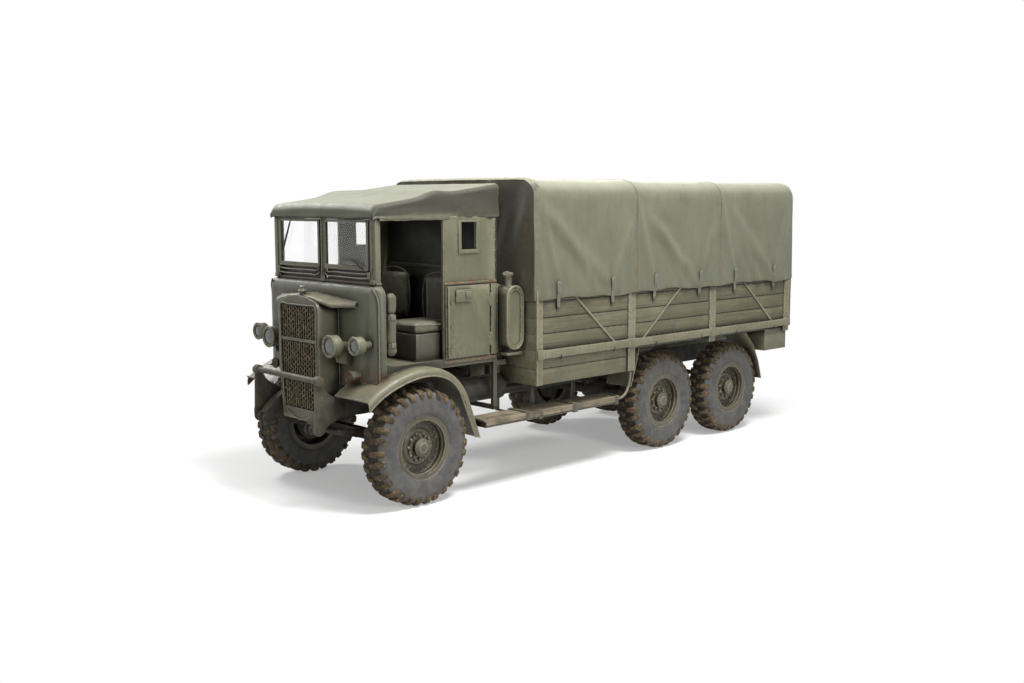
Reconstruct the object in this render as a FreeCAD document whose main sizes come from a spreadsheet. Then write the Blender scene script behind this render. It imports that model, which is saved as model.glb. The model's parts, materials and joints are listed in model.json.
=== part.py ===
import FreeCAD, Part
import Sketcher
import math
import os
import re
from FreeCAD import Placement, Rotation, Vector

# A six-wheeled military cargo truck with an open cab, a canvas hood and a canvas tilt over a boarded body.
# Millimetres. +X is the truck's left, -Y its front, +Z up. The origin is on the ground, under the middle of
# the truck's overall box. Most places along the truck are written from the front axle, as axle_front + a
# distance. Every driving size is a cell of the spreadsheet Sizes, and the sub-parts are bound to those cells.
# A shape that cuts runs 1 mm past what it cuts, and a fused piece starts 1 or 2 mm inside its neighbour.

doc = FreeCAD.newDocument("CargoTruck")

# -------------------------------------------------------------------------------- driving sizes
# (name, millimetres or degrees or a count, what it is)
SIZES = [
    ("axle_front", -2517, "front axle, along Y"),
    ("wheelbase", 3430, "front axle to middle axle"),
    ("bogie_pitch", 1260, "middle axle to rear axle"),
    ("track_half", 870, "centre plane to a tyre's centre plane"),
    # wheels and tyres
    ("tyre_radius", 535, "over the tread"),
    ("tyre_width", 280, "across the sidewalls"),
    ("tread_half", 118, "half the flat of the tread"),
    ("tyre_wall", 26, "thickness of sidewall and tread"),
    ("tyre_gap", 0.3, "between bead and rim"),
    ("shoulder_drop", 62, "tyre's shoulder below the tread"),
    ("shoulder_out", 14, "tyre's shoulder beyond the tread's edge"),
    ("shoulder_round", 70, "radius of the tyre's shoulder"),
    ("bulge_up", 96, "tyre's widest place above the rim flange"),
    ("bulge_low", 130, "radius of the sidewall below its widest place"),
    ("bulge_high", 260, "radius of the sidewall above its widest place"),
    ("rim_radius", 300, "over the rim flange"),
    ("rim_half", 118, "half the width over the flanges"),
    ("rim_seat", 262, "radius of the bead seat"),
    ("rim_wall", 12, "thickness of the rim and flange"),
    ("disc_wall", 14, "thickness of the wheel disc"),
    ("disc_out", 30, "disc's outer face, outboard of the tyre's centre plane"),
    ("hub_radius", 82, "hub barrel"),
    ("hub_out", 100, "hub barrel's end, outboard of the tyre's centre plane"),
    ("hub_cap", 26, "how far the domed cap stands off the barrel"),
    ("cap_edge_out", 15.6, "how far the cap's edge stands off the barrel"),
    ("cap_edge", 59.04, "radius of the cap's edge"),
    ("cap_arc", 106.6, "radius of the cap's dome"),
    ("hub_in", 78, "hub barrel's inner end, inboard of the tyre's centre plane"),
    ("hub_inner", 57.4, "radius of the hub barrel inside the drum"),
    ("disc_round", 24, "radius between the disc and the rim"),
    ("dish_out", 16, "how far the disc's middle stands out"),
    ("dish_radius", 152, "radius of the disc's middle"),
    ("dish_slope", 22, "width of the slope round the disc's middle"),
    ("nut_circle", 111, "radius of the wheel nuts' circle"),
    ("nut_radius", 13, "wheel nut"),
    ("nut_out", 18, "how far a wheel nut stands out"),
    ("nut_root", 8, "how deep a wheel nut starts in the disc"),
    ("nut_count", 10, "wheel nuts"),
    ("hand_holes", 5, "round holes in the disc"),
    ("hand_hole", 26, "radius of a hand hole"),
    ("hand_circle", 195, "radius of the hand holes' circle"),
    ("drum_radius", 186, "brake drum"),
    ("drum_out", 14, "brake drum's closed end, inboard of the tyre's centre plane"),
    ("drum_wall", 12, "thickness of the brake drum"),
    ("drum_gap", 6, "brake drum's open end to the backplate's face"),
    ("stub_radius", 30, "stub axle"),
    ("stub_out", 40, "stub axle's end, outboard of the tyre's centre plane"),
    ("running", 0.05, "radial clearance of a running fit"),
    ("backplate_radius", 180, "brake backplate"),
    ("backplate_out", 92, "backplate's outer face, inboard of the tyre's centre plane"),
    ("backplate_wall", 8, "thickness of the backplate"),
    # front axle and steering
    ("kingpin_x", 690, "centre plane to a kingpin"),
    ("kingpin_radius", 16, "kingpin"),
    ("beam_deep", 90, "front axle beam, height"),
    ("beam_wide", 84, "front axle beam, fore and aft"),
    ("beam_web", 26, "front axle beam, thickness of its web"),
    ("yoke_radius", 38, "knuckle's eyes and the beam's end"),
    ("yoke_gap", 2, "beam's end to a knuckle eye"),
    ("yoke_thick", 34, "thickness of a knuckle eye"),
    ("yoke_boss", 8, "how far the beam's round end stands over the beam, and the kingpin over its eyes"),
    ("groove_end", 600, "centre plane to the end of the beam's grooves"),
    ("arm_back", 190, "steering arm's pin, behind the kingpin"),
    ("arm_pin", 10, "radius of the steering arm's pin"),
    ("arm_thick", 24, "thickness of the steering arm"),
    ("arm_half", 20, "half the steering arm's width at its pin"),
    ("arm_pin_long", 40, "how far the steering arm's pin hangs down"),
    ("tie_radius", 15, "track rod"),
    ("tie_eye", 24, "track rod's eye, outer radius"),
    # leaf springs
    ("spring_x", 387, "centre plane to a front spring"),
    ("spring_wide", 64, "width of a leaf"),
    ("leaf", 10, "thickness of a leaf"),
    ("leaf_count", 7, "leaves in a front spring"),
    ("spring_reach", 685, "front spring's centre to an eye"),
    ("spring_rise", 86, "front spring's eye above its main leaf's middle"),
    ("spring_shift", -90, "front spring's middle, from the front axle"),
    ("eye_radius", 30, "spring eye"),
    ("eye_pin", 14, "spring eye's pin"),
    ("bogie_spring_x", 512, "centre plane to a bogie spring"),
    ("bogie_leaves", 9, "leaves in a bogie spring"),
    ("bogie_drop", 44, "bogie spring's end below its middle"),
    ("bogie_seat_up", 105, "bogie spring's seat above the axle's middle"),
    ("bogie_over", 40, "bogie spring's end beyond its axle"),
    ("shortest_leaf", 160, "half the front spring's shortest leaf"),
    ("bogie_shortest", 180, "half the bogie spring's shortest leaf"),
    ("bogie_plate_foot", 60, "half the bogie bracket's width at its foot"),
    ("bogie_plate_top", 150, "half the bogie bracket's width at the frame's top"),
    ("bogie_plate_drop", 120, "bogie bracket's foot below the spring's top"),
    ("bogie_cap", 70, "half the length of the bogie spring's cap"),
    ("bogie_cap_tall", 40, "bogie spring's cap"),
    ("bogie_cap_over", 14, "how far the cap laps the spring's outer face"),
    ("seat_pad", 50, "half a bogie spring's seat, fore and aft"),
    ("seat_pad_low", 20, "foot of a bogie spring's seat above the axle's middle"),
    # rear axles
    ("tube_radius", 60, "rear axle tube"),
    ("bowl_radius", 165, "rear axle's middle bowl"),
    ("worm_radius", 74, "worm casing over the bowl"),
    ("worm_half", 185, "half the worm casing's length"),
    # frame
    ("frame_half", 420, "centre plane to a frame side's outer face"),
    ("frame_flange", 70, "width of a frame flange"),
    ("frame_wall", 8, "thickness of the frame sides"),
    ("frame_low", 800, "frame sides' underside"),
    ("frame_top", 1000, "frame sides' top"),
    ("frame_front", -420, "frame sides' front end, from the front axle"),
    ("frame_over", 930, "frame sides' back end behind the rear axle"),
    ("cross_low", 856, "cross members' underside"),
    ("cross_top", 976, "cross members' top"),
    ("cross_wide", 70, "cross members, fore and aft"),
    ("cross_tube", 25, "radius of the front cross tube"),
    ("cross_tube_y", -528, "front cross tube, from the front axle"),
    ("cross_tube_z", 838, "front cross tube"),
    ("trunnion_radius", 46, "bogie's trunnion"),
    ("trunnion_z", 900, "bogie's trunnion"),
    ("iron_half_in", 340, "dumb iron's inner face"),
    ("iron_half_out", 435, "dumb iron's outer face"),
    ("iron_slot", 3, "dumb iron's cheek to the spring"),
    ("horn_eye", 60, "radius of the dumb iron's round end"),
    ("horn_arc", 560, "radius of the dumb iron's upper edge"),
    ("horn_hollow", 900, "radius of the dumb iron's lower edge"),
    ("horn_slot_back", 60, "dumb iron's slot behind its eye"),
    ("lower_boss", 46, "radius of the bumper plate's lower boss"),
    ("horn_boss", 22, "bumper plate's upper boss"),
    ("horn_boss_y", -560, "bumper plate's upper boss, from the front axle"),
    ("horn_boss_z", 900, "height of that boss"),
    # bumper
    ("bumper_y", -782, "bumper tube, from the front axle"),
    ("bumper_z", 1168, "bumper tube's height"),
    ("bumper_radius", 26, "bumper tube"),
    ("plate_x", 488, "bumper plate's inner face"),
    ("plate_wall", 11.7, "thickness of the bumper plates"),
    ("bumper_cap", 45, "radius of the bumper's end caps"),
    ("bumper_cap_long", 54, "length of an end cap"),
    ("hanger_eye", 34, "radius of the spring hanger's round foot"),
    ("hanger_top", 70, "half the spring hanger's width at the frame"),
    # power unit
    ("engine_half", 250, "half the engine's width"),
    ("engine_front", -500, "engine's front, from the front axle"),
    ("engine_back", 330, "engine's back, from the front axle"),
    ("engine_low", 850, "engine's underside"),
    ("engine_top", 1480, "engine's top"),
    ("engine_room", 12, "clearance round the engine"),
    ("engine_foot_y", -60, "engine feet, from the front axle"),
    ("engine_foot_z", 880, "underside of the engine's feet"),
    ("engine_foot", 70, "engine feet, fore and aft and in height"),
    ("gearbox_half", 150, "half the gearbox's width"),
    ("gearbox_back", 900, "gearbox's back, from the front axle"),
    ("gearbox_low", 790, "gearbox's underside"),
    ("gearbox_top", 1080, "gearbox's top"),
    ("shaft_radius", 34, "propeller shafts"),
    # radiator and bonnet
    ("radiator_front", -652, "radiator shell's front face, from the front axle"),
    ("radiator_low", 742, "radiator shell's underside"),
    ("radiator_low_half", 278, "half the radiator shell's width at its foot"),
    ("radiator_half", 328, "half the radiator shell's width at its shoulders"),
    ("radiator_crown", 1885, "height of the radiator shell's crown"),
    ("radiator_waist", 1230, "height where the radiator shell stops widening"),
    ("crown_in", 78, "crown's flat arc inside the radiator shell's shoulders, each side"),
    ("crown_arc", 790, "radius of the crown's arc"),
    ("crown_turn", 100, "radius of the radiator shell's shoulders"),
    ("filler_back", 58, "radiator's filler cap behind its front face"),
    ("filler_cap_radius", 34, "radiator's filler cap"),
    ("filler_cap_tall", 36, "height of the radiator's filler cap"),
    ("filler_neck_tall", 50, "radiator's filler neck"),
    ("filler_sunk", 14, "foot of that neck below the crown"),
    ("filler_cap_up", 30, "underside of the filler cap above the crown"),
    ("shoulder_low", 1752, "where the radiator shell's sides end and its shoulders begin"),
    ("grille_bar", 26, "height of the bar across the grille"),
    ("grille_bar_z", 1480, "middle of the bar across the grille"),
    ("cowl_foot", 96, "closed foot of the radiator shell, fore and aft"),
    ("cowl_foot_top", 880, "underside of the cowl's sides behind that foot"),
    ("grille_low", 845, "grille's lower edge"),
    ("grille_top", 1800, "grille's upper edge"),
    ("grille_half", 284, "half the grille's width at its top"),
    ("grille_low_half", 242, "half the grille's width at its foot"),
    ("shell_wall", 26, "thickness of the radiator shell"),
    ("shell_face", 22, "thickness of the radiator shell's front face"),
    ("core_deep", 70, "radiator core, fore and aft"),
    ("core_gap", 1, "radiator core to its shell's inside"),
    ("bonnet_seat", 0.5, "bonnet lid's back edge to the scuttle"),
    ("bonnet_wall", 30, "thickness of the bonnet lid"),
    ("bonnet_gap", 2, "radiator's crown to the bonnet lid"),
    ("bonnet_front", -555, "bonnet lid's front edge, from the front axle"),
    ("bonnet_back_half", 600, "half the bonnet lid's width at the scuttle"),
    ("bonnet_back_edge", 1802, "underside of the bonnet lid's edge at the scuttle"),
    # cab
    ("cab_front_y", -430, "scuttle's front face, from the front axle"),
    ("cab_front_half", 872, "half the scuttle's width"),
    ("scuttle_corner", 116, "radius of the scuttle's upright corners"),
    ("scuttle_roll", 105, "radius of the scuttle's rolled top edge"),
    ("scuttle_shoulder", 110, "radius of the scuttle's top outer corners"),
    ("scuttle_low", 1085, "scuttle's lower edge"),
    ("scuttle_top", 2008, "scuttle's top"),
    ("scuttle_back", -312, "scuttle's back edges, from the front axle"),
    ("horn_x", 600, "round horn"),
    ("horn_z", 1192, "round horn"),
    ("horn_radius", 50, "round horn"),
    ("horn_long", 90, "round horn, fore and aft"),
    ("panel_wall", 25, "thickness of the cab's panels"),
    ("cab_half", 830, "half the cab's width over its sides"),
    ("cab_back_y", 1045, "cab's back face, from the front axle"),
    ("side_front", 378, "cab side panel's front edge, from the front axle"),
    ("sill_deep", 76, "depth of the cab's sills"),
    ("sill_wide", 40, "width of the cab's sills"),
    ("floor_top", 1280, "cab floor's top"),
    ("floor_wall", 30, "thickness of the cab floor"),
    ("cant_top", 2600, "top of the cab's sides, back and windscreen"),
    ("cant_deep", 36, "depth of the rail over the doorway"),
    ("waist", 1962, "top of the cab's lower panels"),
    ("side_window_front", 592, "side window's front edge, from the front axle"),
    ("side_window_wide", 188, "side window's width"),
    ("side_window_low", 2288, "side window's sill"),
    ("side_window_tall", 255, "side window's height"),
    ("window_frame", 34, "width of the side window's raised frame"),
    ("window_frame_out", 12, "how far that frame stands out"),
    ("door_edge", 12, "cab side's front edge to the locker door"),
    ("door_sill", 6, "cab floor's top to the locker door, and door to waist"),
    ("door_latch", 14, "how far the latch plate stands out"),
    ("hinge_low", 1400, "height of the locker door's lower hinge"),
    ("hinge_high", 1780, "height of its upper hinge"),
    ("hinge_tall", 60, "height of the door's hinge eye"),
    ("hinge_end", 30, "height of the post's hinge eyes, above and below it"),
    ("hinge_radius", 11, "hinge eye"),
    ("hinge_pin", 6, "radius of the hinge pin"),
    ("hinge_out", 12, "hinge pin from the cab side, less the moving gap"),
    ("hinge_reach", 14, "hinge pin to the edge of the leaf and of the strip"),
    ("hinge_gap", 1, "between hinge eyes"),
    ("strip_wall", 18, "thickness of the hinge strip"),
    ("hatch_lip", 40, "floor or waist to the locker's opening"),
    ("door_wall", 20, "thickness of the locker doors"),
    ("hinge_post", 100, "width of the locker door's hinge post"),
    ("door_lap", 30, "how far the locker door laps its opening"),
    ("latch_front", 506, "locker latch plate's front, from the front axle"),
    ("latch_wide", 186, "locker latch plate"),
    ("latch_low", 1811, "locker latch plate's lower edge"),
    ("latch_tall", 106, "locker latch plate"),
    ("moving_gap", 0.4, "between pieces that slide past each other"),
    # windscreen
    ("screen_front", -372, "windscreen frame's front face, from the front axle"),
    ("screen_deep", 38, "thickness of the windscreen frame"),
    ("screen_half", 812, "half the windscreen's width"),
    ("pane_low", 2170, "pane's lower edge"),
    ("pane_top", 2553, "pane's upper edge"),
    ("pane_inner", 76, "centre plane to a pane's inner edge"),
    ("pane_outer", 674, "centre plane to a pane's outer edge"),
    ("pane_wall", 6, "thickness of the glass"),
    ("glass_gap", 0.3, "between glass and frame"),
    # hood
    ("seat_gap", 0.3, "between a piece and what it is seated on"),
    ("hood_front", -405, "hood's front, from the front axle"),
    ("hood_half", 832, "half the hood's width"),
    ("hood_back", 1078, "hood's back, from the front axle"),
    ("hood_front_top", 2700, "hood's top at its front"),
    ("hood_back_top", 2905, "hood's top at its back"),
    ("hood_wall", 10, "thickness of the hood"),
    ("hood_round", 55, "radius of the hood's long edges"),
    ("hood_nose", 55, "radius of the hood's front edge"),
    ("hood_nose_rise", 23, "hood's crown above its front corners"),
    ("hood_crown_arc", 20000, "radius of the hood's crown"),
    # seats
    ("seat_inner", 300, "seat's inner edge"),
    ("seat_outer", 770, "seat's outer edge"),
    ("seat_front", 90, "cushion's front, from the front axle"),
    ("seat_back", 560, "cushion's back, from the front axle"),
    ("seat_top", 1632, "top of the seat cushion"),
    ("cushion", 105, "thickness of a cushion"),
    ("squab_top", 2040, "top of the seat back"),
    ("squab_deep", 80, "thickness of the seat back"),
    ("driver_back", 280, "how far the driver's seat stands behind the other"),
    ("cover_half", 282, "half the engine cover's width"),
    ("cover_top", 1560, "engine cover's top"),
    ("cover_back", 360, "engine cover's back, from the front axle"),
    ("cover_wall", 12, "thickness of the engine cover"),
    ("cover_slope", 10, "how far the engine cover's sides lean in"),
    ("cover_corner", 60, "height of the engine cover's round corners"),
    ("cover_arc", 60.8, "radius of the engine cover's round corners"),
    ("cover_room", 20, "engine's top to the engine cover"),
    # steering wheel
    ("column_x", -420, "steering column"),
    ("column_foot_y", -215, "column's foot, from the front axle"),
    ("column_foot_z", 1330, "height of the column's foot"),
    ("column_tilt", 24, "column's lean from upright, in degrees"),
    ("column_long", 690, "column's length"),
    ("column_radius", 22, "column tube"),
    ("column_pin", 11, "column's end pin"),
    ("column_pin_over", 2, "how far that pin stands over the wheel's hub"),
    ("column_box", 60, "half the column's foot box"),
    ("column_box_up", 40, "top of that box above the column's foot"),
    ("hand_radius", 215, "steering wheel, to the middle of its rim"),
    ("hand_tube", 13, "steering wheel's rim, radius of its section"),
    ("hand_hub", 34, "steering wheel's hub"),
    ("hand_deep", 46, "steering wheel's hub, along the column"),
    ("hand_under", 1, "steering wheel's hub to the column"),
    ("spoke", 8, "radius of a spoke"),
    # lamps
    ("head_x", 497, "headlamp"),
    ("head_z", 1466, "headlamp"),
    ("head_front", -652, "headlamp's front, from the front axle"),
    ("head_radius", 97, "headlamp"),
    ("head_deep", 104, "headlamp's body, fore and aft"),
    ("small_x", 785, "side lamp"),
    ("small_z", 1490, "side lamp"),
    ("small_front", -592, "side lamp's front, from the front axle"),
    ("small_radius", 78, "side lamp"),
    ("small_deep", 96, "side lamp's body, fore and aft"),
    ("lamp_rim", 10, "width of a lamp's bezel"),
    ("lens_deep", 8, "thickness of a lens"),
    ("lens_back", 14, "bottom of a lamp's front recess, behind its bezel"),
    ("lens_in", 5.7, "a lens's face behind the bezel"),
    ("stalk_radius", 34, "lamp's stalk"),
    ("lamp_plate", 10, "thickness of the headlamp's plate"),
    # front mudguards
    ("guard_front", -605, "front mudguard's lip, from the front axle"),
    ("guard_front_z", 1030, "height of the front mudguard's lip"),
    ("guard_top_y", 70, "front mudguard's highest place, from the front axle"),
    ("guard_top", 1253, "height of the front mudguard's highest place"),
    ("guard_rise_radius", 1133, "radius of its rise from the lip"),
    ("guard_bend_y", 554, "end of its rear bend, from the front axle"),
    ("guard_bend_z", 923, "height of the end of its rear bend"),
    ("guard_bend_radius", 520, "radius of its rear bend"),
    ("guard_toe_y", 706, "its rear toe, from the front axle"),
    ("guard_toe_z", 520, "height of its rear toe"),
    ("guard_inner", 500, "front mudguard's inner edge"),
    ("guard_outer", 1004, "front mudguard's outer edge"),
    ("guard_round", 56, "radius of its turned outer edge"),
    ("guard_drop", 92, "depth of its turned outer edge"),
    ("guard_wall", 6, "thickness of the mudguards"),
    # running boards
    ("step_front", 700, "running board's front end, from the front axle"),
    ("step_back", 2580, "running board's back end, from the front axle"),
    ("step_inner", 800, "running board's inner edge"),
    ("step_outer", 1052, "running board's outer edge"),
    ("step_top", 690, "running board's top"),
    ("step_wall", 66, "thickness of the running board"),
    ("plank_gap", 8, "gap between its planks"),
    ("plank_count", 3, "planks in a running board"),
    ("plank_wall", 18, "thickness of a plank"),
    ("hanger_lip", 8, "thickness of a hanger's lip outside the planks"),
    ("hanger_lip_up", 14, "how far that lip stands over the planks"),
    ("hanger_leg_top", 920, "top of a hanger's leg on the frame"),
    ("hanger_wide", 50, "width of a running board's hanger"),
    ("hanger_wall", 10, "thickness of a hanger"),
    # tank and silencer
    ("tank_front", 1052, "fuel tank's front, from the front axle"),
    ("tank_wide", 224, "fuel tank, fore and aft"),
    ("tank_low", 1314, "fuel tank's underside"),
    ("tank_tall", 618, "fuel tank's height"),
    ("tank_left", 965, "fuel tank's left end"),
    ("tank_right", -400, "fuel tank's right end"),
    ("tank_rim", 12, "width and depth of the tank's end rims"),
    ("filler_x", 868, "filler neck"),
    ("filler_radius", 34, "filler neck"),
    ("filler_tall", 96, "filler neck"),
    ("tank_bead", 3, "how far the tank's rims stand out"),
    ("tank_panel", 34, "edge to the pressed panel in the tank's left end"),
    ("tank_press", 8, "depth of that panel"),
    ("filler_lid", 46, "radius of the tank's filler cap"),
    ("filler_lid_tall", 26, "height of the tank's filler cap"),
    ("cradle_left", 640, "inner face of the tank's left cradle"),
    ("cradle_right", -320, "inner face of the tank's right cradle"),
    ("cradle_wide", 60, "width of a cradle"),
    ("cradle_deep", 70, "half a cradle, fore and aft"),
    ("tank_rail_low", 1140, "underside of the rail under the tank"),
    ("tank_rail_top", 1190, "top of the rail under the tank"),
    ("tank_rail_left", 740, "left end of the rail under the tank"),
    ("tank_rail_right", -360, "right end of the rail under the tank"),
    ("tank_rail_in", 20, "tank's face to the rail's face"),
    ("tank_leg", 60, "width of the rail's legs on the frame"),
    ("silencer_x", 616, "silencer"),
    ("silencer_z", 905, "silencer"),
    ("silencer_radius", 112, "silencer"),
    ("silencer_front", 730, "silencer's front, from the front axle"),
    ("silencer_back", 1262, "silencer's back, from the front axle"),
    ("silencer_rim", 5, "how far the silencer's end rims stand out"),
    ("silencer_rim_wide", 14, "width of those rims"),
    ("inlet_radius", 28, "inlet pipe"),
    ("inlet_long", 150, "inlet pipe's length"),
    ("outlet_radius", 26, "tail pipe"),
    ("outlet_long", 355, "tail pipe's length"),
    ("outlet_in", 40, "tail pipe's middle, inboard of the silencer's"),
    ("outlet_drop", 30, "tail pipe's middle, below the silencer's"),
    ("silencer_strap", 200, "silencer's front to its strap"),
    ("silencer_strap_wide", 50, "width of the silencer's strap"),
    ("silencer_strap_tall", 20, "half the height of the silencer's strap"),
    ("post_wide", 42, "cab's stay post"),
    ("outrigger_tall", 40, "thickness of the outrigger below the stay post"),
    ("outrigger_top", 770, "top of the outrigger below the stay post"),
    # cargo body
    ("body_front", 1300, "front board's front face, from the front axle"),
    ("body_over", 1010, "end of the cargo floor behind the rear axle"),
    ("body_half", 1108, "half the body's width over its boards"),
    ("board_wall", 26, "thickness of the body's boards"),
    ("board_tall", 154, "height of a board"),
    ("board_count", 4, "boards above the rave"),
    ("board_groove", 4, "width and depth of the groove between boards"),
    ("rave_low", 1220, "rave rail's underside"),
    ("rave_top", 1300, "rave rail's top"),
    ("rave_out", 34, "how far the rave rail stands out"),
    ("skirt_low", 960, "lower edge of the skirt boards"),
    ("skirt_back", 2640, "back end of the skirt boards, from the front axle"),
    ("deck_top", 1240, "cargo floor's top"),
    ("deck_wall", 50, "thickness of the cargo floor"),
    ("runner_tall", 100, "timber runners on the frame"),
    ("bearer_wide", 70, "cross bearers, fore and aft"),
    ("bearer_half", 695, "half the cross bearers' length"),
    ("bearer_count", 7, "cross bearers"),
    ("post_out", 16, "how far the body's posts stand out"),
    ("corner_post", 80, "width of the front corner posts"),
    ("mid_post", 110, "width of the middle posts"),
    ("post_second", 2655, "second post's front edge, from the front axle"),
    ("post_third", 4070, "third post's front edge, from the front axle"),
    ("post_over", 900, "last post's front edge behind the rear axle"),
    ("knuckle_out", 6, "how far the rave's knuckle at a post stands out"),
    ("knuckle_over", 8, "how far that knuckle laps the rave above and below"),
    ("brace_half", 17, "half the width of a brace"),
    ("brace_out", 12, "how far a brace stands out"),
    ("post_drop", 70, "post's foot below the rave where there is no skirt"),
    ("post_top_gap", 30, "boards' top to a post's top"),
    ("bearer_first", 190, "front board to the first cross bearer"),
    ("bearer_ends", 260, "front board to the first bearer and deck's end to the last, together"),
    ("runner_wide", 80, "width of the timber runners"),
    ("runner_front", 4, "front board to the runners"),
    ("notch_over", 40, "notch above the timber runners"),
    ("notch_half", 600, "half the notch in the front board that clears the frame"),
    ("tail_wall", 30, "thickness of the tailboard"),
    ("tail_gap", 6, "cargo floor to tailboard"),
    ("tail_top", 1900, "tailboard's top"),
    ("tail_over", 12, "how far the tailboard laps the sides"),
    ("tail_foot", 26, "tailboard's lower edge above its hinge pin"),
    ("tail_hinge_x", 700, "centre plane to a tailboard hinge"),
    ("tail_eye", 20, "radius of the tailboard's hinge eyes"),
    ("tail_pin", 8, "radius of the tailboard's hinge pin"),
    ("tail_strap", 31.6, "half the width of a tailboard strap"),
    ("tail_strap_out", 8, "how far a tailboard strap stands out"),
    ("tail_strap_top", 60, "tailboard's top to a strap's top"),
    ("tail_lug", 30, "width of a hinge lug"),
    ("tail_lug_out", 62, "hinge's middle to a lug's outer face"),
    ("tail_arm", 12, "half the height of a hinge lug's arm"),
    ("tail_arm_long", 60, "length of a hinge lug's arm under the deck"),
    ("locker_in", 8, "body's side to the rear locker's face"),
    ("locker_end", 20, "deck's end to the rear locker's back"),
    ("lid_edge", 26, "locker's edge to its lid"),
    ("lid_out", 6, "how far the rear locker's lid stands out"),
    ("rear_locker_over", 535, "rear locker's front behind the rear axle"),
    ("rear_locker_low", 935, "rear locker's underside"),
    ("rear_locker_inner", 790, "rear locker's inner face"),
    # tilt
    ("tilt_front", 1284, "tilt's front face, from the front axle"),
    ("tilt_over_back", 1054, "tilt's back edge behind the rear axle"),
    ("tilt_over", 29, "tilt's lower edge outside the boards, each side"),
    ("tilt_lean", 26, "how far its sides lean in"),
    ("tilt_low", 1790, "tilt's lower edge"),
    ("tilt_shoulder", 2760, "where the tilt's upright sides end"),
    ("tilt_crown", 2952, "tilt's crown"),
    ("tilt_corner", 192.64, "radius of the tilt's long corners"),
    ("tilt_wall", 8, "thickness of the tilt"),
    ("hoop_section", 32, "tilt hoops, square section"),
    ("hoop_gap", 3, "hoop to canvas"),
    ("hoop_knee", 62, "tilt's lower edge to the inner face of a hoop's knee"),
    ("hoop_knee_out", 16, "tilt's lower edge to the outer face of a hoop's knee"),
    ("hoop_knee_tall", 40, "height of a hoop's knee over the boards"),
    ("hoop_foot", 300, "hoop's foot above the deck"),
    ("corner_in", 162, "tilt's side to the end of its flat crown"),
    ("crown_drop", 30, "drop of the crown from its middle to that end"),
    ("crown_arc_wide", 15000, "radius of the tilt's crown"),
    ("hook_tall", 40, "height of a strap's hook"),
    ("strap_wide", 26, "tilt strap"),
    ("strap_wall", 12, "thickness of a tilt strap"),
    ("strap_low", 1700, "strap's lower end"),
    ("strap_tall", 275, "strap's length"),
    ("tail_axis", 1190, "height of the tailboard's hinge pin"),
    # rolled curtain
    ("curtain_radius", 52, "rolled side curtain"),
    ("curtain_tall", 650, "rolled side curtain"),
    ("curtain_y", -245, "rolled side curtain, from the front axle"),
    ("curtain_out", 16, "cab's side to the rolled curtain's middle"),
    # rear mudguards
    ("wing_inner", 700, "rear mudguard's inner edge"),
    ("wing_outer", 1046, "rear mudguard's outer edge"),
    ("wing_wall", 9, "rear mudguard, fore and aft"),
    ("wing_stay", 40, "rear mudguard's stay, square"),
    ("wing_stay_drop", 60, "foot of that stay below the rave"),
    # towing jaw
    ("jaw_over", 1180.6, "towing jaw's back behind the rear axle"),
    ("jaw_pin_over", 1135, "towing pin's hole behind the rear axle"),
    ("jaw_pin", 16, "radius of the towing pin's hole"),
    ("jaw_half", 60, "half the jaw's width"),
    ("jaw_low", 850, "jaw's underside"),
    ("jaw_tall", 120, "jaw's height"),
    ("jaw_mouth", 56, "height of the jaw's mouth"),
    ("jaw_mouth_deep", 70, "towing pin to the bottom of the mouth"),
]

sheet = doc.addObject("Spreadsheet::Sheet", "Sizes")
for row, (alias, number, meaning) in enumerate(SIZES, 1):
    sheet.set(f"A{row}", alias)
    sheet.set(f"B{row}", str(number))
    sheet.setAlias(f"B{row}", alias)
    sheet.set(f"C{row}", meaning)
doc.recompute()
ALIASES = {alias for alias, number, meaning in SIZES}

# sizes that follow from others by a named clearance
FOLLOWS = {
    "tilt_half": "(body_half + tilt_over)",
    "crown_half": "(radiator_half - crown_in)",
    "bogie_seat": "(tyre_radius + bogie_seat_up)",
    "frame_back": "(wheelbase + bogie_pitch + frame_over)",
    "body_back": "(wheelbase + bogie_pitch + body_over)",
    "post_last": "(wheelbase + bogie_pitch + post_over)",
    "rear_locker_front": "(wheelbase + bogie_pitch + rear_locker_over)",
    "tilt_back": "(wheelbase + bogie_pitch + tilt_over_back)",
    "jaw_back": "(wheelbase + bogie_pitch + jaw_over)",
    "jaw_pin_y": "(wheelbase + bogie_pitch + jaw_pin_over)",
}


def bound(text):
    """An expression with each size's name pointed at its cell."""
    text = re.sub(r"[a-z_]+", lambda m: FOLLOWS.get(m[0], m[0]), text)
    return re.sub(r"[a-z_]+", lambda m: "Sizes." + m[0] if m[0] in ALIASES else m[0], text)


def value(text):
    """What an expression comes to now."""
    return float(sheet.evalExpression(bound(text)))


# -------------------------------------------------------------------------------- ways of making
SIDES = {"left": 1, "right": -1}
HALF_TURN = {"left": 0, "right": 180}


def place(thing, at):
    for axis, text in zip("xyz", at):
        thing.setExpression("Placement.Base." + axis, bound(text))
    return thing


def box(name, low, high):
    """A block between two corners, each three expressions."""
    made = doc.addObject("Part::Box", name)
    for prop, a, b in zip(("Length", "Width", "Height"), low, high):
        made.setExpression(prop, bound(f"({b}) - ({a})"))
    return place(made, low)


TURN_TO = {"x": Rotation(Vector(0, 1, 0), 90), "y": Rotation(Vector(1, 0, 0), -90), "z": Rotation()}


def rod(name, along, radius, length, at):
    """A round bar from a point along +X, +Y or +Z."""
    made = doc.addObject("Part::Cylinder", name)
    made.Placement = Placement(Vector(), TURN_TO[along])
    made.setExpression("Radius", bound(radius))
    made.setExpression("Height", bound(length))
    return place(made, at)


def joined(name, pieces):
    made = doc.addObject("Part::MultiFuse", name)
    made.Shapes = pieces
    made.Refine = True
    return made


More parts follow.
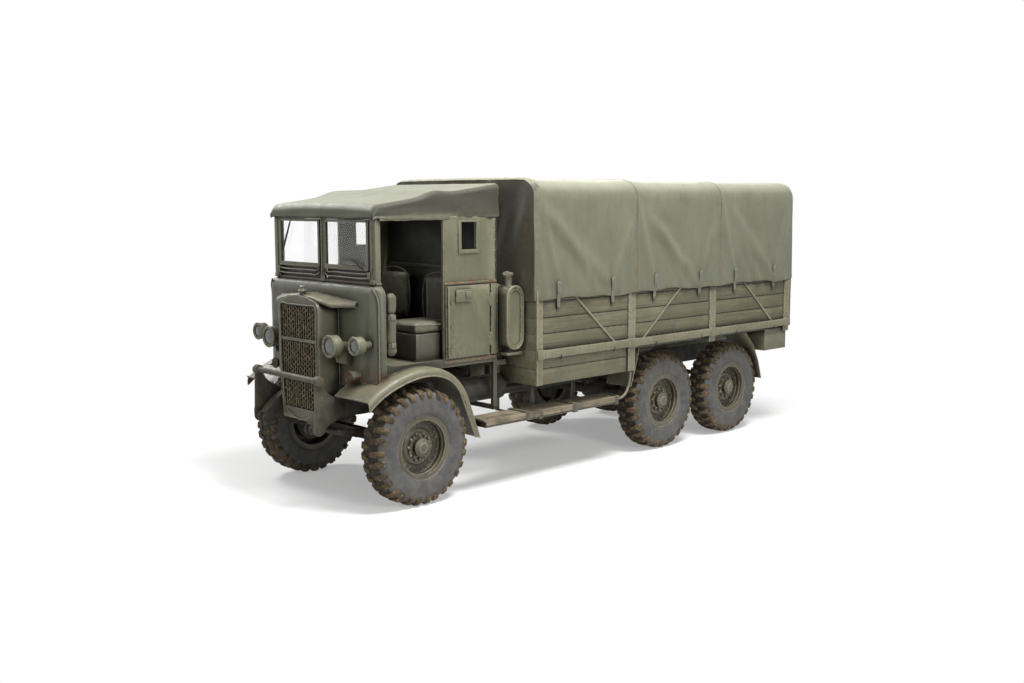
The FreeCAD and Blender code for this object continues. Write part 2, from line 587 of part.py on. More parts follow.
def less(name, base, tools):
    made = doc.addObject("Part::Cut", name)
    made.Base = base
    made.Tool = tools[0] if len(tools) == 1 else joined(name + "_tools", tools)
    made.Refine = True
    return made


def mirrored(name, piece):
    """The same piece on the other side of the truck."""
    made = doc.addObject("Part::Mirroring", name)
    made.Source = piece
    made.Normal = Vector(1, 0, 0)
    return made


def grouped(name, pieces):
    """Separate solids in one node."""
    made = doc.addObject("Part::Compound", name)
    made.Links = pieces
    return made


def pair(name, piece):
    """A piece and its mirror image in one node."""
    return grouped(name, [piece, mirrored(name + "_other", piece)])


def outline(body, plane, loops, offset="0", centre=None):
    """A sketch of closed loops. A corner is (x, y), or (x, y, radius) where an arc leads to it: a positive
    radius turns left. Every corner and radius is held by a constraint bound to the sizes."""
    sketch = body.newObject("Sketcher::SketchObject", body.Name + "_outline")
    origin = next(o for o in body.Origin.OriginFeatures if o.Role == plane)
    sketch.AttachmentSupport = [(origin, "")]
    sketch.MapMode = "FlatFace"
    for axis, text in zip("xyz", (centre or ("0", "0")) + (offset,)):
        sketch.setExpression("AttachmentOffset.Base." + axis, bound(text))
    for loop in loops:
        if len(loop[0]) == 3 and loop[0][0] == "circle":
            add_circle(sketch, loop[0][1], loop[0][2])
        else:
            add_loop(sketch, loop)
    return sketch


def hold(sketch, kind, edge, end, text):
    """One dimension from the sketch's origin to an edge's end, bound to the sizes."""
    index = sketch.addConstraint(Sketcher.Constraint(kind, -1, 1, edge, end, value(text)))
    sketch.setExpression(f"Constraints[{index}]", bound(text))


def hold_radius(sketch, edge, text):
    index = sketch.addConstraint(Sketcher.Constraint("Radius", edge, value(text)))
    sketch.setExpression(f"Constraints[{index}]", bound(text))


def open_path(body, plane, points, offset):
    """A sketch of one open run of lines and arcs, written like an outline's corners."""
    sketch = body.newObject("Sketcher::SketchObject", body.Name + "_path")
    origin = next(o for o in body.Origin.OriginFeatures if o.Role == plane)
    sketch.AttachmentSupport = [(origin, "")]
    sketch.MapMode = "FlatFace"
    sketch.setExpression("AttachmentOffset.Base.z", bound(offset))
    corners = [Vector(value(p[0]), value(p[1]), 0) for p in points]
    edges = []
    for i in range(1, len(points)):
        if len(points[i]) == 2:
            edges.append((sketch.addGeometry(Part.LineSegment(corners[i - 1], corners[i])), 1, 2))
            continue
        arc, forward = arc_between(corners[i - 1], corners[i], value(points[i][2]))
        edge = sketch.addGeometry(arc)
        edges.append((edge, 1, 2) if forward else (edge, 2, 1))
        hold_radius(sketch, edge, f"abs({points[i][2]})")
    hold(sketch, "DistanceX", edges[0][0], edges[0][1], points[0][0])
    hold(sketch, "DistanceY", edges[0][0], edges[0][1], points[0][1])
    for i, (edge, start, end) in enumerate(edges):
        hold(sketch, "DistanceX", edge, end, points[i + 1][0])
        hold(sketch, "DistanceY", edge, end, points[i + 1][1])
        if i:
            before, first, last = edges[i - 1]
            sketch.addConstraint(Sketcher.Constraint("Coincident", before, last, edge, start))
    return sketch


def add_circle(sketch, centre, radius):
    middle = Vector(value(centre[0]), value(centre[1]), 0)
    edge = sketch.addGeometry(Part.Circle(middle, Vector(0, 0, 1), value(radius)))
    hold(sketch, "DistanceX", edge, 3, centre[0])
    hold(sketch, "DistanceY", edge, 3, centre[1])
    hold_radius(sketch, edge, radius)


def arc_between(a, b, radius):
    """The short arc from a to b, and whether it runs the sketch's own way, anticlockwise."""
    left_turn = radius > 0
    radius = abs(radius)
    chord = b - a
    rise = math.sqrt(max(radius**2 - chord.Length**2 / 4, 0))
    side = Vector(-chord.y, chord.x, 0).normalize() * (rise if left_turn else -rise)
    centre = (a + b) * 0.5 + side
    start, end = (math.atan2(p.y - centre.y, p.x - centre.x) for p in (a, b))
    if not left_turn:
        start, end = end, start
    return Part.ArcOfCircle(Part.Circle(centre, Vector(0, 0, 1), radius), start, end), left_turn


def add_loop(sketch, loop):
    corners = [Vector(value(c[0]), value(c[1]), 0) for c in loop]
    edges = []
    for i, corner in enumerate(loop):
        if len(corner) == 2:
            edge = sketch.addGeometry(Part.LineSegment(corners[i - 1], corners[i]))
            edges.append((edge, 1, 2))
            continue
        arc, forward = arc_between(corners[i - 1], corners[i], value(corner[2]))
        edge = sketch.addGeometry(arc)
        edges.append((edge, 1, 2) if forward else (edge, 2, 1))
    for i, (edge, start, end) in enumerate(edges):
        following, first, last = edges[(i + 1) % len(edges)]
        sketch.addConstraint(Sketcher.Constraint("Coincident", edge, end, following, first))
        hold(sketch, "DistanceX", edge, end, loop[i][0])
        hold(sketch, "DistanceY", edge, end, loop[i][1])
        if len(loop[i]) == 3:
            hold_radius(sketch, edge, f"abs({loop[i][2]})")


def add_pad(body, plane, loops, start, end):
    """Pads a sketch between two places along its plane's own axis, both measured along +X, +Y or +Z."""
    offset = f"-({end})" if plane == "XZ_Plane" else start
    pad = body.newObject("PartDesign::Pad", body.Name + "_pad")
    pad.Profile = outline(body, plane, loops, offset)
    pad.setExpression("Length", bound(f"({end}) - ({start})"))
    return pad


def padded(name, plane, loops, start, end):
    body = doc.addObject("PartDesign::Body", name)
    add_pad(body, plane, loops, start, end)
    return body


def revolved(name, plane, loops, axis, centre=None, offset="0", degrees=None):
    """Turns a sketch about its own horizontal or vertical axis, all the way or by an expression's degrees."""
    body = doc.addObject("PartDesign::Body", name)
    sketch = outline(body, plane, loops, offset, centre)
    turn = body.newObject("PartDesign::Revolution", name + "_turn")
    turn.Profile = sketch
    turn.ReferenceAxis = (sketch, [axis])
    if degrees:
        turn.setExpression("Angle", bound(degrees))
    else:
        turn.Angle = 360
    return body


def rectangle(x_low, y_low, x_high, y_high):
    return [(x_low, y_low), (x_high, y_low), (x_high, y_high), (x_low, y_high)]


def from_axle(distance):
    """A place along the truck, measured back from the front axle."""
    return f"axle_front + {distance}"


def between(side, inner, outer):
    """The low and high X of a stretch on one side, written for the left."""
    return (inner, outer) if SIDES[side] > 0 else (f"-({outer})", f"-({inner})")


NODES = []


def node(thing, label):
    """Marks a sub-part to be written, under its own name."""
    thing.Label = label
    NODES.append(thing)
    return thing


# -------------------------------------------------------------------------------- wheels
AXLES = {
    "front": "axle_front",
    "middle": "axle_front + wheelbase",
    "rear": "axle_front + wheelbase + bogie_pitch",
}


def station(thing, side, axle):
    """Puts a wheel or tyre, made about the X axis, at its place on the truck."""
    thing.Placement = Placement(Vector(), Rotation(Vector(0, 0, 1), HALF_TURN[side]))
    return place(thing, (f"{SIDES[side]} * track_half", AXLES[axle], "tyre_radius"))


def tyre(name):
    """A hollow tyre: tread, round shoulders, full sidewalls and two beads."""
    half, bead, wall = "tyre_width / 2", "rim_seat + tyre_gap", "tyre_wall"
    foot = "rim_half - rim_wall - tyre_gap"
    shoulder, waist = "tyre_radius - shoulder_drop", "rim_radius + bulge_up"
    outside = [
        (foot, bead),
        (foot, "rim_radius"),
        (half, waist, "bulge_low"),
        ("tread_half + shoulder_out", shoulder, "bulge_high"),
        ("tread_half", "tyre_radius", "shoulder_round"),
        ("-tread_half", "tyre_radius"),
        ("-tread_half - shoulder_out", shoulder, "shoulder_round"),
        (f"-{half}", waist, "bulge_high"),
        (f"-({foot})", "rim_radius", "bulge_low"),
        (f"-({foot})", bead),
        (f"-({foot}) + {wall}", bead),
        (f"-({foot}) + {wall}", "rim_radius"),
        (f"-{half} + {wall}", waist),
        (f"-tread_half + {wall} / 2", f"tyre_radius - 1.6 * {wall}"),
        (f"tread_half - {wall} / 2", f"tyre_radius - 1.6 * {wall}"),
        (f"{half} - {wall}", waist),
        (f"{foot} - {wall}", "rim_radius"),
        (f"{foot} - {wall}", bead),
    ]
    return revolved(name, "XZ_Plane", [outside], "H_Axis")


def wheel(name):
    """Rim with two flanges, dished disc, hub with a domed cap and brake drum, turned in one piece, then the
    hand holes and a ring of nuts."""
    rim, flange, wall = "rim_seat", "rim_radius", "rim_wall"
    inner_end, bore = "-hub_in", "stub_radius + running"
    drum_in = "-(backplate_out - drum_gap)"
    half = [
        ("-rim_half", flange),
        (f"-rim_half + {wall}", flange),
        (f"-rim_half + {wall}", rim),
        (f"rim_half - {wall}", rim),
        (f"rim_half - {wall}", flange),
        ("rim_half", flange),
        ("rim_half", f"{rim} - {wall}"),
        ("disc_out + disc_round", f"{rim} - {wall}"),
        ("disc_out", f"{rim} - {wall} - disc_round", "disc_round"),
        ("disc_out", "dish_radius + dish_slope"),
        ("disc_out + dish_out", "dish_radius"),
        ("disc_out + dish_out", "hub_radius"),
        ("hub_out", "hub_radius"),
        ("hub_out + cap_edge_out", "cap_edge"),
        ("hub_out + hub_cap", "0", "-cap_arc"),
        ("stub_out + 1", "0"),
        ("stub_out + 1", bore),
        (inner_end, bore),
        (inner_end, "hub_inner"),
        ("-drum_out", "hub_inner"),
        ("-drum_out", "drum_radius - drum_wall"),
        (drum_in, "drum_radius - drum_wall"),
        (drum_in, "drum_radius"),
        ("-drum_out + drum_wall", "drum_radius"),
        ("-drum_out + drum_wall", "hub_radius"),
        ("disc_out - disc_wall", "hub_radius"),
        ("disc_out - disc_wall", f"{rim} - {wall} - disc_round"),
        ("disc_out - disc_wall", f"{rim} - {wall}"),
        ("-rim_half", f"{rim} - {wall}"),
    ]
    body = revolved(name, "XZ_Plane", [half], "H_Axis")
    doc.recompute()
    holes = body.newObject("PartDesign::Pocket", name + "_holes")
    hole = [("circle", ("0", "hand_circle"), "hand_hole")]
    holes.Profile = outline(body, "YZ_Plane", [hole], "hub_out")
    holes.setExpression("Length", bound("hub_out - disc_out + disc_wall + 1"))
    ring = body.newObject("PartDesign::PolarPattern", name + "_hole_ring")
    ring.Originals = [holes]
    ring.Axis = (next(o for o in body.Origin.OriginFeatures if o.Role == "X_Axis"), [""])
    ring.Angle = 360
    ring.setExpression("Occurrences", bound("hand_holes"))
    body.Tip = ring
    nut = body.newObject("PartDesign::Pad", name + "_nut")
    nut_shape = [("circle", ("0", "nut_circle"), "nut_radius")]
    nut.Profile = outline(body, "YZ_Plane", [nut_shape], "disc_out + dish_out - nut_root")
    nut.setExpression("Length", bound("nut_root + nut_out"))
    nuts = body.newObject("PartDesign::PolarPattern", name + "_nuts")
    nuts.Originals = [nut]
    nuts.Axis = ring.Axis
    nuts.Angle = 360
    nuts.setExpression("Occurrences", bound("nut_count"))
    body.Tip = nuts
    return body


for axle in AXLES:
    for side in SIDES:
        node(station(tyre(f"tyre_{axle}_{side}"), side, axle), f"tyre_{axle}_{side}")
        node(station(wheel(f"wheel_{axle}_{side}"), side, axle), f"wheel_{axle}_{side}")


# -------------------------------------------------------------------------------- front axle
def front_axle():
    """An I-section beam with a round eye and a kingpin at each end, and a pad under each spring."""
    front, back = "axle_front - beam_wide / 2", "axle_front + beam_wide / 2"
    low, high = "tyre_radius - beam_deep / 2", "tyre_radius + beam_deep / 2"
    reach = "kingpin_x - 20"
    blank = box("beam", (f"-({reach})", front, low), (reach, back, high))
    flange = "beam_deep / 5"
    groove_low, groove_high = f"{low} + {flange}", f"{high} - {flange}"
    grooves = [
        box(f"beam_groove_{end}", ("-groove_end", a, groove_low), ("groove_end", b, groove_high))
        for end, a, b in (
            ("front", front, "axle_front - beam_web / 2"),
            ("back", "axle_front + beam_web / 2", back),
        )
    ]
    beam = less("beam_section", blank, grooves)
    eye_low, eye_tall = f"{low} - yoke_boss", "beam_deep + 2 * yoke_boss"
    pin_over = "yoke_gap + yoke_thick + yoke_boss"
    ends = []
    for side, sign in SIDES.items():
        at = (f"{sign} * kingpin_x", "axle_front")
        ends.append(rod(f"beam_eye_{side}", "z", "yoke_radius", eye_tall, at + (eye_low,)))
        pin_tall = f"{eye_tall} + 2 * ({pin_over})"
        pin_at = at + (f"{eye_low} - ({pin_over})",)
        ends.append(rod(f"kingpin_{side}", "z", "kingpin_radius", pin_tall, pin_at))
    return joined("front_axle", [beam, *ends])


def knuckle(side):
    """A fork on the kingpin, with the stub axle, the brake backplate and the steering arm's pin."""
    sign = SIDES[side]
    low = "tyre_radius - beam_deep / 2 - yoke_boss - yoke_gap - yoke_thick"
    high = "tyre_radius + beam_deep / 2 + yoke_boss + yoke_gap"
    cheek_in, cheek_out = "kingpin_x + yoke_radius + 4", "track_half - backplate_out - backplate_wall"
    pieces = []
    for level, z in (("low", low), ("high", high)):
        at = ("kingpin_x", "axle_front", z)
        pieces.append(rod(f"fork_{level}_{side}", "z", "yoke_radius", "yoke_thick", at))
        pieces.append(
            box(
                f"fork_arm_{level}_{side}",
                ("kingpin_x", "axle_front - yoke_radius", z),
                (cheek_in, "axle_front + yoke_radius", f"{z} + yoke_thick"),
            )
        )
    pieces.append(
        box(
            f"fork_back_{side}",
            (cheek_in, "axle_front - yoke_radius", low),
            (cheek_out, "axle_front + yoke_radius", f"{high} + yoke_thick"),
        )
    )
    hub = ("axle_front", "tyre_radius")
    pieces.append(rod(f"backplate_{side}", "x", "backplate_radius", "backplate_wall", (cheek_out,) + hub))
    stub_at = ("track_half - backplate_out",) + hub
    pieces.append(rod(f"stub_{side}", "x", "stub_radius", "backplate_out + stub_out", stub_at))
    arm_x, arm_y = "kingpin_x", "axle_front + arm_back"
    pieces.append(
        padded(
            f"arm_{side}",
            "XY_Plane",
            [[("kingpin_x - 24", "axle_front + 20"), ("kingpin_x + 34", "axle_front + 20"),
              (f"{arm_x} + arm_half", arm_y), (f"{arm_x} - arm_half", arm_y, "arm_half + 0.001")]],
            low,
            f"{low} + arm_thick",
        )
    )
    pin_at = (arm_x, arm_y, f"{low} + 4 - arm_pin_long")
    pieces.append(rod(f"arm_pin_{side}", "z", "arm_pin", "arm_thick + arm_pin_long", pin_at))
    bore_at = ("kingpin_x", "axle_front", f"{low} - 50")
    bore = rod(f"fork_bore_{side}", "z", "kingpin_radius + running", "300", bore_at)
    fork = less(f"fork_{side}", joined(f"fork_solid_{side}", pieces), [bore])
    return fork if sign > 0 else mirrored(f"fork_other_{side}", fork)


def track_rod():
    """A round rod behind the axle beam with an eye on each steering arm's pin, below the arms."""
    arm_x, arm_y = "kingpin_x", "axle_front + arm_back"
    top = "tyre_radius - beam_deep / 2 - yoke_boss - yoke_gap - yoke_thick - 1"
    eye_tall = "(2 * tie_radius + 8)"
    reach = f"{arm_x} - tie_eye + 2"
    bar_at = (f"-({reach})", arm_y, f"{top} - {eye_tall} / 2")
    pieces = [rod("track_bar", "x", "tie_radius", f"2 * ({reach})", bar_at)]
    bores = []
    for side, sign in SIDES.items():
        at = (f"{sign} * ({arm_x})", arm_y)
        pieces.append(rod(f"track_eye_{side}", "z", "tie_eye", eye_tall, at + (f"{top} - {eye_tall}",)))
        bores.append(rod(f"track_bore_{side}", "z", "arm_pin + running", "200", at + (f"{top} - 150",)))
    return less("track_rod", joined("track_solid", pieces), bores)


node(front_axle(), "front_axle")
for side in SIDES:
    node(knuckle(side), f"steering_knuckle_{side}")
node(track_rod(), "track_rod")


# -------------------------------------------------------------------------------- springs
def leaf_pack(name, x, middle_y, middle_z, reach, rise, count, shortest):
    """Leaves stacked on one curve, each shorter than the last. The main leaf's far side is at middle_z. A
    positive rise curls the ends up, with the stack below, and a negative one down, with the stack above."""
    body = doc.addObject("PartDesign::Body", name)
    up = 1 if value(rise) > 0 else -1
    bend = f"((({reach})^2 + ({rise})^2) / (2 * abs({rise})))"
    leaves = int(value(count))
    for i in range(leaves):
        share = f"(({reach}) * (1 - {i} / ({count})) + ({shortest}) * {i} / ({count}))"
        near, far = (f"({bend} + {k} * leaf)" for k in (i, i + 1))
        corners = []
        for radius, sign in ((near, -1), (near, 1), (far, 1), (far, -1)):
            drop = f"({bend} - sqrt({radius}^2 - {share}^2))"
            corners.append((f"{middle_y} + {sign} * {share}", f"{middle_z} + {up} * {drop}"))
        loop = [
            corners[3],
            corners[0],
            corners[1] + (f"{up} * {near}",),
            corners[2],
        ]
        loop[0] = corners[3] + (f"{-up} * {far}",)
        add_pad(body, "YZ_Plane", [loop], f"{x} - spring_wide / 2", f"{x} + spring_wide / 2")
    return body


SPRING_TOP = "tyre_radius + beam_deep / 2 + leaf * leaf_count"
SPRING_Y = "axle_front + spring_shift"


def front_spring():
    """A leaf pack on the axle with an eye at each end."""
    x_low = "spring_x - spring_wide / 2"
    pack = leaf_pack("front_leaves", "spring_x", SPRING_Y, SPRING_TOP, "spring_reach", "spring_rise",
                     "leaf_count", "shortest_leaf")
    eye_z = f"{SPRING_TOP} + spring_rise"
    eyes, bores = [], []
    for end, sign in (("front", -1), ("back", 1)):
        at = (x_low, f"{SPRING_Y} + {sign} * spring_reach", eye_z)
        eyes.append(rod(f"spring_eye_{end}", "x", "eye_radius", "spring_wide", at))
        bores.append(rod(f"spring_bore_{end}", "x", "eye_pin + 0.3", "spring_wide", at))
    return less("front_spring_left", joined("front_spring_solid", [pack, *eyes]), bores)


def bogie_spring():
    """An inverted leaf pack from the middle axle to the rear one."""
    return leaf_pack(
        "bogie_leaves_left",
        "bogie_spring_x",
        "axle_front + wheelbase + bogie_pitch / 2",
        "bogie_seat + bogie_drop",
        "bogie_pitch / 2 + bogie_over",
        "-bogie_drop",
        "bogie_leaves",
        "bogie_shortest",
    )


node(pair("front_springs", front_spring()), "front_springs")
node(pair("bogie_springs", bogie_spring()), "bogie_springs")


# -------------------------------------------------------------------------------- rear axles
def rear_axle(axle):
    """Axle tube with a bowl, a worm casing on top, spring seats, backplates and stub ends."""
    y, z = AXLES[axle], "tyre_radius"
    plate_in = "track_half - backplate_out - backplate_wall"
    worm_at = ("0", f"{y} - worm_half", f"{z} + bowl_radius")
    pieces = [
        rod(f"tube_{axle}", "x", "tube_radius", f"2 * ({plate_in})", (f"-({plate_in})", y, z)),
        rod(f"worm_{axle}", "y", "worm_radius", "2 * worm_half", worm_at),
    ]
    bowl = doc.addObject("Part::Sphere", f"bowl_{axle}")
    bowl.setExpression("Radius", bound("bowl_radius"))
    pieces.append(place(bowl, ("0", y, z)))
    seat_low, seat_high = f"{z} + seat_pad_low", "bogie_seat"
    for side, sign in SIDES.items():
        middle = f"{sign} * bogie_spring_x"
        pieces.append(
            box(
                f"spring_seat_{axle}_{side}",
                (f"{middle} - spring_wide / 2", f"{y} - seat_pad", seat_low),
                (f"{middle} + spring_wide / 2", f"{y} + seat_pad", seat_high),
            )
        )
        if sign > 0:
            plate_x, stub_x = plate_in, plate_in
        else:
            plate_x, stub_x = f"-({plate_in}) - backplate_wall", "-(track_half + stub_out)"
        plate_at = (plate_x, y, z)
        pieces.append(rod(f"plate_{axle}_{side}", "x", "backplate_radius", "backplate_wall", plate_at))
        stub_long = f"track_half + stub_out - ({plate_in})"
        pieces.append(rod(f"rear_stub_{axle}_{side}", "x", "stub_radius", stub_long, (stub_x, y, z)))
    return joined(f"axle_{axle}", pieces)


def clear_of_springs(name, axle):
    """The seat's top is flat, so the spring's curved underside is taken out of it."""
    return less(name, rear_axle(axle), [bogie_spring_pair])


bogie_spring_pair = doc.getObject("bogie_springs")
axles = [clear_of_springs(f"axle_clear_{axle}", axle) for axle in ("middle", "rear")]
node(grouped("rear_axles", axles), "rear_axles")


# -------------------------------------------------------------------------------- frame
def side_member():
    """A channel, open towards the middle of the truck."""
    outer, inner = "frame_half", "frame_half - frame_flange"
    web = "frame_half - frame_wall"
    section = [
        (inner, "frame_low"),
        (outer, "frame_low"),
        (outer, "frame_top"),
        (inner, "frame_top"),
        (inner, "frame_top - frame_wall"),
        (web, "frame_top - frame_wall"),
        (web, "frame_low + frame_wall"),
        (inner, "frame_low + frame_wall"),
    ]
    return padded("side_channel", "XZ_Plane", [section], from_axle("frame_front"), from_axle("frame_back"))


EYE_Z = f"{SPRING_TOP} + spring_rise"
FRONT_EYE_Y = f"{SPRING_Y} - spring_reach"
BACK_EYE_Y = f"{SPRING_Y} + spring_reach"


def dumb_iron():
    """The frame's front horn: it curves down from the side member to the spring's eye, slotted for it."""
    nose, back = FRONT_EYE_Y, from_axle("frame_front")
    horn = [
        (f"{nose} - horn_eye", EYE_Z, "horn_arc"),
        (f"{nose} + horn_eye", EYE_Z, "horn_eye + 0.001"),
        (back, "frame_low", "-horn_hollow"),
        (back, "frame_top"),
    ]
    solid = padded("horn", "YZ_Plane", [horn], "iron_half_in", "iron_half_out")
    slot_low, slot_high = "spring_x - spring_wide / 2 - iron_slot", "spring_x + spring_wide / 2 + iron_slot"
    slot = padded(
        "horn_slot",
        "YZ_Plane",
        [rectangle(f"{nose} - horn_eye - 10", f"{EYE_Z} - horn_eye - 20",
                   f"{nose} + horn_eye + horn_slot_back", f"{EYE_Z} + eye_radius + 10")],
        slot_low,
        slot_high,
    )
    pin_long = "iron_half_out - iron_half_in"
    pin = rod("front_eye_pin", "x", "eye_pin", pin_long, ("iron_half_in", nose, EYE_Z))
    boss_long = "plate_x - iron_half_out"
    boss = rod("plate_boss", "x", "lower_boss", boss_long, ("iron_half_out", nose, EYE_Z))
    upper_boss = rod("plate_boss_upper", "x", "horn_boss", boss_long,
                     ("iron_half_out", from_axle("horn_boss_y"), "horn_boss_z"))
    return joined("dumb_iron", [less("horn_slotted", solid, [slot]), pin, boss, upper_boss])


def rear_hanger():
    """Two cheeks under the side member that hold the front spring's back eye."""
    cheeks = []
    for name, low, high in (
        ("inner", "iron_half_in", "spring_x - spring_wide / 2 - iron_slot"),
        ("outer", "spring_x + spring_wide / 2 + iron_slot", "iron_half_out"),
    ):
        loop = [
            (f"{BACK_EYE_Y} - hanger_eye", EYE_Z),
            (f"{BACK_EYE_Y} + hanger_eye", EYE_Z, "hanger_eye + 0.001"),
            (f"{BACK_EYE_Y} + hanger_top", "frame_low"),
            (f"{BACK_EYE_Y} - hanger_top", "frame_low"),
        ]
        cheeks.append(padded(f"hanger_{name}", "YZ_Plane", [loop], low, high))
    pin_long = "iron_half_out - iron_half_in"
    pin = rod("back_eye_pin", "x", "eye_pin", pin_long, ("iron_half_in", BACK_EYE_Y, EYE_Z))
    return joined("rear_hanger", [*cheeks, pin])


# cross member: its front face from the front axle
CROSS_MEMBERS = {"second": "1400", "third": "2300", "fourth": "3040", "last": "frame_back - cross_wide"}


def frame_rails():
    """Two channel side members, each with its dumb iron, spring hanger, bogie bracket and outrigger."""
    left = [side_member(), dumb_iron(), rear_hanger(), bogie_bracket(), *cab_outrigger()]
    return pair("frame_rails", joined("rail_left", left))


def cross_members():
    """The bars between the rails, the bogie's trunnion, and the towing jaw on the last bar."""
    web = "(frame_half - frame_wall - seat_gap)"
    bars = {}
    for name, y in CROSS_MEMBERS.items():
        start = from_axle(y)
        end = f"{start} + cross_wide"
        bars[name] = box(f"cross_{name}", (f"-{web}", start, "cross_low"), (web, end, "cross_top"))
    bars["last"] = joined("cross_rear", [bars["last"], towing_jaw()])
    inner = "(iron_half_in - seat_gap)"
    at = (f"-{inner}", from_axle("cross_tube_y"), "cross_tube_z")
    bars["front"] = rod("front_cross_tube", "x", "cross_tube", f"2 * {inner}", at)
    middle = "axle_front + wheelbase + bogie_pitch / 2"
    at = (f"-{web}", middle, "trunnion_z")
    bars["trunnion"] = rod("trunnion", "x", "trunnion_radius", f"2 * {web}", at)
    return grouped("cross_members", list(bars.values()))


def bogie_bracket():
    """The bracket that hangs the bogie spring's middle from the side member, with its cap over the leaves."""
    middle = "axle_front + wheelbase + bogie_pitch / 2"
    top = "bogie_seat + bogie_drop + leaf * bogie_leaves"
    plate = padded(
        "bogie_plate",
        "YZ_Plane",
        [[(f"{middle} - bogie_plate_foot", f"{top} - bogie_plate_drop"),
          (f"{middle} + bogie_plate_foot", f"{top} - bogie_plate_drop"),
          (f"{middle} + bogie_plate_top", "frame_top"),
          (f"{middle} - bogie_plate_top", "frame_top")]],
        "frame_half",
        "bogie_spring_x - spring_wide / 2 - 2",
    )
    outer = "bogie_spring_x + spring_wide / 2 + bogie_cap_over"
    cap = box("bogie_cap", ("frame_half", f"{middle} - bogie_cap", top),
              (outer, f"{middle} + bogie_cap", f"{top} + bogie_cap_tall"))
    return joined("bogie_bracket", [plate, cap])


def cab_outrigger():
    """An arm out from the side member, below the cab's stay post, and the hangers of the running board."""
    arm = box(
        "outrigger",
        ("frame_half", from_axle("cab_back_y - post_wide"), "outrigger_top - outrigger_tall"),
        ("cab_half", from_axle("cab_back_y"), "outrigger_top"),
    )
    root = box(
        "outrigger_root",
        ("frame_half", from_axle("cab_back_y - post_wide"), "outrigger_top"),
        ("frame_half + outrigger_tall", from_axle("cab_back_y"), "frame_top - outrigger_tall"),
    )
    return [arm, root]


def towing_jaw():
    """A jaw behind the last cross member, with a hole for the towing pin."""
    root = from_axle("frame_back")
    block = box(
        "jaw_block", ("-jaw_half", root, "jaw_low"), ("jaw_half", from_axle("jaw_back"), "jaw_low + jaw_tall")
    )
    mouth_low = "jaw_low + (jaw_tall - jaw_mouth) / 2"
    mouth = box(
        "jaw_mouth_cut",
        ("-jaw_half - 1", from_axle("jaw_pin_y - jaw_mouth_deep"), mouth_low),
        ("jaw_half + 1", from_axle("jaw_back + 1"), f"{mouth_low} + jaw_mouth"),
    )
    hole = rod("jaw_hole", "z", "jaw_pin", "jaw_tall + 20", ("0", from_axle("jaw_pin_y"), "jaw_low - 10"))
    return less("towing_jaw", block, [mouth, hole])


node(frame_rails(), "frame_rails")
node(cross_members(), "cross_members")


# -------------------------------------------------------------------------------- bumper
# bumper plate's corners: place from the front axle, height, and the arc that leads there or nothing
PLATE = [
    ("bumper_y - 34", "bumper_z - 10", None),
    ("bumper_y - 42", "1020", "1200"),
    ("bumper_y - 48", "830", None),
    (f"{FRONT_EYE_Y} - axle_front - horn_eye", EYE_Z, "300"),
    (f"{FRONT_EYE_Y} - axle_front + horn_eye", EYE_Z, "horn_eye + 0.001"),
    ("-600", "796", "-260"),
    ("-505", "862", None),
    ("-560", "975", None),
    ("-602", "1000", "120"),
    ("-644", "1026", None),
    ("bumper_y + 36", "bumper_z - 6", "-240"),
]


def bumper():
    """A cross tube with a round cap at each end, carried by a three-cornered plate on each dumb iron."""
    y = from_axle("bumper_y")
    pieces = [rod("bumper_tube", "x", "bumper_radius", "2 * plate_x", ("-plate_x", y, "bumper_z"))]
    corners = []
    for along, height, arc in PLATE:
        place_along = from_axle(f"({along})")
        corners.append((place_along, height, arc) if arc else (place_along, height))
    cap_x = "plate_x + plate_wall - bumper_cap_long / 2"
    plate = joined("bumper_side", [
        padded("bumper_plate", "YZ_Plane", [corners], "plate_x", "plate_x + plate_wall"),
        rod("bumper_end", "x", "bumper_cap", "bumper_cap_long", (cap_x, y, "bumper_z")),
    ])
    pieces += [plate, mirrored("bumper_side_other", plate)]
    return joined("front_bumper", pieces)


node(bumper(), "front_bumper")


# -------------------------------------------------------------------------------- power unit
def engine():
    """Engine and gearbox as one plain closed mass over the axle, with feet out to the frame sides."""
    y = [from_axle(d) for d in ("engine_front", "engine_back", "gearbox_back")]
    block = box("engine_block", ("-engine_half", y[0], "engine_low"), ("engine_half", y[1], "engine_top"))
    gearbox = box("gearbox", ("-gearbox_half", y[1], "gearbox_low"), ("gearbox_half", y[2], "gearbox_top"))
    start = from_axle("engine_foot_y")
    reach = "frame_half - frame_wall - seat_gap"
    feet = box("engine_feet", (f"-({reach})", start, "engine_foot_z"),
               (reach, f"{start} + engine_foot", "engine_foot_z + engine_foot"))
    return joined("engine", [block, gearbox, feet])


def propeller_shafts():
    """Straight shafts from the gearbox to the first worm casing, and between the two casings."""
    z = "tyre_radius + bowl_radius"
    middle, rear = AXLES["middle"], AXLES["rear"]
    spans = [
        ("shaft_long", from_axle("gearbox_back"), f"{middle} - worm_half"),
        ("shaft_short", f"{middle} + worm_half", f"{rear} - worm_half"),
    ]
    shafts = []
    for name, start, end in spans:
        long = f"({end}) - ({start}) - 2 * seat_gap"
        shafts.append(rod(name, "y", "shaft_radius", long, ("0", f"{start} + seat_gap", z)))
    return grouped("propeller_shafts", shafts)


node(engine(), "engine")
node(propeller_shafts(), "propeller_shafts")


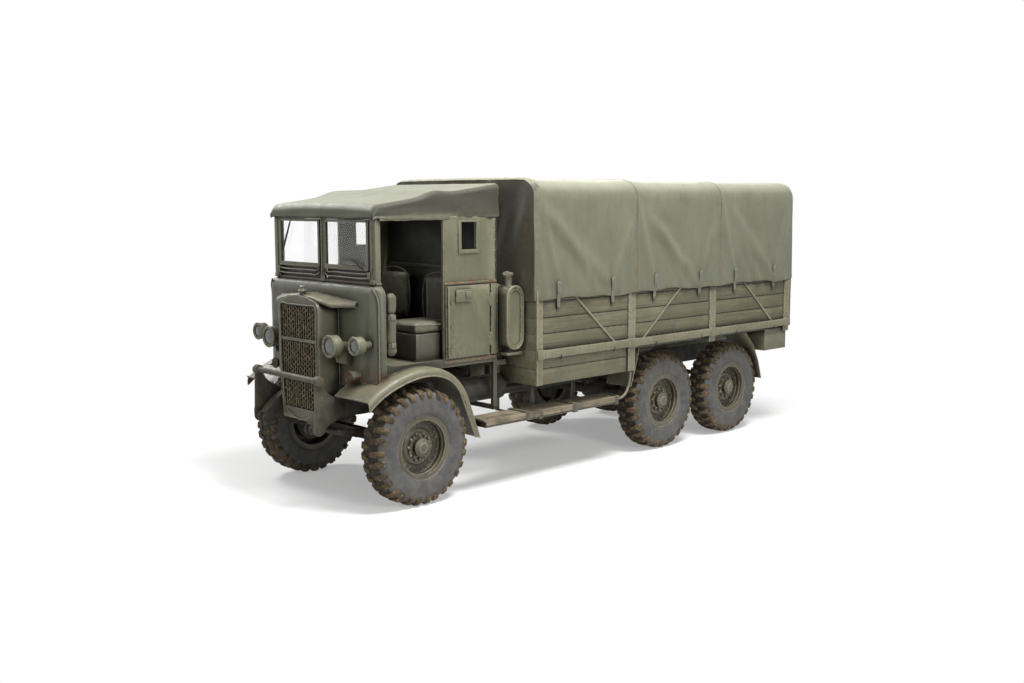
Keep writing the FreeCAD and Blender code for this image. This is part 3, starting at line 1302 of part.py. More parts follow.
# -------------------------------------------------------------------------------- radiator
def radiator_outline(inset):
    """The radiator seen from the front: narrower at the foot, with round shoulders and a low arched crown."""
    low_half, half = f"radiator_low_half - ({inset})", f"radiator_half - ({inset})"
    flat, arc = f"(crown_half - ({inset}) / 2)", f"(crown_arc - ({inset}))"
    crown = f"radiator_crown - ({inset})"
    flat_end = f"{crown} - ({arc} - sqrt({arc}^2 - {flat}^2))"
    turn = f"(crown_turn - ({inset}))"
    return [
        (f"-({low_half})", f"radiator_low + {inset}"),
        (low_half, f"radiator_low + {inset}"),
        (half, "radiator_waist"),
        (half, "shoulder_low"),
        (flat, flat_end, turn),
        ("0", crown, arc),
        (f"-{flat}", flat_end, arc),
        (f"-({half})", "shoulder_low", turn),
        (f"-({half})", "radiator_waist"),
    ]


def radiator_shell():
    """An arched cowl from the grille back to the scuttle, with a face round the grille and a bar across it, a
    closed foot below it, and a filler cap on its crown."""
    front, back = from_axle("radiator_front"), from_axle("cab_front_y - seat_gap")
    band = padded("shell_band", "XZ_Plane", [radiator_outline("0")], front, back)
    grille = [
        ("-grille_low_half", "grille_low"),
        ("grille_low_half", "grille_low"),
        ("grille_half", "radiator_waist"),
        ("grille_half", "grille_top"),
        ("-grille_half", "grille_top"),
        ("-grille_half", "radiator_waist"),
    ]
    mouth = padded("shell_mouth", "XZ_Plane", [grille], f"{front} - 1", f"{front} + shell_face + 1")
    inside = [radiator_outline("shell_wall")]
    room = padded("shell_room", "XZ_Plane", inside, f"{front} + shell_face", f"{back} + 1")
    foot = box("shell_foot", ("-radiator_half", f"{front} + cowl_foot", "radiator_low - 1"),
               ("radiator_half", f"{back} + 1", "cowl_foot_top"))
    at = from_axle("radiator_front + filler_back")
    neck_at = ("0", at, "radiator_crown - filler_sunk")
    neck = rod("filler_neck", "z", "filler_cap_radius / 2", "filler_neck_tall", neck_at)
    cap_at = ("0", at, "radiator_crown + filler_cap_up")
    cap = rod("filler_cap", "z", "filler_cap_radius", "filler_cap_tall", cap_at)
    bar = box("grille_cross_bar", ("-grille_half - 2", front, "grille_bar_z - grille_bar / 2"),
              ("grille_half + 2", f"{front} + shell_face", "grille_bar_z + grille_bar / 2"))
    return joined("radiator_shell", [less("shell_open", band, [mouth, room, foot]), bar, neck, cap])


def radiator_core():
    """The core, seated behind the shell's face."""
    front = f"{from_axle('radiator_front')} + shell_face + seat_gap"
    core = [radiator_outline("shell_wall + core_gap")]
    return padded("radiator_core", "XZ_Plane", core, front, f"{front} + core_deep")


def lofted(name, plane, sections):
    """A solid through two or more outlines, each at its own place along the plane's axis."""
    body = doc.addObject("PartDesign::Body", name)
    sketches = []
    for place_along, loop in sections:
        offset = f"-({place_along})" if plane == "XZ_Plane" else place_along
        sketches.append(outline(body, plane, [loop], offset))
    loft = body.newObject("PartDesign::AdditiveLoft", name + "_loft")
    loft.Profile = sketches[0]
    loft.Sections = sketches[1:]
    loft.Ruled = True
    return body


def bonnet():
    """A lid over the cowl that flares from the radiator's crown out to the scuttle, drooping like a brim."""
    def brim(half, edge, crown, arc):
        return [
            (f"-({half})", edge),
            ("0", crown, f"-({arc})"),
            (half, edge, f"-({arc})"),
            (half, f"{edge} + bonnet_wall"),
            ("0", f"{crown} + bonnet_wall", arc),
            (f"-({half})", f"{edge} + bonnet_wall", arc),
        ]
    crown = "radiator_crown + bonnet_gap"
    front_edge = f"{crown} - (crown_arc - sqrt(crown_arc^2 - crown_half^2))"
    droop = f"({crown} - bonnet_back_edge)"
    back_arc = f"((bonnet_back_half^2 + {droop}^2) / (2 * {droop}))"
    narrow = brim("crown_half", front_edge, crown, "crown_arc")
    wide = brim("bonnet_back_half", "bonnet_back_edge", crown, back_arc)
    places = from_axle("bonnet_front"), from_axle("cab_front_y - bonnet_seat")
    return lofted("bonnet", "XZ_Plane", list(zip(places, (narrow, wide))))


node(radiator_shell(), "radiator_shell")
node(radiator_core(), "radiator_core")
node(bonnet(), "bonnet")


# -------------------------------------------------------------------------------- cab
def scuttle_plan(half, front, back, corner):
    """The scuttle from above: a flat front with round corners that turn back into short sides."""
    return [
        (f"-({half})", back),
        (f"-({half})", f"{front} + {corner}"),
        (f"-({half}) + {corner}", front, corner),
        (f"{half} - {corner}", front),
        (half, f"{front} + {corner}", corner),
        (half, back),
    ]


def cab_front():
    """The sheet scuttle: round in plan and at its top edges, it carries the windscreen and is open to the
    engine. A round horn stands on its left, above the mudguard."""
    front, back, wall = from_axle("cab_front_y"), from_axle("scuttle_back"), "panel_wall"
    skin = padded(
        "scuttle_skin",
        "XY_Plane",
        [scuttle_plan("cab_front_half", front, back, "scuttle_corner")],
        "scuttle_low",
        "scuttle_top",
    )
    profile = [
        (f"{front} - 10", "scuttle_low - 10"),
        (f"{back} + 10", "scuttle_low - 10"),
        (f"{back} + 10", "scuttle_top"),
        (f"{front} + scuttle_roll", "scuttle_top"),
        (front, "scuttle_top - scuttle_roll", "scuttle_roll"),
        (front, "scuttle_top - scuttle_roll - 20"),
        (f"{front} - 10", "scuttle_top - scuttle_roll - 20"),
    ]
    face = [
        ("-cab_front_half", "scuttle_low"),
        ("cab_front_half", "scuttle_low"),
        ("cab_front_half", "scuttle_top - scuttle_shoulder"),
        ("cab_front_half - scuttle_shoulder", "scuttle_top", "scuttle_shoulder"),
        ("-cab_front_half + scuttle_shoulder", "scuttle_top"),
        ("-cab_front_half", "scuttle_top - scuttle_shoulder", "scuttle_shoulder"),
    ]
    rolled = doc.addObject("Part::MultiCommon", "scuttle_rolled")
    rolled.Shapes = [
        skin,
        padded("scuttle_profile", "YZ_Plane", [profile], "-cab_front_half - 5", "cab_front_half + 5"),
        padded("scuttle_face", "XZ_Plane", [face], f"{front} - 5", f"{back} + 5"),
    ]
    room = padded(
        "scuttle_room",
        "XY_Plane",
        [scuttle_plan(f"cab_front_half - {wall}", f"{front} + {wall}", f"{back} + 1",
                      f"scuttle_corner - {wall}")],
        "scuttle_low - 1",
        f"scuttle_top - scuttle_roll - {wall} / 2",
    )
    mouth = box("engine_mouth", ("-engine_half - engine_room", f"{front} - 1", "scuttle_low - 1"),
                ("engine_half + engine_room", f"{front} + {wall} + 1", "engine_top + cover_room"))
    horn_at = ("horn_x", f"{front} - horn_long", "horn_z")
    horn = rod("round_horn", "y", "horn_radius", "horn_long + 1", horn_at)
    return joined("cab_front", [less("scuttle", rolled, [room, mouth]), horn])


def cab_floor():
    """Floor plate on two side sills, open over the engine, with a stay post down to the chassis each side."""
    front, back = from_axle("scuttle_back + 1"), from_axle("cab_back_y - panel_wall - 1")
    low, under = "floor_top - floor_wall", "floor_top - sill_deep"
    inner = "cab_half - panel_wall - 1"
    plate = box("floor_plate", (f"-({inner})", front, low), (inner, back, "floor_top"))
    tunnel = box("floor_tunnel", ("-cover_half + cover_wall", f"{front} - 1", f"{low} - 1"),
                 ("cover_half - cover_wall", from_axle("cover_back - cover_wall"), "floor_top + 1"))
    sills = []
    for side, sign in SIDES.items():
        a, b = f"{sign} * cab_half", f"{sign} * (cab_half - sill_wide)"
        low_x, high_x = (b, a) if sign > 0 else (a, b)
        end = from_axle("cab_back_y")
        sills.append(box(f"sill_{side}", (low_x, front, under), (high_x, end, "floor_top")))
        foot = (low_x, from_axle("cab_back_y - post_wide"), "outrigger_top + seat_gap")
        sills.append(box(f"stay_post_{side}", foot, (high_x, end, under)))
    return joined("cab_floor", [less("floor_open", plate, [tunnel]), *sills])


def cab_back():
    """The cab's plain back wall."""
    back = from_axle("cab_back_y")
    low = ("-cab_half", f"{back} - panel_wall", "floor_top")
    return box("cab_back", low, ("cab_half", back, "cant_top"))


def side_panel():
    """One side behind the doorway: a locker opening below, a small window with a raised frame above, and the
    rail over the doorway to the windscreen."""
    outer, inner = "cab_half", "cab_half - panel_wall"
    front, back = from_axle("side_front"), from_axle("cab_back_y - panel_wall - seat_gap")
    rail_front = from_axle("screen_front + screen_deep + seat_gap")
    shape = [
        (front, "floor_top + seat_gap"),
        (back, "floor_top + seat_gap"),
        (back, "cant_top"),
        (rail_front, "cant_top"),
        (rail_front, "cant_top - cant_deep"),
        (front, "cant_top - cant_deep"),
    ]
    window_y = from_axle("side_window_front")
    window = rectangle(window_y, "side_window_low", f"{window_y} + side_window_wide",
                       "side_window_low + side_window_tall")
    hatch = rectangle(f"{front} + door_lap", "floor_top + hatch_lip",
                      f"{back} - hinge_post", "waist - hatch_lip")
    panel = padded("side_panel_left", "YZ_Plane", [shape, window, hatch], inner, outer)
    border = rectangle(f"{window_y} - window_frame", "side_window_low - window_frame",
                       f"{window_y} + side_window_wide + window_frame",
                       "side_window_low + side_window_tall + window_frame / 2")
    frame = padded("side_window_frame", "YZ_Plane", [border, window], f"{outer} - 1",
                   f"{outer} + window_frame_out")
    return joined("side_with_window", [panel, frame])


# hinge: the height of the door's eye
HINGES = {"low": "hinge_low", "high": "hinge_high"}
HINGE_X = "cab_half + moving_gap + hinge_out"


def locker_door():
    """The lower side panel: a flat door outside the cab side, hinged at its back edge on a round pin."""
    front, hinge = from_axle("side_front + door_edge"), from_axle("cab_back_y - hinge_post")
    inner, outer = "cab_half + moving_gap", "cab_half + moving_gap + door_wall"
    leaf = box("door_leaf", (inner, front, "floor_top + door_sill"),
               (outer, f"{hinge} - hinge_reach", "waist - door_sill"))
    lock = box("door_latch", (outer, from_axle("latch_front"), "latch_low"),
               (f"{outer} + door_latch", from_axle("latch_front + latch_wide"), "latch_low + latch_tall"))
    pieces = [leaf, lock]
    for level, z in HINGES.items():
        arm_low = (inner, f"{hinge} - hinge_reach - 1", z)
        pieces.append(box(f"door_arm_{level}", arm_low, (outer, hinge, f"{z} + hinge_tall")))
        pieces.append(rod(f"door_eye_{level}", "z", "hinge_radius", "hinge_tall", (HINGE_X, hinge, z)))
    bore_tall = "hinge_high + hinge_tall - floor_top"
    bores = [rod("door_bore", "z", "hinge_pin + moving_gap", bore_tall, (HINGE_X, hinge, "floor_top"))]
    return less("locker_door_leaf", joined("locker_door_solid", pieces), bores)


def hinge_post():
    """Eyes and pin of the locker door's hinge, on a strip behind the door."""
    hinge = from_axle("cab_back_y - hinge_post")
    inner, outer = "cab_half", "cab_half + strip_wall"
    strip = box("hinge_strip", (inner, f"{hinge} + hinge_reach", "floor_top + door_sill"),
                (outer, from_axle("cab_back_y - 4"), "waist - door_sill"))
    pieces = [strip]
    for level, z in HINGES.items():
        under, over = f"{z} - hinge_gap - hinge_end", f"{z} + hinge_tall + hinge_gap"
        for end, low in (("under", under), ("over", over)):
            name = f"{level}_{end}"
            pieces.append(rod(f"post_eye_{name}", "z", "hinge_radius", "hinge_end", (HINGE_X, hinge, low)))
            pieces.append(box(f"post_arm_{name}", (inner, hinge, low),
                              (outer, f"{hinge} + hinge_reach + 1", f"{low} + hinge_end")))
        pin_tall = "hinge_tall + 2 * (hinge_end + hinge_gap)"
        pieces.append(rod(f"post_pin_{level}", "z", "hinge_pin", pin_tall, (HINGE_X, hinge, under)))
    return pieces


def cab_sides():
    left = joined("cab_side_left", [side_panel(), *hinge_post()])
    return pair("cab_sides", left)


node(cab_front(), "cab_front")
node(cab_floor(), "cab_floor")
node(cab_back(), "cab_back")
node(cab_sides(), "cab_sides")
door = locker_door()
node(grouped("locker_left", [door]), "locker_door_left")
node(grouped("locker_right", [mirrored("locker_right_leaf", door)]), "locker_door_right")


# -------------------------------------------------------------------------------- windscreen
def pane_edges(sign):
    return ("pane_inner", "pane_outer") if sign > 0 else ("-pane_outer", "-pane_inner")


def windscreen_frame():
    """A flat frame of two panes on the scuttle, with corner posts that turn back towards the doorway."""
    front, back = from_axle("screen_front"), from_axle("screen_front + screen_deep")
    low, high = "scuttle_top + seat_gap", "cant_top"
    loops = [rectangle("-screen_half", low, "screen_half", high)]
    for sign in SIDES.values():
        inner, outer = pane_edges(sign)
        loops.append(rectangle(inner, "pane_low", outer, "pane_top"))
    return padded("windscreen_frame", "XZ_Plane", loops, front, back)


def windscreen_glass():
    middle = f"{from_axle('screen_front')} + screen_deep / 2"
    panes = []
    for side, sign in SIDES.items():
        inner, outer = pane_edges(sign)
        panes.append(
            box(
                f"pane_{side}",
                (f"{inner} + glass_gap", f"{middle} - pane_wall / 2", "pane_low + glass_gap"),
                (f"{outer} - glass_gap", f"{middle} + pane_wall / 2", "pane_top - glass_gap"),
            )
        )
    return grouped("windscreen_glass", panes)


node(windscreen_frame(), "windscreen_frame")
node(windscreen_glass(), "windscreen_glass")


# -------------------------------------------------------------------------------- hood
def hood_section(inset, top, floor):
    """The hood from behind: upright sides, round long corners and a low crown."""
    half, turn = f"hood_half - {inset}", f"hood_round - {inset} / 2"
    level = f"{top} - {inset}"
    return [
        (f"-({half})", floor),
        (half, floor),
        (half, f"{level} - ({turn})"),
        (f"{half} - ({turn})", level, f"{turn} + 0.001"),
        (f"-({half}) + {turn}", level, "hood_crown_arc"),
        (f"-({half})", f"{level} - ({turn})", f"{turn} + 0.001"),
    ]


def hood():
    """Canvas hood on the cab's sides: it rises in one slope from the windscreen to the back."""
    front, back = from_axle("hood_front"), from_axle("hood_back")
    solids = []
    shells = ("outside", "0", "cant_top + seat_gap"), ("inside", "hood_wall", "cant_top - 1")
    for name, inset, floor in shells:
        slope = lofted(
            f"hood_slope_{name}",
            "XZ_Plane",
            [
                (f"{front} + {inset}", hood_section(inset, "hood_front_top", floor)),
                (f"{back} - {inset}", hood_section(inset, "hood_back_top", floor)),
            ],
        )
        nose = [
            (f"{front} + {inset}", floor),
            (f"{back} - {inset}", floor),
            (f"{back} - {inset}", "hood_back_top + 60"),
            (f"{front} + hood_nose + {inset}", "hood_back_top + 60"),
            (f"{front} + hood_nose + {inset}", f"hood_front_top + hood_nose_rise - {inset}"),
            (f"{front} + {inset}", f"hood_front_top + hood_nose_rise - hood_nose - {inset}",
             "hood_nose + 0.001"),
        ]
        both = doc.addObject("Part::Common", f"hood_{name}")
        both.Base = slope
        both.Tool = padded(f"hood_nose_{name}", "YZ_Plane", [nose], "-hood_half - 1", "hood_half + 1")
        solids.append(both)
    return less("cab_hood", solids[0], [solids[1]])


node(hood(), "cab_hood")


# -------------------------------------------------------------------------------- seats
# seat: how far it stands back
SEATS = {"left": "0", "right": "driver_back"}


def seat(side):
    """A cushion, and a seat back that stands behind it."""
    front, back = from_axle(f"seat_front + {SEATS[side]}"), from_axle(f"seat_back + {SEATS[side]}")
    low, high = between(side, "seat_inner", "seat_outer")
    back_low, back_high = between(side, "seat_inner", "seat_outer - 30")
    under = "seat_top - cushion"
    squab_end = (back_high, f"{back} + squab_deep", "squab_top")
    return joined(f"seat_{side}", [
        box(f"cushion_{side}", (low, front, under), (high, back, "seat_top")),
        box(f"seat_back_{side}", (back_low, f"{back} - 2", under), squab_end),
    ])


def seat_box(side):
    shift = SEATS[side]
    front, back = from_axle(f"seat_front + 20 + {shift}"), from_axle(f"seat_back + squab_deep + {shift}")
    low, high = between(side, "seat_inner + 10", "seat_outer - 10")
    top = "seat_top - cushion - seat_gap"
    return box(f"seat_box_{side}", (low, front, "floor_top + seat_gap"), (high, back, top))


def engine_cover():
    """The cover over the engine between the seats."""
    front, back = from_axle("scuttle_back"), from_axle("cover_back")
    low, shoulder = "floor_top + seat_gap", "cover_top - cover_corner"
    side, flat = "cover_half - cover_slope", "cover_half - cover_slope - cover_corner"
    shape = [
        ("-cover_half", low),
        ("cover_half", low),
        (side, shoulder),
        (flat, "cover_top", "cover_arc"),
        (f"-({flat})", "cover_top"),
        (f"-({side})", shoulder, "cover_arc"),
    ]
    outside = padded("cover_outside", "XZ_Plane", [shape], front, back)
    inside = box("cover_inside", ("-engine_half - engine_room", f"{front} - 1", f"{low} - 1"),
                 ("engine_half + engine_room", f"{back} - cover_wall", "engine_top + cover_room"))
    return less("engine_cover", outside, [inside])


node(grouped("seats", [seat(side) for side in SIDES]), "seats")
node(grouped("seat_boxes", [seat_box(side) for side in SIDES]), "seat_boxes")
node(engine_cover(), "engine_cover")


# -------------------------------------------------------------------------------- steering
def leaned(thing):
    """Leans a piece made about the Z axis along the steering column, its foot at the column's foot."""
    thing.Placement = Placement(Vector(), Rotation(Vector(1, 0, 0), 0))
    thing.setExpression("Placement.Rotation.Angle", bound("column_tilt"))
    thing.setExpression("Placement.Rotation.Axis.x", "-1")
    thing.setExpression("Placement.Rotation.Axis.y", "0")
    thing.setExpression("Placement.Rotation.Axis.z", "0")
    return place(thing, ("column_x", from_axle("column_foot_y"), "column_foot_z"))


def steering_column():
    """A tube from the floor up to the wheel, with a thinner end pin, on a foot box."""
    tube = revolved(
        "column_tube",
        "XZ_Plane",
        [[("0", "0"), ("column_radius", "0"), ("column_radius", "column_long"), ("column_pin", "column_long"),
          ("column_pin", "column_long + hand_deep + column_pin_over"),
          ("0", "column_long + hand_deep + column_pin_over")]],
        "V_Axis",
    )
    front, back = from_axle("column_foot_y - column_box"), from_axle("column_foot_y + column_box")
    foot = box("column_foot", ("column_x - column_box", front, "floor_top + seat_gap"),
               ("column_x + column_box", back, "column_foot_z + column_box_up"))
    return joined("steering_column", [leaned(tube), foot])


def steering_wheel():
    """A round rim on four spokes, with a hub bored for the column's end pin."""
    ring = [("circle", ("hand_radius", "hand_deep / 2"), "hand_tube")]
    rim = revolved("hand_rim", "XZ_Plane", [ring], "V_Axis")
    hub = revolved(
        "hand_boss",
        "XZ_Plane",
        [[("column_pin + running", "hand_under"), ("hand_hub", "hand_under"), ("hand_hub", "hand_deep"),
          ("column_pin + running", "hand_deep")]],
        "V_Axis",
    )
    spokes = []
    for name, along in (("across", "x"), ("fore", "y")):
        for end in ("a", "b"):
            start = "hand_hub - 4" if end == "a" else "-(hand_radius - 2)"
            at = (start, "0") if along == "x" else ("0", start)
            spokes.append(rod(f"spoke_{name}_{end}", along, "spoke", "hand_radius - 2 - (hand_hub - 4)",
                              at + ("hand_deep / 2",)))
    whole = joined("hand_wheel", [rim, hub, *spokes])
    lean = leaned(grouped("steering_wheel", [whole]))
    foot_y = from_axle("column_foot_y")
    lean.setExpression("Placement.Base.y", bound(f"{foot_y} + column_long * sin(column_tilt)"))
    lean.setExpression("Placement.Base.z", bound("column_foot_z + column_long * cos(column_tilt)"))
    return lean


node(steering_column(), "steering_column")
node(steering_wheel(), "steering_wheel")


# -------------------------------------------------------------------------------- lamps
# lamp: place across, height, front along, radius and depth
LAMPS = {
    "head": ("head_x", "head_z", "head_front", "head_radius", "head_deep"),
    "small": ("small_x", "small_z", "small_front", "small_radius", "small_deep"),
}


def lamp(name, size):
    """A deep round bowl with a bezel in front and a thick foot back to the scuttle. The headlamp's foot has a
    plate below it."""
    x, z, front, radius, deep = size
    face, scuttle = from_axle(front), from_axle("cab_front_y - seat_gap")
    body = revolved(
        f"lamp_{name}",
        "XZ_Plane",
        [[("0", "lens_back"), (f"{radius} - lamp_rim", "lens_back"), (f"{radius} - lamp_rim", "0"),
          (radius, "0"), (radius, f"{deep} * 0.7"), (f"{radius} * 0.45", deep, f"{radius} * 0.75"),
          ("0", deep)]],
        "V_Axis",
    )
    body.Placement = Placement(Vector(), TURN_TO["y"])
    place(body, (x, face, z))
    root = f"{face} + {deep} - 10"
    pieces = [body, rod(f"stalk_{name}", "y", "stalk_radius", f"({scuttle}) - ({root})", (x, root, z))]
    if name == "head":
        plate = [
            (f"{face} + {deep} * 0.5", f"{z} - {radius} + 20"),
            (f"{face} + {deep} * 0.7", f"{z} - {radius} - 50"),
            (scuttle, f"{z} - {radius} - 90"),
            (scuttle, f"{z} - stalk_radius + 5"),
            (root, f"{z} - stalk_radius + 5"),
        ]
        inner, outer = f"{x} - lamp_plate / 2", f"{x} + lamp_plate / 2"
        pieces.append(padded("lamp_plate", "YZ_Plane", [plate], inner, outer))
    return joined(f"lamp_{name}_whole", pieces)


def lens(name, size):
    x, z, front, radius, deep = size
    at = (x, f"{from_axle(front)} + lens_in", z)
    return rod(f"lens_{name}", "y", f"{radius} - lamp_rim - glass_gap", "lens_deep", at)


lamps = [lamp(name, size) for name, size in LAMPS.items()]
lamps += [mirrored(f"{piece.Name}_other", piece) for piece in lamps]
node(grouped("lamps", lamps), "lamps")
lenses = [lens(name, size) for name, size in LAMPS.items()]
lenses += [mirrored(f"{piece.Name}_other", piece) for piece in lenses]
node(grouped("lamp_lenses", lenses), "lamp_lenses")


# -------------------------------------------------------------------------------- mudguards
def front_guard():
    """A pressed wing: from a low front lip it rises over the wheel, bends round and runs down behind it into
    a straight tongue. Its outer edge turns down in a wide round. The cab's sill and scuttle are cleared."""
    places = ("guard_front", "guard_top_y", "guard_bend_y", "guard_toe_y")
    front, top, bend, toe = (from_axle(distance) for distance in places)
    path = [
        (front, "guard_front_z"),
        (top, "guard_top", "-guard_rise_radius"),
        (bend, "guard_bend_z", "-guard_bend_radius"),
        (toe, "guard_toe_z"),
    ]
    outer, inner, lip = "guard_outer", "guard_inner", "guard_front_z"
    turn, drop = "guard_round", f"{lip} - guard_drop"
    cross = [
        (inner, lip),
        (inner, f"{lip} - guard_wall"),
        (f"{outer} - {turn}", f"{lip} - guard_wall"),
        (f"{outer} - guard_wall", f"{lip} - {turn}", f"-({turn} - guard_wall + 0.001)"),
        (f"{outer} - guard_wall", drop),
        (outer, drop),
        (outer, f"{lip} - {turn}"),
        (f"{outer} - {turn}", lip, f"{turn} + 0.001"),
    ]
    body = doc.addObject("PartDesign::Body", "guard_press")
    spine = open_path(body, "YZ_Plane", path, inner)
    section = outline(body, "XZ_Plane", [cross], f"-({front})")
    pipe = body.newObject("PartDesign::AdditivePipe", "guard_sweep")
    pipe.Profile = section
    pipe.Spine = spine
    pipe.Mode = "Frenet"
    under_cab = box(
        "guard_under_cab",
        ("guard_inner - 1", from_axle("scuttle_back - 1"), "floor_top - sill_deep - seat_gap"),
        ("cab_half + seat_gap", from_axle("cab_back_y"), "floor_top"),
    )
    under_scuttle = box(
        "guard_under_scuttle",
        ("guard_inner - 1", from_axle("cab_front_y - seat_gap"), "scuttle_low - seat_gap"),
        ("cab_front_half + seat_gap", from_axle("scuttle_back"), "floor_top"),
    )
    return less("front_guard", body, [under_cab, under_scuttle])


# hanger: its front face from the front axle
HANGERS = {"front": "1405", "middle": "1905", "back": "step_back - hanger_wide"}


def running_board():
    """Planks between two angle irons, hung from the frame by three hangers."""
    front, back = from_axle("step_front"), from_axle("step_back")
    low = "step_top - step_wall"
    wide = "(step_outer - step_inner - (plank_count - 1) * plank_gap) / plank_count"
    pieces = [box("board_base", ("step_inner", front, low), ("step_outer", back, "step_top - plank_wall"))]
    for i in range(int(value("plank_count"))):
        start = f"step_inner + {i} * ({wide} + plank_gap)"
        pieces.append(box(f"plank_{i}", (start, front, "step_top - plank_wall - 2"),
                          (f"{start} + {wide}", back, "step_top")))
    under, web, outer = f"{low} - hanger_wall", "frame_half + seat_gap", "step_outer + hanger_lip"
    for name, y in HANGERS.items():
        start = from_axle(y)
        end = f"{start} + hanger_wide"
        pieces.append(box(f"hanger_arm_{name}", (web, start, under), (outer, end, low)))
        pieces.append(box(f"hanger_lip_{name}", ("step_outer", start, under),
                          (outer, end, "step_top + hanger_lip_up")))
        pieces.append(box(f"hanger_leg_{name}", (web, start, under),
                          (f"{web} + hanger_wall", end, "hanger_leg_top")))
    return joined("running_board_left", pieces)


node(pair("front_mudguards", front_guard()), "front_mudguards")
node(pair("running_boards", running_board()), "running_boards")


# -------------------------------------------------------------------------------- tank
def tank_shape(grow):
    """The tank from its end: upright, with a half round above and below."""
    front, back = f"{from_axle('tank_front')} - ({grow})", f"{from_axle('tank_front + tank_wide')} + {grow}"
    radius = f"(tank_wide / 2 + {grow} + 0.001)"
    low, high = "tank_low + tank_wide / 2", "tank_low + tank_tall - tank_wide / 2"
    return [(front, low), (back, low, radius), (back, high), (front, high, radius)]


def fuel_tank():
    """A tall round-ended tank across the truck, with a rolled rim at each end, a pressed panel in its left
    end, a filler neck, and two cradles on a rail over the frame."""
    body = padded("tank_body", "YZ_Plane", [tank_shape("0")], "tank_right", "tank_left")
    pressed = padded("tank_end_panel", "YZ_Plane", [tank_shape("(-tank_panel)")], "tank_left - tank_press",
                     "tank_left + tank_bead + 1")
    shells = [body]
    for name, start, end in (
        ("left", "tank_left - tank_rim", "tank_left + tank_bead"),
        ("right", "tank_right - tank_bead", "tank_right + tank_rim"),
    ):
        shells.append(padded(f"tank_rim_{name}", "YZ_Plane", [tank_shape("tank_bead")], start, end))
    pieces = [less("tank_pressed", joined("tank_shell", shells), [pressed])]
    top = "tank_low + tank_tall"
    y = from_axle("tank_front + tank_wide / 2")
    neck_at = ("filler_x", y, f"{top} - 20")
    pieces.append(rod("tank_neck", "z", "filler_radius", "filler_tall + 20", neck_at))
    cap_at = ("filler_x", y, f"{top} + filler_tall")
    pieces.append(rod("tank_cap", "z", "filler_lid", "filler_lid_tall", cap_at))
    for name in ("left", "right"):
        low = (f"cradle_{name}", f"{y} - cradle_deep", "tank_rail_top - 10")
        high = (f"cradle_{name} + cradle_wide", f"{y} + cradle_deep", "tank_low + 30")
        pieces.append(box(f"tank_cradle_{name}", low, high))
    front, back = from_axle("tank_front + tank_rail_in"), from_axle("tank_front + tank_wide - tank_rail_in")
    pieces.append(box("tank_rail", ("tank_rail_right", front, "tank_rail_low"),
                      ("tank_rail_left", back, "tank_rail_top")))
    for side in SIDES:
        low, high = between(side, "frame_half - tank_leg", "frame_half")
        foot, head = "frame_top + seat_gap", "tank_rail_low + 10"
        pieces.append(box(f"tank_leg_{side}", (low, front, foot), (high, back, head)))
    return joined("fuel_tank", pieces)


def silencer():
    """A round box beside the frame, with its inlet pipe and a tail pipe."""
    y = from_axle("silencer_front")
    long = "(silencer_back - silencer_front)"
    drum_at = ("silencer_x", y, "silencer_z")
    back_rim_at = ("silencer_x", f"{y} + {long} - silencer_rim_wide", "silencer_z")
    inlet_at = ("silencer_x", f"{y} - inlet_long", "silencer_z")
    outlet_at = ("silencer_x - outlet_in", f"{y} + {long} - 5", "silencer_z - outlet_drop")
    band_front = f"{y} + silencer_strap"
    rim = "silencer_radius + silencer_rim"
    pieces = [
        rod("silencer_drum", "y", "silencer_radius", long, drum_at),
        rod("silencer_rim_front", "y", rim, "silencer_rim_wide", drum_at),
        rod("silencer_rim_back", "y", rim, "silencer_rim_wide", back_rim_at),
        rod("inlet_pipe", "y", "inlet_radius", "inlet_long + 10", inlet_at),
        rod("tail_pipe", "y", "outlet_radius", "outlet_long + 5", outlet_at),
        box("silencer_band", ("frame_half + seat_gap", band_front, "silencer_z - silencer_strap_tall"),
            ("silencer_x", f"{band_front} + silencer_strap_wide", "silencer_z + silencer_strap_tall")),
    ]
    return joined("silencer", pieces)


node(fuel_tank(), "fuel_tank")
node(silencer(), "silencer")


# -------------------------------------------------------------------------------- cargo body
FRONT, BACK = from_axle("body_front"), from_axle("body_back")


def cargo_floor():
    """The deck on cross bearers and two long timbers that rest on the frame."""
    bearer_top = "deck_top - deck_wall"
    frame_seat = "frame_top + seat_gap"
    bearer_low = f"{frame_seat} + runner_tall"
    pieces = [box("deck", ("-body_half + board_wall", f"{FRONT} + board_wall", bearer_top),
                  ("body_half - board_wall", BACK, "deck_top"))]
    for side in SIDES:
        low, high = between(side, "frame_half - runner_wide", "frame_half")
        pieces.append(box(f"runner_{side}", (low, f"{FRONT} + board_wall + runner_front", frame_seat),
                          (high, from_axle("frame_back"), bearer_low)))
    pitch = "(body_back - body_front - bearer_ends) / (bearer_count - 1)"
    for i in range(int(value("bearer_count"))):
        y = f"{FRONT} + bearer_first + {i} * {pitch}"
        pieces.append(box(f"bearer_{i}", ("-bearer_half", y, f"{bearer_low} - 1"),
                          ("bearer_half", f"{y} + bearer_wide", f"{bearer_top} + 1")))
    return joined("deck_frame", pieces)


def grooves(name, low, high, first, count):
    """Thin slots that part one board from the next, as tools to cut with."""
    slots = []
    for i in range(count):
        z = f"{first} + {i} * board_tall"
        slots.append(box(f"{name}_{i}", low + (z,), high + (f"{z} + board_groove",)))
    return slots


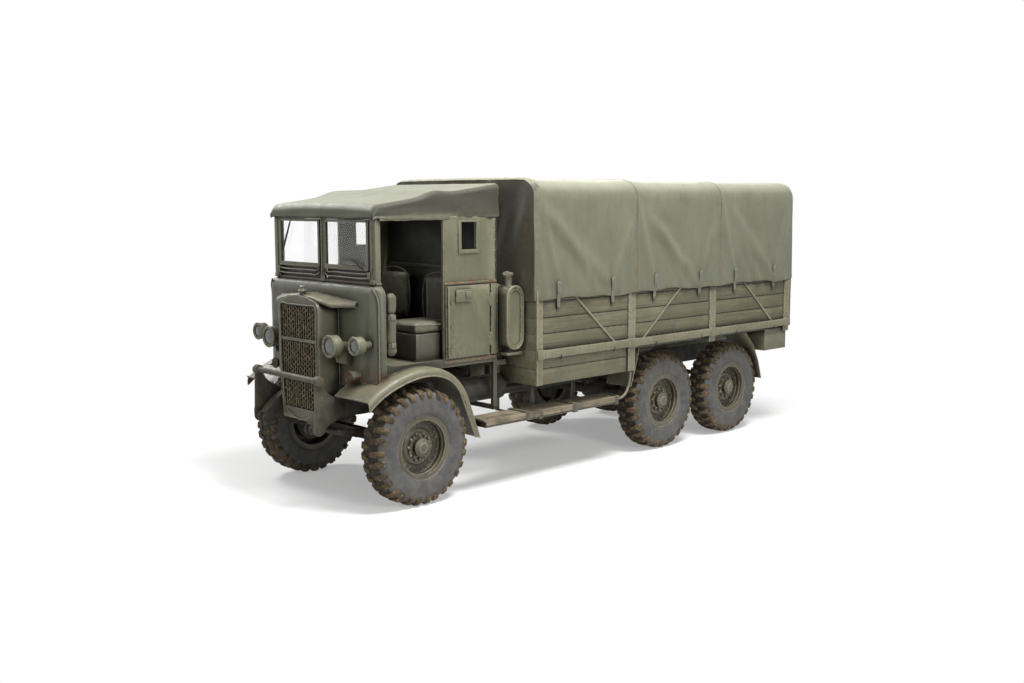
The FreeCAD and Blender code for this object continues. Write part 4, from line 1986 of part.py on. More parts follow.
def cargo_front():
    """The board across the body's front, notched over the chassis."""
    top = "rave_top + board_count * board_tall"
    half = "(body_half - board_groove - 1 - seat_gap)"
    wall = box("front_wall", (f"-{half}", FRONT, "skirt_low"), (half, f"{FRONT} + board_wall", top))
    notch = box("front_notch", ("-notch_half", f"{FRONT} - 1", "skirt_low - 1"),
                ("notch_half", f"{FRONT} + board_wall + 1", "frame_top + runner_tall + notch_over"))
    low, high = ("-body_half - 1", f"{FRONT} - 1"), ("body_half + 1", f"{FRONT} + board_groove")
    slots = grooves("front_groove", low, high, "rave_top", int(value("board_count")))
    slots += grooves("front_groove_low", low, high, "skirt_low + board_tall", 1)
    return less("cargo_front_wall", wall, [notch, *slots])


# post: its front edge and its back edge from the front axle
POSTS = {
    "front": ("body_front", "body_front + corner_post"),
    "second": ("post_second", "post_second + mid_post"),
    "third": ("post_third", "post_third + mid_post"),
    "last": ("post_last", "body_back"),
}
# brace: foot and head from the front axle, with the heights shared by all
BRACES = {"first": ("2434", "1857"), "second": ("2919", "3528"), "third": ("5329", "4744")}


def cargo_side():
    """One side: boards with grooves between them, the rave rail with a knuckle at each post, skirt boards,
    posts and slanted braces."""
    inner, outer = "body_half - board_wall", "body_half"
    start = f"{FRONT} + board_wall + seat_gap"
    top = "rave_top + board_count * board_tall"
    wall = box("side_wall", (inner, start, "rave_low"), (outer, BACK, top))
    skirt = box("side_skirt", (inner, start, "skirt_low"), (outer, from_axle("skirt_back"), "rave_low + 1"))
    low, high = (f"{outer} - board_groove", start), (f"{outer} + 1", BACK)
    slots = grooves("side_groove", low, high, "rave_top", int(value("board_count")))
    slots += grooves("side_groove_low", low, high, "skirt_low + board_tall", 1)
    boards = less("side_boards", joined("side_solid", [wall, skirt]), slots)
    rave = box("rave", (f"{outer} - 1", start, "rave_low"), (f"{outer} + rave_out", BACK, "rave_top"))
    pieces = [boards, rave]
    root = f"{outer} - board_groove - 1"
    for name, (front, back) in POSTS.items():
        foot = "skirt_low" if name in ("front", "second") else "rave_low - post_drop"
        pieces.append(box(f"post_{name}", (root, from_axle(front), foot),
                          (f"{outer} + post_out", from_axle(back), f"{top} - post_top_gap")))
        pieces.append(box(f"rave_knuckle_{name}", (root, from_axle(front), "rave_low - knuckle_over"),
                          (f"{outer} + rave_out + knuckle_out", from_axle(back), "rave_top + knuckle_over")))
    for name, (foot, head) in BRACES.items():
        loop = [
            (from_axle(f"{foot} - brace_half"), "rave_top - 1"),
            (from_axle(f"{foot} + brace_half"), "rave_top - 1"),
            (from_axle(f"{head} + brace_half"), "tilt_low"),
            (from_axle(f"{head} - brace_half"), "tilt_low"),
        ]
        pieces.append(padded(f"brace_{name}", "YZ_Plane", [loop], root, f"{outer} + brace_out"))
    return joined("cargo_side_left", pieces)


TAIL_PIN_Y = f"{BACK} - seat_gap + tail_gap + tail_wall / 2"


def tail_hinge():
    """The tailboard's hinge pins, each in two lugs under the deck's back edge."""
    pieces = []
    for side, sign in SIDES.items():
        x = f"{sign} * tail_hinge_x"
        for end, start in (("right", f"{x} - tail_lug_out"), ("left", f"{x} + tail_lug_out - tail_lug")):
            name = f"{side}_{end}"
            lug_at = (start, TAIL_PIN_Y, "tail_axis")
            pieces.append(rod(f"tail_lug_{name}", "x", "tail_eye", "tail_lug", lug_at))
            low = (start, f"{BACK} - tail_arm_long", "tail_axis - tail_arm")
            high = (f"{start} + tail_lug", f"{BACK} + tail_gap + tail_wall / 2", "tail_axis + tail_arm")
            pieces.append(box(f"tail_arm_{name}", low, high))
        pin_at = (f"{x} - tail_lug_out", TAIL_PIN_Y, "tail_axis")
        pieces.append(rod(f"tail_pin_{side}", "x", "tail_pin", "2 * tail_lug_out", pin_at))
    return pieces


def tailboard():
    """Grooved boards hinged along their lower edge at the end of the deck."""
    front = f"{BACK} + tail_gap"
    back = f"{front} + tail_wall"
    half = "body_half + tail_over"
    wall = box("tail_wall_solid", (f"-({half})", front, "tail_axis + tail_foot"), (half, back, "tail_top"))
    slot_low, slot_high = (f"-({half}) - 1", f"{back} - board_groove"), (f"{half} + 1", f"{back} + 1")
    slots = grooves("tail_groove", slot_low, slot_high, "rave_top", int(value("board_count")))
    pieces = [less("tail_boards", wall, slots)]
    for side, sign in SIDES.items():
        start, end = f"{sign} * tail_hinge_x - tail_strap", f"{sign} * tail_hinge_x + tail_strap"
        eye_at = (start, TAIL_PIN_Y, "tail_axis")
        pieces.append(rod(f"tail_eye_{side}", "x", "tail_eye", "2 * tail_strap", eye_at))
        pieces.append(box(f"tail_strap_{side}", (start, f"{front} + tail_wall / 2", "tail_axis"),
                          (end, f"{back} + tail_strap_out", "tail_top - tail_strap_top")))
    bore_at = ("-body_half", TAIL_PIN_Y, "tail_axis")
    bore = rod("tail_bore", "x", "tail_pin + moving_gap", "2 * body_half", bore_at)
    return less("tailboard", joined("tail_solid", pieces), [bore])


def floor_with_hinge():
    return joined("cargo_floor", [cargo_floor(), *tail_hinge()])


node(floor_with_hinge(), "cargo_floor")
node(cargo_front(), "cargo_front_board")
node(pair("cargo_sides", cargo_side()), "cargo_sides")
node(tailboard(), "tailboard")


# -------------------------------------------------------------------------------- tilt
def tilt_section(inset, floor):
    """The tilt from behind: sides that lean in, round long corners and a low crown."""
    half, top = f"tilt_half - {inset}", f"tilt_crown - {inset}"
    shoulder = f"{half} - tilt_lean"
    return [
        (f"-({half})", floor),
        (half, floor),
        (shoulder, "tilt_shoulder"),
        (f"{shoulder} - corner_in", f"{top} - crown_drop", f"tilt_corner - {inset}"),
        (f"-({shoulder}) + corner_in", f"{top} - crown_drop", "crown_arc_wide"),
        (f"-({shoulder})", "tilt_shoulder", f"tilt_corner - {inset}"),
    ]


def tilt_cover():
    """The canvas tilt: closed in front, open behind above the tailboard."""
    front, back = from_axle("tilt_front"), from_axle("tilt_back")
    outside = padded("tilt_outside", "XZ_Plane", [tilt_section("0", "tilt_low")], front, back)
    inside = padded("tilt_inside", "XZ_Plane", [tilt_section("tilt_wall", "tilt_low - 1")],
                    f"{front} + tilt_wall", f"{back} + 1")
    return less("tilt_cover", outside, [inside])


# hoop: its front face from the front axle
HOOPS = {"first": "body_front + 60", "second": "2740", "third": "4214", "last": "post_last + 20"}


def tilt_hoops():
    """Bent hoops under the canvas, with their feet in the body's sides."""
    outside, inside = "(tilt_wall + hoop_gap)", "(tilt_wall + hoop_gap + hoop_section)"
    boards_top = "rave_top + board_count * board_tall"
    knee_low, knee_high = f"{boards_top} + 1", f"{boards_top} + hoop_knee_tall"
    hoops = []
    for name, y in HOOPS.items():
        start = from_axle(y)
        end = f"{start} + hoop_section"
        outer = padded(f"hoop_outer_{name}", "XZ_Plane", [tilt_section(outside, "tilt_low")], start, end)
        inner = padded(f"hoop_inner_{name}", "XZ_Plane", [tilt_section(inside, "tilt_low - 1")],
                       f"{start} - 1", f"{end} + 1")
        below = box(f"hoop_below_{name}", ("-tilt_half", f"{start} - 1", "tilt_low - 2"),
                    ("tilt_half", f"{end} + 1", knee_low))
        pieces = [less(f"hoop_bow_{name}", outer, [inner, below])]
        for side in SIDES:
            low, high = between(side, "tilt_half - hoop_knee", "body_half - board_wall - seat_gap")
            foot = (low, start, "deck_top + hoop_foot")
            pieces.append(box(f"hoop_foot_{name}_{side}", foot, (high, end, knee_low)))
            low, high = between(side, "tilt_half - hoop_knee", "tilt_half - hoop_knee_out")
            pieces.append(box(f"hoop_knee_{name}_{side}", (low, start, knee_low), (high, end, knee_high)))
        hoops.append(joined(f"hoop_{name}", pieces))
    return grouped("tilt_hoops", hoops)


# strap: its middle from the front axle
STRAPS = {
    "first": "1596",
    "second": "2395",
    "third": "3066",
    "fourth": "3858",
    "fifth": "4538",
    "sixth": "5336",
}


def tilt_straps():
    """Short straps that hold the canvas's lower edge to hooks on the sides."""
    canvas, boards = "tilt_half + seat_gap", "body_half + seat_gap"
    pieces = []
    for name, y in STRAPS.items():
        front, back = from_axle(f"{y} - strap_wide / 2"), from_axle(f"{y} + strap_wide / 2")
        pieces.append(box(f"strap_{name}", (canvas, front, "strap_low"),
                          (f"{canvas} + strap_wall", back, "strap_low + strap_tall")))
        hook_end = (canvas, back, "strap_low + hook_tall")
        pieces.append(box(f"hook_{name}", (boards, front, "strap_low"), hook_end))
    return pair("tilt_straps", joined("straps_left", pieces))


node(tilt_cover(), "tilt_cover")
node(tilt_hoops(), "tilt_hoops")
node(tilt_straps(), "tilt_straps")


# -------------------------------------------------------------------------------- rear wings
# wing: the corners of its front face, as (distance from the front axle, height)
UNDER_DECK = "deck_top - deck_wall - seat_gap"
REAR_AXLE = "wheelbase + bogie_pitch"
WINGS = {
    "front": (("wheelbase - 504", UNDER_DECK), ("wheelbase - 550", "1010"), ("wheelbase - 636", "770")),
    "back": ((f"{REAR_AXLE} + 199", UNDER_DECK), (f"{REAR_AXLE} + 385", "1000"), (f"{REAR_AXLE} + 490", "800"),
             (f"{REAR_AXLE} + 560", "590")),
}


def rear_wing(name, corners):
    """One sheet flap, bent along its corners, with a stay at its inner edge."""
    face = [(from_axle(y), z) for y, z in corners]
    back = [(from_axle(f"{y} + wing_wall"), z) for y, z in reversed(corners)]
    flap = padded(f"wing_{name}", "YZ_Plane", [face + back], "wing_inner", "wing_outer")
    y = corners[0][0]
    stay = box(f"wing_stay_{name}", ("wing_inner", from_axle(y), "rave_low - wing_stay_drop"),
               ("wing_inner + wing_stay", from_axle(f"{y} + wing_stay"), UNDER_DECK))
    return joined(f"wing_{name}_whole", [flap, stay])


def rear_wings():
    """Sheet flaps before and behind the bogie's wheels, hung from the body."""
    left = [rear_wing(name, corners) for name, corners in WINGS.items()]
    return pair("rear_mudguards", grouped("wings_left", left))


def rear_lockers():
    """A tool locker under the deck's back corner on each side, with a raised lid that ends below the last
    post's foot."""
    front, back = from_axle("rear_locker_front"), from_axle("body_back - locker_end")
    outer = "body_half - locker_in"
    body = box("locker_body", ("rear_locker_inner", front, "rear_locker_low"), (outer, back, UNDER_DECK))
    lid = box("locker_lid", (f"{outer} - 1", f"{front} + lid_edge", "rear_locker_low + lid_edge"),
              (f"{outer} + lid_out", f"{back} - lid_edge", "rave_low - post_drop - lid_edge"))
    return pair("rear_lockers", joined("locker_left_back", [body, lid]))


node(rear_wings(), "rear_mudguards")
node(rear_lockers(), "rear_lockers")


# -------------------------------------------------------------------------------- curtains
def curtains():
    """The doorway's rolled side curtain, strapped up at its front edge."""
    y = from_axle("curtain_y")
    foot = ("cab_half + curtain_out", y, "floor_top + seat_gap")
    roll = rod("curtain_roll", "z", "curtain_radius", "curtain_tall", foot)
    return pair("rolled_curtains", roll)


node(curtains(), "rolled_curtains")


# -------------------------------------------------------------------------------- writing
def write_nodes():
    doc.recompute()
    for thing in doc.Objects:
        if "Invalid" in thing.State or "Error" in thing.State:
            raise RuntimeError(f"{thing.Name} failed: {thing.State}")
    os.makedirs("parts", exist_ok=True)
    for thing in NODES:
        shape = thing.Shape
        if shape.isNull() or not shape.isValid() or not shape.Solids:
            raise RuntimeError(f"{thing.Label} has no valid shape")
        shape.exportStep(f"parts/{thing.Label}.step")


write_nodes()
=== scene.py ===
# %% [markdown]
# # A six-wheeled army lorry, dressed in Blender
# The truck's shapes and moving bodies come from a CAD model that loads as a fixed frame. This lesson gives it
# its looks: canvas, worn olive paint, rubber and mud. Every piece is built in metres in the truck's own
# frame, where -Y is the front, +X the truck's left and +Z up, and each one rides on the body that it moves
# with.

import json
import math
import random

import bpy
from mathutils import Matrix, Vector, noise

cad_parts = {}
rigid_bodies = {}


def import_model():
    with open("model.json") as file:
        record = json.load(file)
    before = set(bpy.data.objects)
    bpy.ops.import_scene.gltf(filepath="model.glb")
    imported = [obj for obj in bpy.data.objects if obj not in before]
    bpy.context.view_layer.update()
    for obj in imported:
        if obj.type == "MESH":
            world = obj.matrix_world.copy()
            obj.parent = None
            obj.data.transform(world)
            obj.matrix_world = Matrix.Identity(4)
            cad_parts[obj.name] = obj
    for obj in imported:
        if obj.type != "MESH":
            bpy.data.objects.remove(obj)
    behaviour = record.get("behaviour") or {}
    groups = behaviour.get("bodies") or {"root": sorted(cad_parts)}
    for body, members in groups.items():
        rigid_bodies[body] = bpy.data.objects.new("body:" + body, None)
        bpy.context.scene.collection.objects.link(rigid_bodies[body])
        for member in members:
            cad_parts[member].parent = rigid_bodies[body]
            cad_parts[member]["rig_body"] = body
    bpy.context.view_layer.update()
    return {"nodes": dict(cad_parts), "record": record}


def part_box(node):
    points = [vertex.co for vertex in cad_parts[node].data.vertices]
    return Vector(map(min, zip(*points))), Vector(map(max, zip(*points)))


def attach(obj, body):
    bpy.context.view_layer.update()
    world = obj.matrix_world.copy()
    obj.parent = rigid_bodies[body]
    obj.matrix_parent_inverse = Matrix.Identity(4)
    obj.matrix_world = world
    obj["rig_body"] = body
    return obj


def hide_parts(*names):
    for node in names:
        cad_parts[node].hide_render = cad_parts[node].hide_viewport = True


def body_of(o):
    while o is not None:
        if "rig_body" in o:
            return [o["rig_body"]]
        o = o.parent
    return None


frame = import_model()
FRONT_AXLE = (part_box("tyre_front_left")[0][1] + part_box("tyre_front_left")[1][1]) / 2
# each side's name, and the sign of x there
SIDES = (("left", 1), ("right", -1))


def along(distance):
    """A place along the truck, given in metres behind the front axle."""
    return FRONT_AXLE + distance


# %% [markdown]
# ## Camera
# The camera stands about nine metres off the truck's front left corner, a little higher than the cab's hood,
# and looks slightly down. Its lens is of about normal length. From there the cab looks tall and the body runs
# away behind it.

# %% Set up the camera
LENS, SENSOR_WIDTH = 38.74, 36  # millimetres
CAMERA_PLACE = (8.5424, along(-6.1375), 2.739)
LOOKS_DOWN, TURNED = 7.287, 46.236  # degrees
camera_data = bpy.data.cameras.new("camera")
camera_data.lens = LENS
camera_data.sensor_width = SENSOR_WIDTH
camera = bpy.data.objects.new("camera", camera_data)
bpy.context.collection.objects.link(camera)
camera.location = CAMERA_PLACE
camera.rotation_euler = (math.radians(90 - LOOKS_DOWN), 0, math.radians(TURNED))
bpy.context.scene.camera = camera
print("camera at", tuple(round(c, 3) for c in camera.location))

# %% [markdown]
# ## Light
# There are five soft lamps. The key, high over the left side, shapes the folds, and one lower down lifts that
# side. A weak one in front lights the grille, one on the right draws the far edges, and one behind keeps the
# back from going black. A pale world fills the shadows: it is white only where the camera, a reflection or a
# pane of glass sees it. The view transform is Standard, so a colour comes out about as it is written.

# %% Set up the light, the world and the floor
scene = bpy.context.scene
scene.view_settings.view_transform = "Standard"


def add_node(tree, kind, inputs=None, output=0, **settings):
    """Adds a shader node, sets its settings, fills its inputs with values or with other nodes' outputs, and
    gives one of its outputs."""
    node = tree.nodes.new("ShaderNode" + kind)
    for name, setting in settings.items():
        setattr(node, name, setting)
    for name, given in (inputs or {}).items():
        if isinstance(given, bpy.types.NodeSocket):
            tree.links.new(given, node.inputs[name])
        else:
            node.inputs[name].default_value = given
    return node.outputs[output]


def linear(hex_colour, alpha=1.0):
    """An sRGB hex colour as the linear values that shaders take."""
    channels = [int(hex_colour[i : i + 2], 16) / 255 for i in (1, 3, 5)]
    return tuple(c / 12.92 if c <= 0.04045 else ((c + 0.055) / 1.055) ** 2.4 for c in channels) + (alpha,)


def only_seen(tree, in_light, as_seen):
    """One number for the rays that light the truck, and another for what the camera, gloss and glass see."""
    camera_ray = add_node(tree, "LightPath")
    shine = add_node(tree, "LightPath", output="Is Glossy Ray")
    through = add_node(tree, "LightPath", output="Is Transmission Ray")
    seen = add_node(tree, "Math", {0: camera_ray, 1: shine}, operation="MAXIMUM")
    seen = add_node(tree, "Math", {0: seen, 1: through}, operation="MAXIMUM")
    return add_node(tree, "Mix", {0: seen, 2: in_light, 3: as_seen})


WORLD_LIGHT = 0.14
world = bpy.data.worlds.new("pale_studio")
scene.world = world
world.use_nodes = True
background = world.node_tree.nodes["Background"]
background.inputs["Color"].default_value = (1, 1, 1, 1)
world.node_tree.links.new(only_seen(world.node_tree, WORLD_LIGHT, 1.0), background.inputs["Strength"])

# lamp: name, place, what it points at, size in metres, watts
LAMPS = [
    ("key", (5.0, -1.0, 12.0), (0, 0, 1.2), 3.6, 1750),
    ("side", (11.0, -3.0, 5.0), (0, 0, 1.6), 3.5, 480),
    ("front", (1.5, -12.0, 5.0), (0, -2.0, 1.5), 3.0, 210),
    ("rim", (-7.0, -3.0, 7.5), (0, -1.0, 1.7), 3.0, 520),
    ("back", (-6.0, 8.0, 6.0), (0, 1.0, 1.5), 4.0, 150),
]
for name, place, target, size, watts in LAMPS:
    data = bpy.data.lights.new(name, "AREA")
    data.size = size
    data.energy = watts
    lamp = bpy.data.objects.new(name, data)
    lamp.location = place
    lamp.rotation_euler = (Vector(target) - Vector(place)).to_track_quat("-Z", "Y").to_euler()
    bpy.context.collection.objects.link(lamp)

# %% [markdown]
# ## Floor
# A pale floor that fades to plain white away from the truck, so that no horizon shows. Near the truck it is a
# matt surface that takes the shadows, with a share of white glow mixed in that lightens them: painted light.
# From there out it shines plain white to the camera, and only weakly on the truck.

# %% Lay the floor
bpy.ops.object.select_all(action="DESELECT")
bpy.ops.mesh.primitive_plane_add(size=900, location=(0, 0, 0))
floor = bpy.context.object
floor.name = "floor"
floor_paint = bpy.data.materials.new("pale_floor")
floor_paint.use_nodes = True
tree = floor_paint.node_tree
matt = tree.nodes["Principled BSDF"]
matt.inputs["Base Color"].default_value = linear("#fbfbfa")
matt.inputs["Roughness"].default_value = 0.95
matt.inputs["Specular IOR Level"].default_value = 0.1
place = add_node(tree, "TexCoord", output="Object")
distance = add_node(tree, "VectorMath", {0: place}, output="Value", operation="LENGTH")
far_off = add_node(tree, "MapRange", {"Value": distance, "From Min": 2.4, "From Max": 6.0, "To Min": 0.30},
                   interpolation_type="SMOOTHSTEP")
white = add_node(tree, "Emission", {"Color": (1, 1, 1, 1), "Strength": only_seen(tree, 0.15, 1.0)})
blended = add_node(tree, "MixShader", {0: far_off, 1: matt.outputs[0], 2: white})
tree.links.new(blended, tree.nodes["Material Output"].inputs["Surface"])
floor.data.materials.append(floor_paint)
print("lamps:", [row[0] for row in LAMPS])

# %% [markdown]
# ## Finishes
# Every finish is built the same way. It starts from one ground colour, and lies layers over it: fade, grime,
# dust, rust. Each layer shows through a mask, and a mask is a pattern whose size is given in real
# millimetres. Two things make paint look used: what gathers on surfaces that face up, and what wears off
# along edges. Some layers are painted light and shade instead: a painted highlight mixed into the worn edges,
# and painted shade in recesses.

# %% Masks
def grain(size, low=0.4, high=0.6, stretch=(1, 1, 1), detail=5, kind="Noise", coordinates="Object"):
    """A blotchy mask: patches about size millimetres across, longer along an axis with a stretch over 1."""
    def mask(tree):
        place = add_node(tree, "TexCoord", output=coordinates)
        scale = tuple(1000 / (size * along_axis) for along_axis in stretch)
        place = add_node(tree, "Mapping", {"Vector": place, "Scale": scale})
        texture = {"Noise": {"Scale": 1.0, "Detail": detail, "Roughness": 0.6}, "Voronoi": {"Scale": 1.0}}[kind]
        found = add_node(tree, "Tex" + kind, {"Vector": place, **texture})
        return add_node(tree, "MapRange", {"Value": found, "From Min": low, "From Max": high})
    return mask


def facing(low=0.35, high=0.95, sign=1):
    """A mask of surfaces that face up, or down where the sign is -1: dust settles there, and rain runs
    there. On the canvas it also carries painted light: the tops are painted paler."""
    def mask(tree):
        normal = add_node(tree, "NewGeometry", output="True Normal")
        upward = add_node(tree, "SeparateXYZ", {0: normal}, output="Z")
        return add_node(tree, "MapRange", {"Value": upward, "From Min": low * sign, "From Max": high * sign})
    return mask


def between_heights(low, high):
    """A mask that is 0 at one height above the ground and 1 at another, in metres."""
    def mask(tree):
        place = add_node(tree, "TexCoord", output="Object")
        height = add_node(tree, "SeparateXYZ", {0: place}, output="Z")
        return add_node(tree, "MapRange", {"Value": height, "From Min": low, "From Max": high})
    return mask


def edges(width):
    """A mask of edges and corners: where a normal rounded over some millimetres leaves the true one."""
    def mask(tree):
        rounded = add_node(tree, "Bevel", {"Radius": width / 1000}, samples=4)
        true = add_node(tree, "NewGeometry", output="True Normal")
        alike = add_node(tree, "VectorMath", {0: rounded, 1: true}, output="Value", operation="DOT_PRODUCT")
        return add_node(tree, "MapRange", {"Value": alike, "From Min": 0.985, "From Max": 0.86})
    return mask


def recess_shade(reach, low=0.97, high=0.60):
    """A mask of recesses and joints, for painted shade: places that the sky hardly reaches within some
    millimetres, which the finishes paint dark."""
    def mask(tree):
        open_sky = add_node(tree, "AmbientOcclusion", {"Distance": reach / 1000}, output="AO", samples=6)
        return add_node(tree, "MapRange", {"Value": open_sky, "From Min": low, "From Max": high})
    return mask


def shown(tree, strength, masks):
    """How much of a layer shows: its strength times each of its masks."""
    share = strength
    for mask in masks:
        share = add_node(tree, "Math", {0: share, 1: mask(tree)}, operation="MULTIPLY")
    return share


def finish(name, ground, layers, rough=(0.5, 0.7), bumps=(), **fixed):
    """A material from a ground colour, layers of (colour, strength, masks...) and bumps of (millimetres,
    mask). What is the same all over is set on the shader's own sockets."""
    made = bpy.data.materials.new(name)
    made.use_nodes = True
    tree = made.node_tree
    shader = tree.nodes["Principled BSDF"]
    colour = linear(ground)
    for hex_colour, strength, *masks in layers:
        mixing = {0: shown(tree, strength, masks), 6: colour, 7: linear(hex_colour)}
        colour = add_node(tree, "Mix", mixing, output=2, data_type="RGBA")
    tree.links.new(colour, shader.inputs["Base Color"])
    patches = grain(90, 0.3, 0.7)(tree)
    roughness = add_node(tree, "Mix", {0: patches, 2: rough[0], 3: rough[1]})
    tree.links.new(roughness, shader.inputs["Roughness"])
    height = 0.0
    for millimetres, mask in bumps:
        raised = add_node(tree, "Math", {0: mask(tree), 1: millimetres / 1000, 2: height},
                          operation="MULTIPLY_ADD")
        height = raised
    if bumps:
        tree.links.new(add_node(tree, "Bump", {"Height": height, "Distance": 1.0}), shader.inputs["Normal"])
    for socket, number in fixed.items():
        shader.inputs[socket.replace("_", " ")].default_value = number
    return made


# %% [markdown]
# ### Paint
# Matt olive enamel, brushed on over many years. It fades to a chalky green grey where the sun reaches it,
# goes dark in patches, and shows a little brown rust along its edges. Its edges are also pale, with worn
# scuffs and a painted highlight, and its recesses are painted near-black as painted shade. Vertical streaks
# come from rain.

# %% Mix the paints
STREAKS = (1, 1, 14)
DENTS = [(0.5, grain(320, 0.2, 0.8, detail=1)), (0.1, grain(9, 0.2, 0.8))]


def olive(name, ground, sun, shade, dust=0.35, rust=0.6, scuffs_and_highlight=0.55, more=()):
    """One of the truck's paints: the same wear over different grounds."""
    return finish(name, ground, [
        (shade, 0.45, grain(520, 0.42, 0.68)),
        (sun, 0.40, grain(300, 0.45, 0.68)),
        (shade, 0.35, grain(38, 0.5, 0.74, STREAKS)),
        (sun, 0.30, grain(22, 0.54, 0.74, STREAKS)),
        ("#3f3d30", 0.55, grain(60, 0.6, 0.72), grain(700, 0.4, 0.6)),
        ("#8f8871", dust, facing(), grain(120, 0.3, 0.65)),
        # painted shade: recesses and joints painted near-black
        ("#1f1d15", 0.95, recess_shade(90)),
        # pale edges: worn scuffs with a painted highlight
        ("#b4af95", scuffs_and_highlight, edges(9), grain(30, 0.36, 0.56)),
        ("#553521", rust, edges(5), grain(55, 0.54, 0.64)),
        ("#60391f", rust, grain(26, 0.66, 0.72), grain(500, 0.45, 0.6)),
        ("#5d3c26", rust * 0.8, grain(14, 0.58, 0.68, STREAKS), grain(160, 0.52, 0.62)),
        *more,
    ], (0.36, 0.58), DENTS)


WAIST_RUST = ("#6b4935", 0.85, between_heights(1.985, 1.995), between_heights(2.05, 2.01), grain(22, 0.52, 0.6))
SILL_RUST = ("#70472f", 0.85, grain(40, 0.46, 0.57))
FOOT_RUST = ("#6a4227", 0.9, between_heights(1.34, 1.14), grain(46, 0.47, 0.58))
olive_enamel = olive("olive_enamel", "#6b6b55", "#7d7d67", "#525240", more=(WAIST_RUST,))
bead_paint = olive("bead_paint", "#6d6c57", "#85856e", "#4f4f3d", more=(SILL_RUST,))
dusty_enamel = olive("dusty_enamel", "#6d6955", "#858069", "#4f4c3d", dust=0.6, rust=0.9, scuffs_and_highlight=0.9)
dark_enamel = olive("dark_enamel", "#46463a", "#5a594a", "#2f2f27", dust=0.5)
wheel_enamel = olive("wheel_enamel", "#554f3f", "#756e5a", "#2a271f", dust=0.2, scuffs_and_highlight=1.0)
hub_enamel = olive("hub_enamel", "#70705f", "#8d8c7c", "#4a4a3e", dust=0.2)
shell_enamel = olive("shell_enamel", "#62614f", "#77776a", "#45463a", scuffs_and_highlight=0.8)
# A darker copy of the olive enamel for the cab's front and scuttle: painted shade for the front face, which
# stands in shade, with rust at its foot.
scuttle_shaded_enamel = olive("scuttle_shaded_enamel", "#5a5c4a", "#6c6e5b", "#40423a", dust=0.35, rust=0.8, scuffs_and_highlight=0.8,
                       more=(FOOT_RUST,))
# Near-black paint for the cab's back wall and the gap behind the windscreen's bars: painted shade for the dark
# inside of the cab.
cab_painted_shade = olive("cab_painted_shade", "#2b2c24", "#35362c", "#1f201a", dust=0.2, rust=0.2, scuffs_and_highlight=0.4)

# %% [markdown]
# ### Chassis, iron and rust
# The frame, axles and springs are sprayed black-green and never washed. Road dirt lies on them in thick matt
# patches, lighter on top. Bare iron, as on the bumper, is brown with rust and almost black where oil has kept
# it. On both, recesses are painted near-black as painted shade, and the bumper's pale edges carry a painted
# highlight.

# %% Mix the finishes below the body
chassis_black = finish("chassis_black", "#35342b", [
    ("#1f1e19", 0.8, grain(300, 0.4, 0.62)),
    ("#5f5645", 0.5, facing(0.2, 0.9), grain(70, 0.35, 0.6)),
    # painted shade: recesses painted near-black
    ("#16150f", 0.9, recess_shade(120)),
    ("#4d4536", 0.6, grain(110, 0.5, 0.62)),
    ("#6a6654", 0.5, edges(6), grain(40, 0.45, 0.6)),
], (0.6, 0.85), [(0.8, grain(24, 0.35, 0.7))])
rusty_iron = finish("rusty_iron", "#3a342b", [
    ("#241f1a", 0.8, grain(160, 0.4, 0.6)),
    ("#6e4a2e", 0.75, grain(42, 0.52, 0.66)),
    ("#8d6a48", 0.5, grain(14, 0.58, 0.7)),
    ("#77705c", 0.6, edges(5), grain(28, 0.4, 0.6)),
], (0.55, 0.85), [(0.5, grain(12, 0.35, 0.7)), (0.2, grain(4, 0.3, 0.7))])
iron_paint = finish("worn_black_iron", "#4b493a", [
    ("#34322a", 0.7, grain(160, 0.4, 0.6)),
    ("#64553c", 0.5, grain(42, 0.54, 0.66)),
    # painted shade: recesses painted near-black
    ("#24211a", 0.9, recess_shade(60)),
    # pale edges: worn paint with a painted highlight
    ("#8a846f", 0.7, edges(6), grain(28, 0.4, 0.6)),
], (0.5, 0.75), [(0.4, grain(14, 0.35, 0.7))])
spring_steel = finish("spring_steel", "#3b372e", [
    ("#26231d", 0.8, grain(120, 0.4, 0.6)),
    ("#6b5c46", 0.6, grain(50, 0.5, 0.64)),
], (0.5, 0.8), [(0.4, grain(14, 0.35, 0.7))])
strap_metal = finish("galvanised_strap", "#77776c", [
    ("#55554a", 0.7, grain(22, 0.45, 0.62)),
    # pale edges: worn metal with a painted highlight
    ("#b5b3a5", 0.8, edges(8), grain(40, 0.3, 0.6)),
    ("#6d4a30", 0.5, grain(12, 0.62, 0.7)),
], (0.38, 0.55), [(0.15, grain(6, 0.3, 0.7))], Metallic=0.25)

# %% [markdown]
# ### Rubber and mud
# Tyre rubber is a matt blue-grey, dusty where the sidewall flexes. The tread's bars are caked with dried mud,
# which is brown and crumbly on top. Down in the gaps the tread is nearly black: damp mud with painted shade.

# %% Mix the rubber and the mud
tyre_rubber = finish("tyre_rubber", "#4c4c4b", [
    ("#3a3a3b", 0.7, grain(200, 0.42, 0.62)),
    ("#67655f", 0.6, grain(90, 0.45, 0.66)),
    ("#786e5c", 0.4, grain(16, 0.56, 0.7)),
], (0.6, 0.78), [(0.35, grain(10, 0.3, 0.7)), (0.25, grain(3, 0.3, 0.7))])
caked_mud = finish("caked_mud", "#564938", [
    ("#2e2820", 0.85, grain(55, 0.5, 0.64)),
    ("#7a6a50", 0.8, grain(34, 0.48, 0.62)),
    ("#94825f", 0.5, grain(12, 0.56, 0.68)),
    ("#3a342c", 0.6, grain(150, 0.5, 0.6)),
], (0.8, 0.95), [(2.2, grain(26, 0.3, 0.7)), (0.9, grain(8, 0.3, 0.7))], Specular_IOR_Level=0.2)
